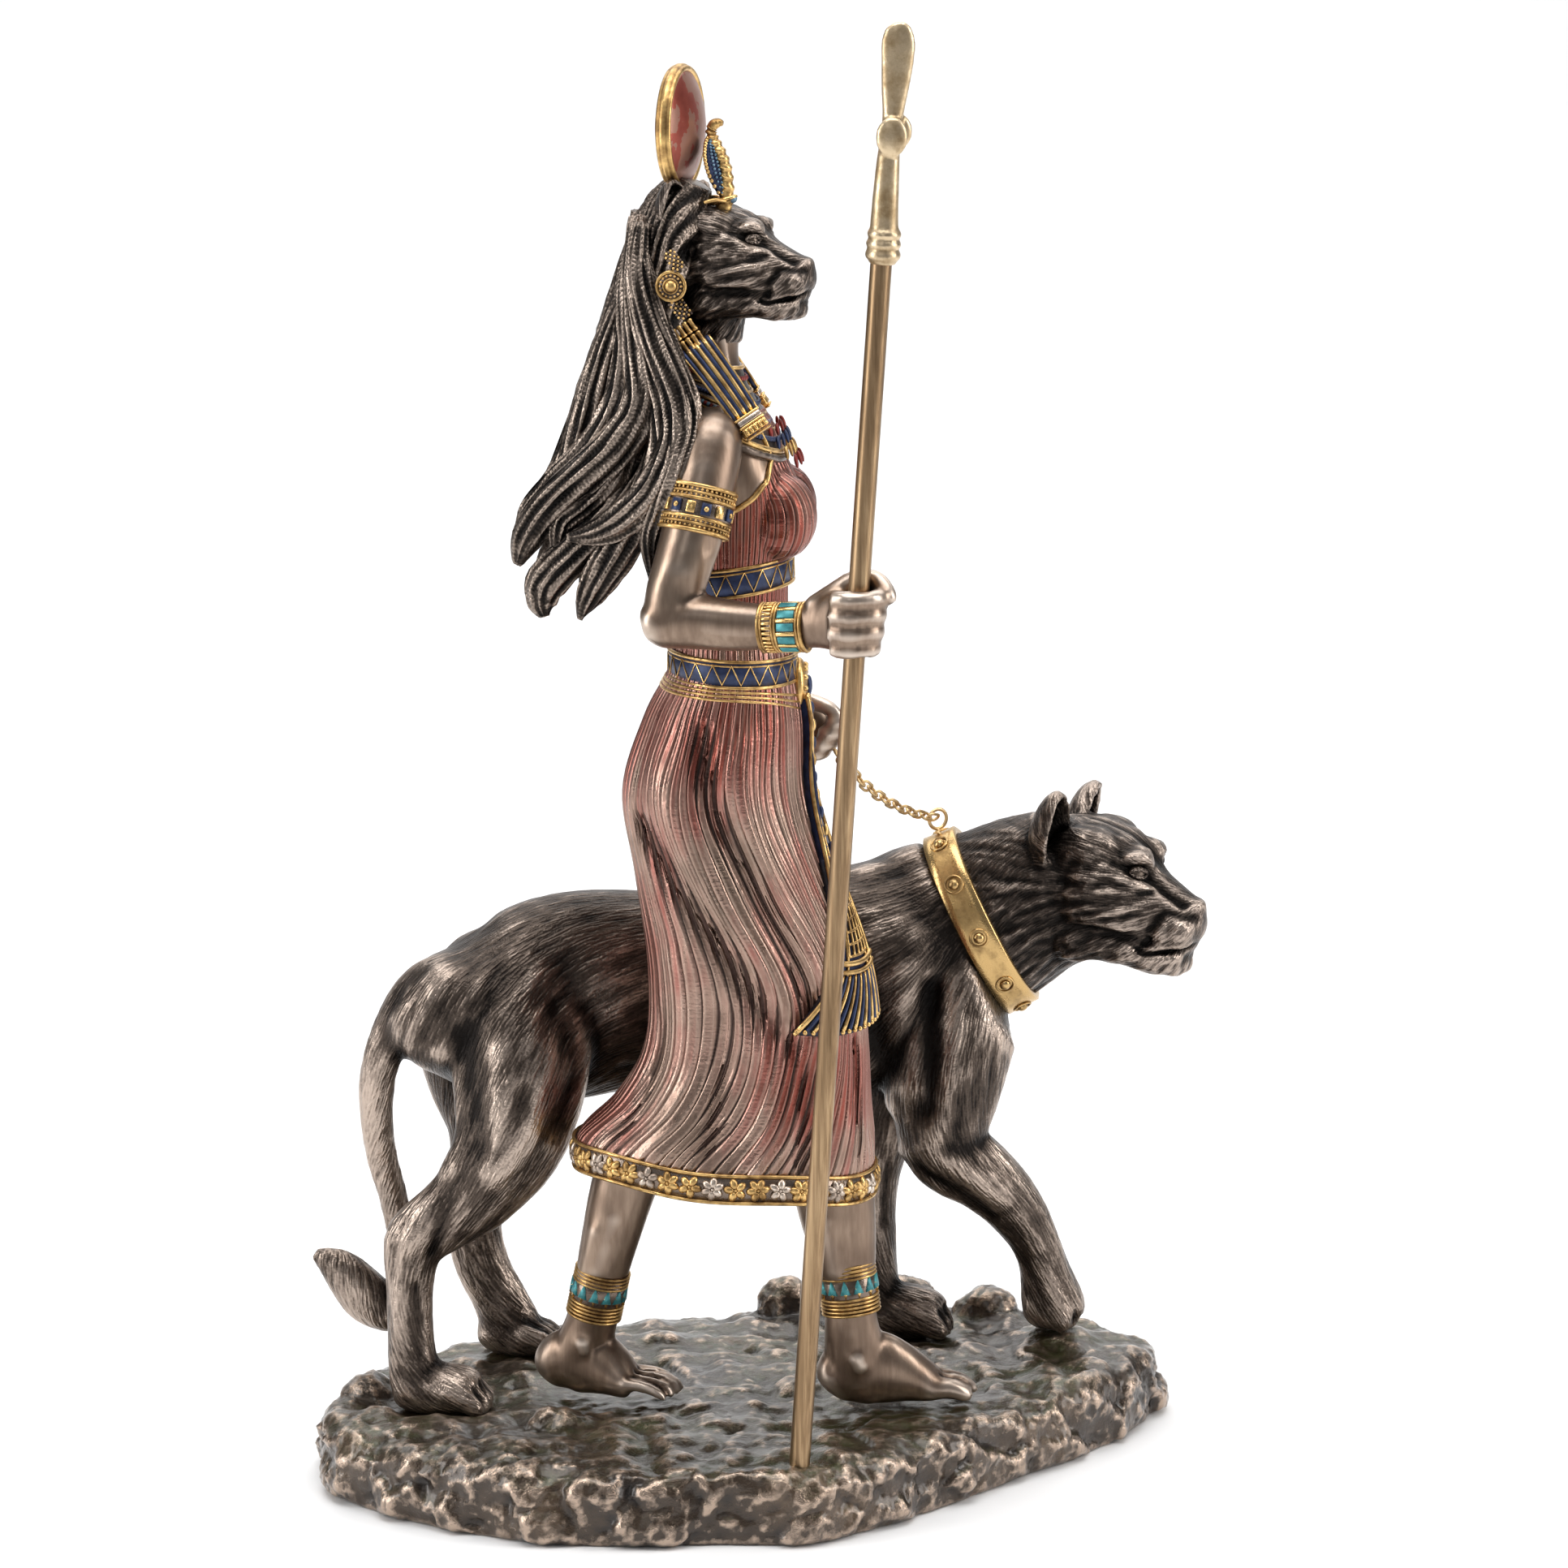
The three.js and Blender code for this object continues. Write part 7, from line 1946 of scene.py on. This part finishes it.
# The sun disc and the rearing cobra
crownWork = {
    "turn": 0.28, "middle": (-20.2, -20, 277.9),
    # profiles of radius and height: the disc's one face, and one half of its hoop
    "dome": [(0, 4.3), (2.4, 4.16), (4.8, 3.72), (7.2, 3.0), (9.2, 2.15), (10.6, 1.45), (11.3, 1.0)],
    "hoop": [(10.8, 1.1), (11.3, 1.5), (11.8, 1.5), (12.1, 1.1), (12.0, 0.7), (12.4, 0.45)],
    "cobra": [
        (-13.6, -22.6, 258.6, 1.6, 1.5), (-11.4, -23.0, 263.6, 1.5, 1.5), (-11.2, -23.2, 267.4, 1.35, 1.45),
        (-11.6, -23.3, 270.6, 1.3, 1.6), (-12.6, -23.2, 273.4, 1.2, 1.6), (-13.8, -23.0, 275.8, 1.1, 1.3),
        (-14.2, -23.0, 277.4, 1.0, 1.1), (-13.7, -23.1, 278.6, 1.05, 1.15), (-12.7, -23.3, 279.0, 0.9, 1.0),
        (-11.9, -23.5, 278.9, 0.5, 0.6),
    ],
}


def makeCrown():
    turn = crownWork["turn"]
    place = Matrix.Translation(crownWork["middle"]) @ Matrix.Rotation(-turn, 4, "Z")
    place = place @ Matrix.Rotation(math.pi / 2, 4, "Y")

    def lathe(points):
        bm = bmesh.new()
        verts = [bm.verts.new((r, 0, h)) for r, h in points]
        edges = [bm.edges.new(pair) for pair in zip(verts[:-1], verts[1:])]
        about = {"cent": (0, 0, 0), "axis": (0, 0, 1), "angle": 2 * math.pi}
        bmesh.ops.spin(bm, geom=verts + edges, steps=72, use_merge=True, **about)
        bmesh.ops.remove_doubles(bm, verts=bm.verts, dist=1e-4)
        bmesh.ops.transform(bm, matrix=place, verts=bm.verts)
        return bm

    dome, hoop = crownWork["dome"], crownWork["hoop"]
    dome = dome + [(r, -h) for r, h in dome[::-1]]
    finished("sunDisc", lathe(dome), lacquer, "goddess", 6, 0.6)
    hoop = hoop + [(r, -h) for r, h in hoop[::-1]] + hoop[:1]
    finished("sunRim", lathe(hoop), gold, "goddess", 2, 0.5)
    body, hood, pale = bmesh.new(), bmesh.new(), bmesh.new()
    belly = crownWork["cobra"]

    def rope(share, angle):
        return 0.16 * np.sin(share * 100 + np.cos(angle) * 1.4) * (share < 0.72) * (share > 0.1)

    limb(body, belly, 20, steps=16, swell=rope)
    for side in (-1, 1):
        lump(body, (-13.0, -23.2 + side * 0.95, 279.2), (0.32, 0.28, 0.28), None, (8, 6))
    thick = np.array((0.35, 0, 0))
    for side in (-1, 1):
        rows = []
        for x, y, z in smoothRows(belly[1:7], 4)[:, :3]:
            share = (z - 264) / 12.6
            spread = math.sin(min(max(share, 0), 1) * math.pi) ** 0.75
            back = np.array((x, y, z)) + spread * (np.array((-3.6, side * 2.9 + 0.6, 0.6)))
            front = np.array((x - 0.4, y + side * 0.6, z))
            over = [front + (back - front) * s + thick for s in np.linspace(0, 1, 7)]
            under = [front + (back - front) * s - thick for s in np.linspace(1, 0, 7)]
            rows.append(over + under)
            if spread > 0.1:
                lump(body, back, (0.42, 0.42, 0.48), None, (8, 6))
                for s in (0.35, 0.62):
                    spot = front + (back - front) * s + np.array((0.3, side * 0.25, 0))
                    lump(pale, spot, (0.28, 0.3, 0.26), None, (7, 5))
        wrap(hood, np.array(rows))
    # the ornament on the brow that the cobra rises from
    lump(body, (-11.8, -22.8, 264.0), (3.0, 2.2, 0.8), turned(-turn, -0.3), (16, 10))
    lump(pale, (-10.2, -23.6, 264.3), (1.1, 0.9, 0.9), None, (14, 10))
    for side in (-1, 1):
        rows = [
            (-11.4, -23 + side * 1.5, 263.8, 0.5, 0.5), (-13.4, -22.4 + side * 3.6, 264.2, 0.5, 0.5),
            (-15.6, -21.8 + side * 5.4, 263.8, 0.3, 0.3),
        ]
        limb(body, rows, 10, steps=4, depth=(0.2, 0.2, 1))
    finished("cobraBody", body, gold, "goddess", 3, 1.0)
    finished("cobraHood", hood, blue, "goddess", 3, 0.8)
    finished("cobraBeads", pale, sky, "goddess", 2, 0.5)


makeCrown()


# The sceptre: rod, ringed ferrule and flat head
staffWork = {
    "radius": 2.05, "rod": 251.6, "ferrule": 6.0, "voxel": 0.28,
    # share of the rod's length, share of its radius
    "profile": [(0, 0.9), (0.004, 1.0), (0.25, 1.0), (0.5, 1.0), (0.75, 1.0), (0.996, 1.0), (1, 0.95)],
    # level and radius of the ferrule's rings
    "rings": [
        (0, 2.4), (0.7, 2.75), (1.2, 3.25), (1.9, 3.4), (2.6, 3.15), (2.95, 2.8), (3.3, 3.15), (3.9, 3.35),
        (4.5, 3.1), (4.85, 2.75), (5.2, 3.1), (5.8, 3.3), (6.4, 3.0), (6.9, 2.6),
    ],
    "blade": [(0.1, 0, 6.6, 2.7, 2.6), (0, 0, 12, 2.5, 2.2), (0, 0, 19, 2.2, 1.9), (0.1, 0.2, 24, 1.9, 1.5),
        (0.3, 0.4, 28, 2.0, 1.5), (0.4, 0.4, 33, 2.6, 1.4),
              (0.5, 0.3, 38, 3.05, 1.3), (0.4, 0.2, 41.6, 3.15, 1.2), (0.2, 0.1, 44.2, 2.3, 0.9),
              (0, 0, 45.2, 0.8, 0.4)],
    "discs": [((0.35, -1.5, 24.0), (3.05, 1.2, 3.8)), ((1.5, 1.3, 24.8), (2.7, 1.1, 3.4))],
}


def staffPlace(distance):
    turn = Vector((0, 0, 1)).rotation_difference(Vector(rodAlong)).to_matrix().to_4x4()
    return Matrix.Translation(rodFoot + rodAlong * distance) @ turn


def makeStaff():
    bm = bmesh.new()
    radius, long = staffWork["radius"], staffWork["rod"]
    limb(bm, [(0, 0, share * long, radius * r, radius * r) for share, r in staffWork["profile"]], 36,
         steps=6)
    bmesh.ops.transform(bm, matrix=staffPlace(0), verts=bm.verts)
    finished("staffRod", bm, brushed, "staff_rod", 2, 0.3)
    bm = bmesh.new()
    limb(bm, [(0.2, 0, z, a, a) for z, a in staffWork["rings"]], 40)
    limb(bm, staffWork["blade"], 40)
    for spot, half in staffWork["discs"]:
        lump(bm, spot, half, detail=(32, 18))
    bmesh.ops.transform(bm, matrix=staffPlace(staffWork["rod"] - staffWork["ferrule"]), verts=bm.verts)
    clay = fused(bm, staffWork["voxel"], 5)
    finished("sceptreHead", clay, paleBrass, "sceptre_head", 5, 1.3)


paleBrass = antiqueGold("paleBrass", (0.66, 0.52, 0.34), (0.34, 0.24, 0.13), (0.06, 0.04, 0.025), 0.42)
makeStaff()


# Her collar, the eye on it and the chain
leadWork = {
    "width": 7.4, "out": 1.28, "studs": 10, "stud": 1.2, "eye": 2.1, "wire": 0.55, "link": (3.9, 2.5),
    "links": 16,
    # foot of the eye: how far below it, and thickness
    "foot": [(1.0, 1.0), (0.8, 0.9), (0.5, 0.5), (0, 0.45)],
}


def makeCollar():
    count = ringPoints["collar"]
    ring = limbRing(beast["neck"], 0.5, count)
    bm = bmesh.new()
    half, out = leadWork["width"] / 2, leadWork["out"]
    profile = [
        (-1.2, -half), (out * 0.55, -half), (out, -half + 0.35), (out * 0.96, -half * 0.5), (out * 0.94, 0),
        (out * 0.96, half * 0.5), (out, half - 0.35), (out * 0.55, half), (-1.2, half), (-1.2, 0),
    ]
    moulding(bm, ring, [(o - 0.05 * u, u) for o, u in profile])
    spots, away, up = ring
    for i in range(leadWork["studs"]):
        k = int(round((0.5 + (i + 0.5) / leadWork["studs"]) * count)) % count
        x = away[k]
        z = unit(up[k] - x * (up[k] @ x))
        y = np.cross(z, x)
        place = Matrix.Translation(spots[k] + x * out) @ axes(x, y, z)
        ball(bm, place, (0.95, leadWork["stud"], leadWork["stud"]), (18, 12))
        turn = np.arange(28) / 28 * 2 * math.pi
        flat = np.column_stack([0 * turn, np.cos(turn), np.sin(turn)]) @ np.column_stack([x, y, z]).T
        middle = np.array(place.translation)
        rim(bm, (middle + flat * 1.85, flat, np.tile(x, (28, 1))), 0.26, 0.02)
    finished("beastCollar", bm, brassBand, "lioness", 6, 0.9)


def wireLoop(bm, path, wire):
    sides = 10
    path = np.array(path)
    ahead = unit(np.roll(path, -1, axis=0) - np.roll(path, 1, axis=0))
    side = unit(np.cross(ahead, np.array((0.0, 0.0, 1.0))))
    up = np.cross(side, ahead)
    turn = np.arange(sides) / sides * 2 * math.pi
    cos, sin = np.cos(turn)[None, :, None], np.sin(turn)[None, :, None]
    wrap(bm, path[:, None] + wire / 2 * (side[:, None] * cos + up[:, None] * sin), loop=True)


def makeChain():
    lean, (x, y, z, a) = 0.47, (42, 31, 107.4, 19.6)
    out = a + leadWork["out"]
    top = np.array((x - math.sin(lean) * out, y, z + math.cos(lean) * out))
    centre = top + np.array((0, 0, leadWork["eye"] + 0.8 + 0.3))
    bm = bmesh.new()
    turn = np.arange(36) / 36 * 2 * math.pi
    circle = np.column_stack([np.cos(turn), np.sin(turn), 0 * turn])
    wireLoop(bm, circle * leadWork["eye"], leadWork["wire"] * 1.4)
    spin = Matrix.Rotation(0.5, 4, "Z") @ Matrix.Rotation(math.pi / 2, 4, "X")
    bmesh.ops.transform(bm, matrix=Matrix.Translation(centre) @ spin, verts=bm.verts)
    foot = centre - np.array((0, 0, leadWork["eye"]))
    rows = [(*(foot - np.array((0, 0, below))), thick, thick) for below, thick in leadWork["foot"]]
    limb(bm, rows, 16, steps=2, depth=(1, 0, 0))
    finished("collarEye", bm, wireGold, "collar_ring", 2, 0.5)
    start = centre + np.array((-0.1, -0.4, 0)) * leadWork["link"][0] + np.array((0, 0, 0.6))
    end = np.array((10.4, 2, 149.6))
    middle = start + (end - start) * 0.6 - np.array((0, 0, 6.8))
    t = np.linspace(0, 1, 400)[:, None]
    curve = (1 - t) ** 2 * start + 2 * t * (1 - t) * middle + t * t * end
    length = np.concatenate([[0], np.cumsum(np.linalg.norm(np.diff(curve, axis=0), axis=1))])
    long, wide = leadWork["link"]
    wire = leadWork["wire"]
    straight, bend = (long - wide) / 2, (wide - wire) / 2
    outline = []
    for side in (1, -1):
        for angle in np.linspace(-0.5, 0.5, 9) * math.pi:
            outline.append((side * (straight + bend * math.cos(angle)), side * bend * math.sin(angle), 0))

    def along(at):
        return np.array([np.interp(at, length, curve[:, k]) for k in range(3)])

    for i in range(leadWork["links"]):
        at = (i + 0.5) / leadWork["links"] * length[-1]
        spot = along(at)
        ahead = unit(along(at + 0.2) - spot)
        aside = unit(np.cross((0, 0, 1), ahead))
        up = np.cross(ahead, aside)
        bm = bmesh.new()
        wireLoop(bm, outline, wire * 1.12)
        spin = Matrix.Rotation(math.pi / 4 + (math.pi / 2 if i % 2 else 0), 4, "X")
        place = Matrix.Translation(spot) @ axes(ahead, aside, up) @ spin
        bmesh.ops.transform(bm, matrix=place, verts=bm.verts)
        number = str(i + 1).zfill(2)
        finished("chainLink" + number, bm, wireGold, "chain_link_" + number, 1, 0.3)


makeCollar()
makeChain()
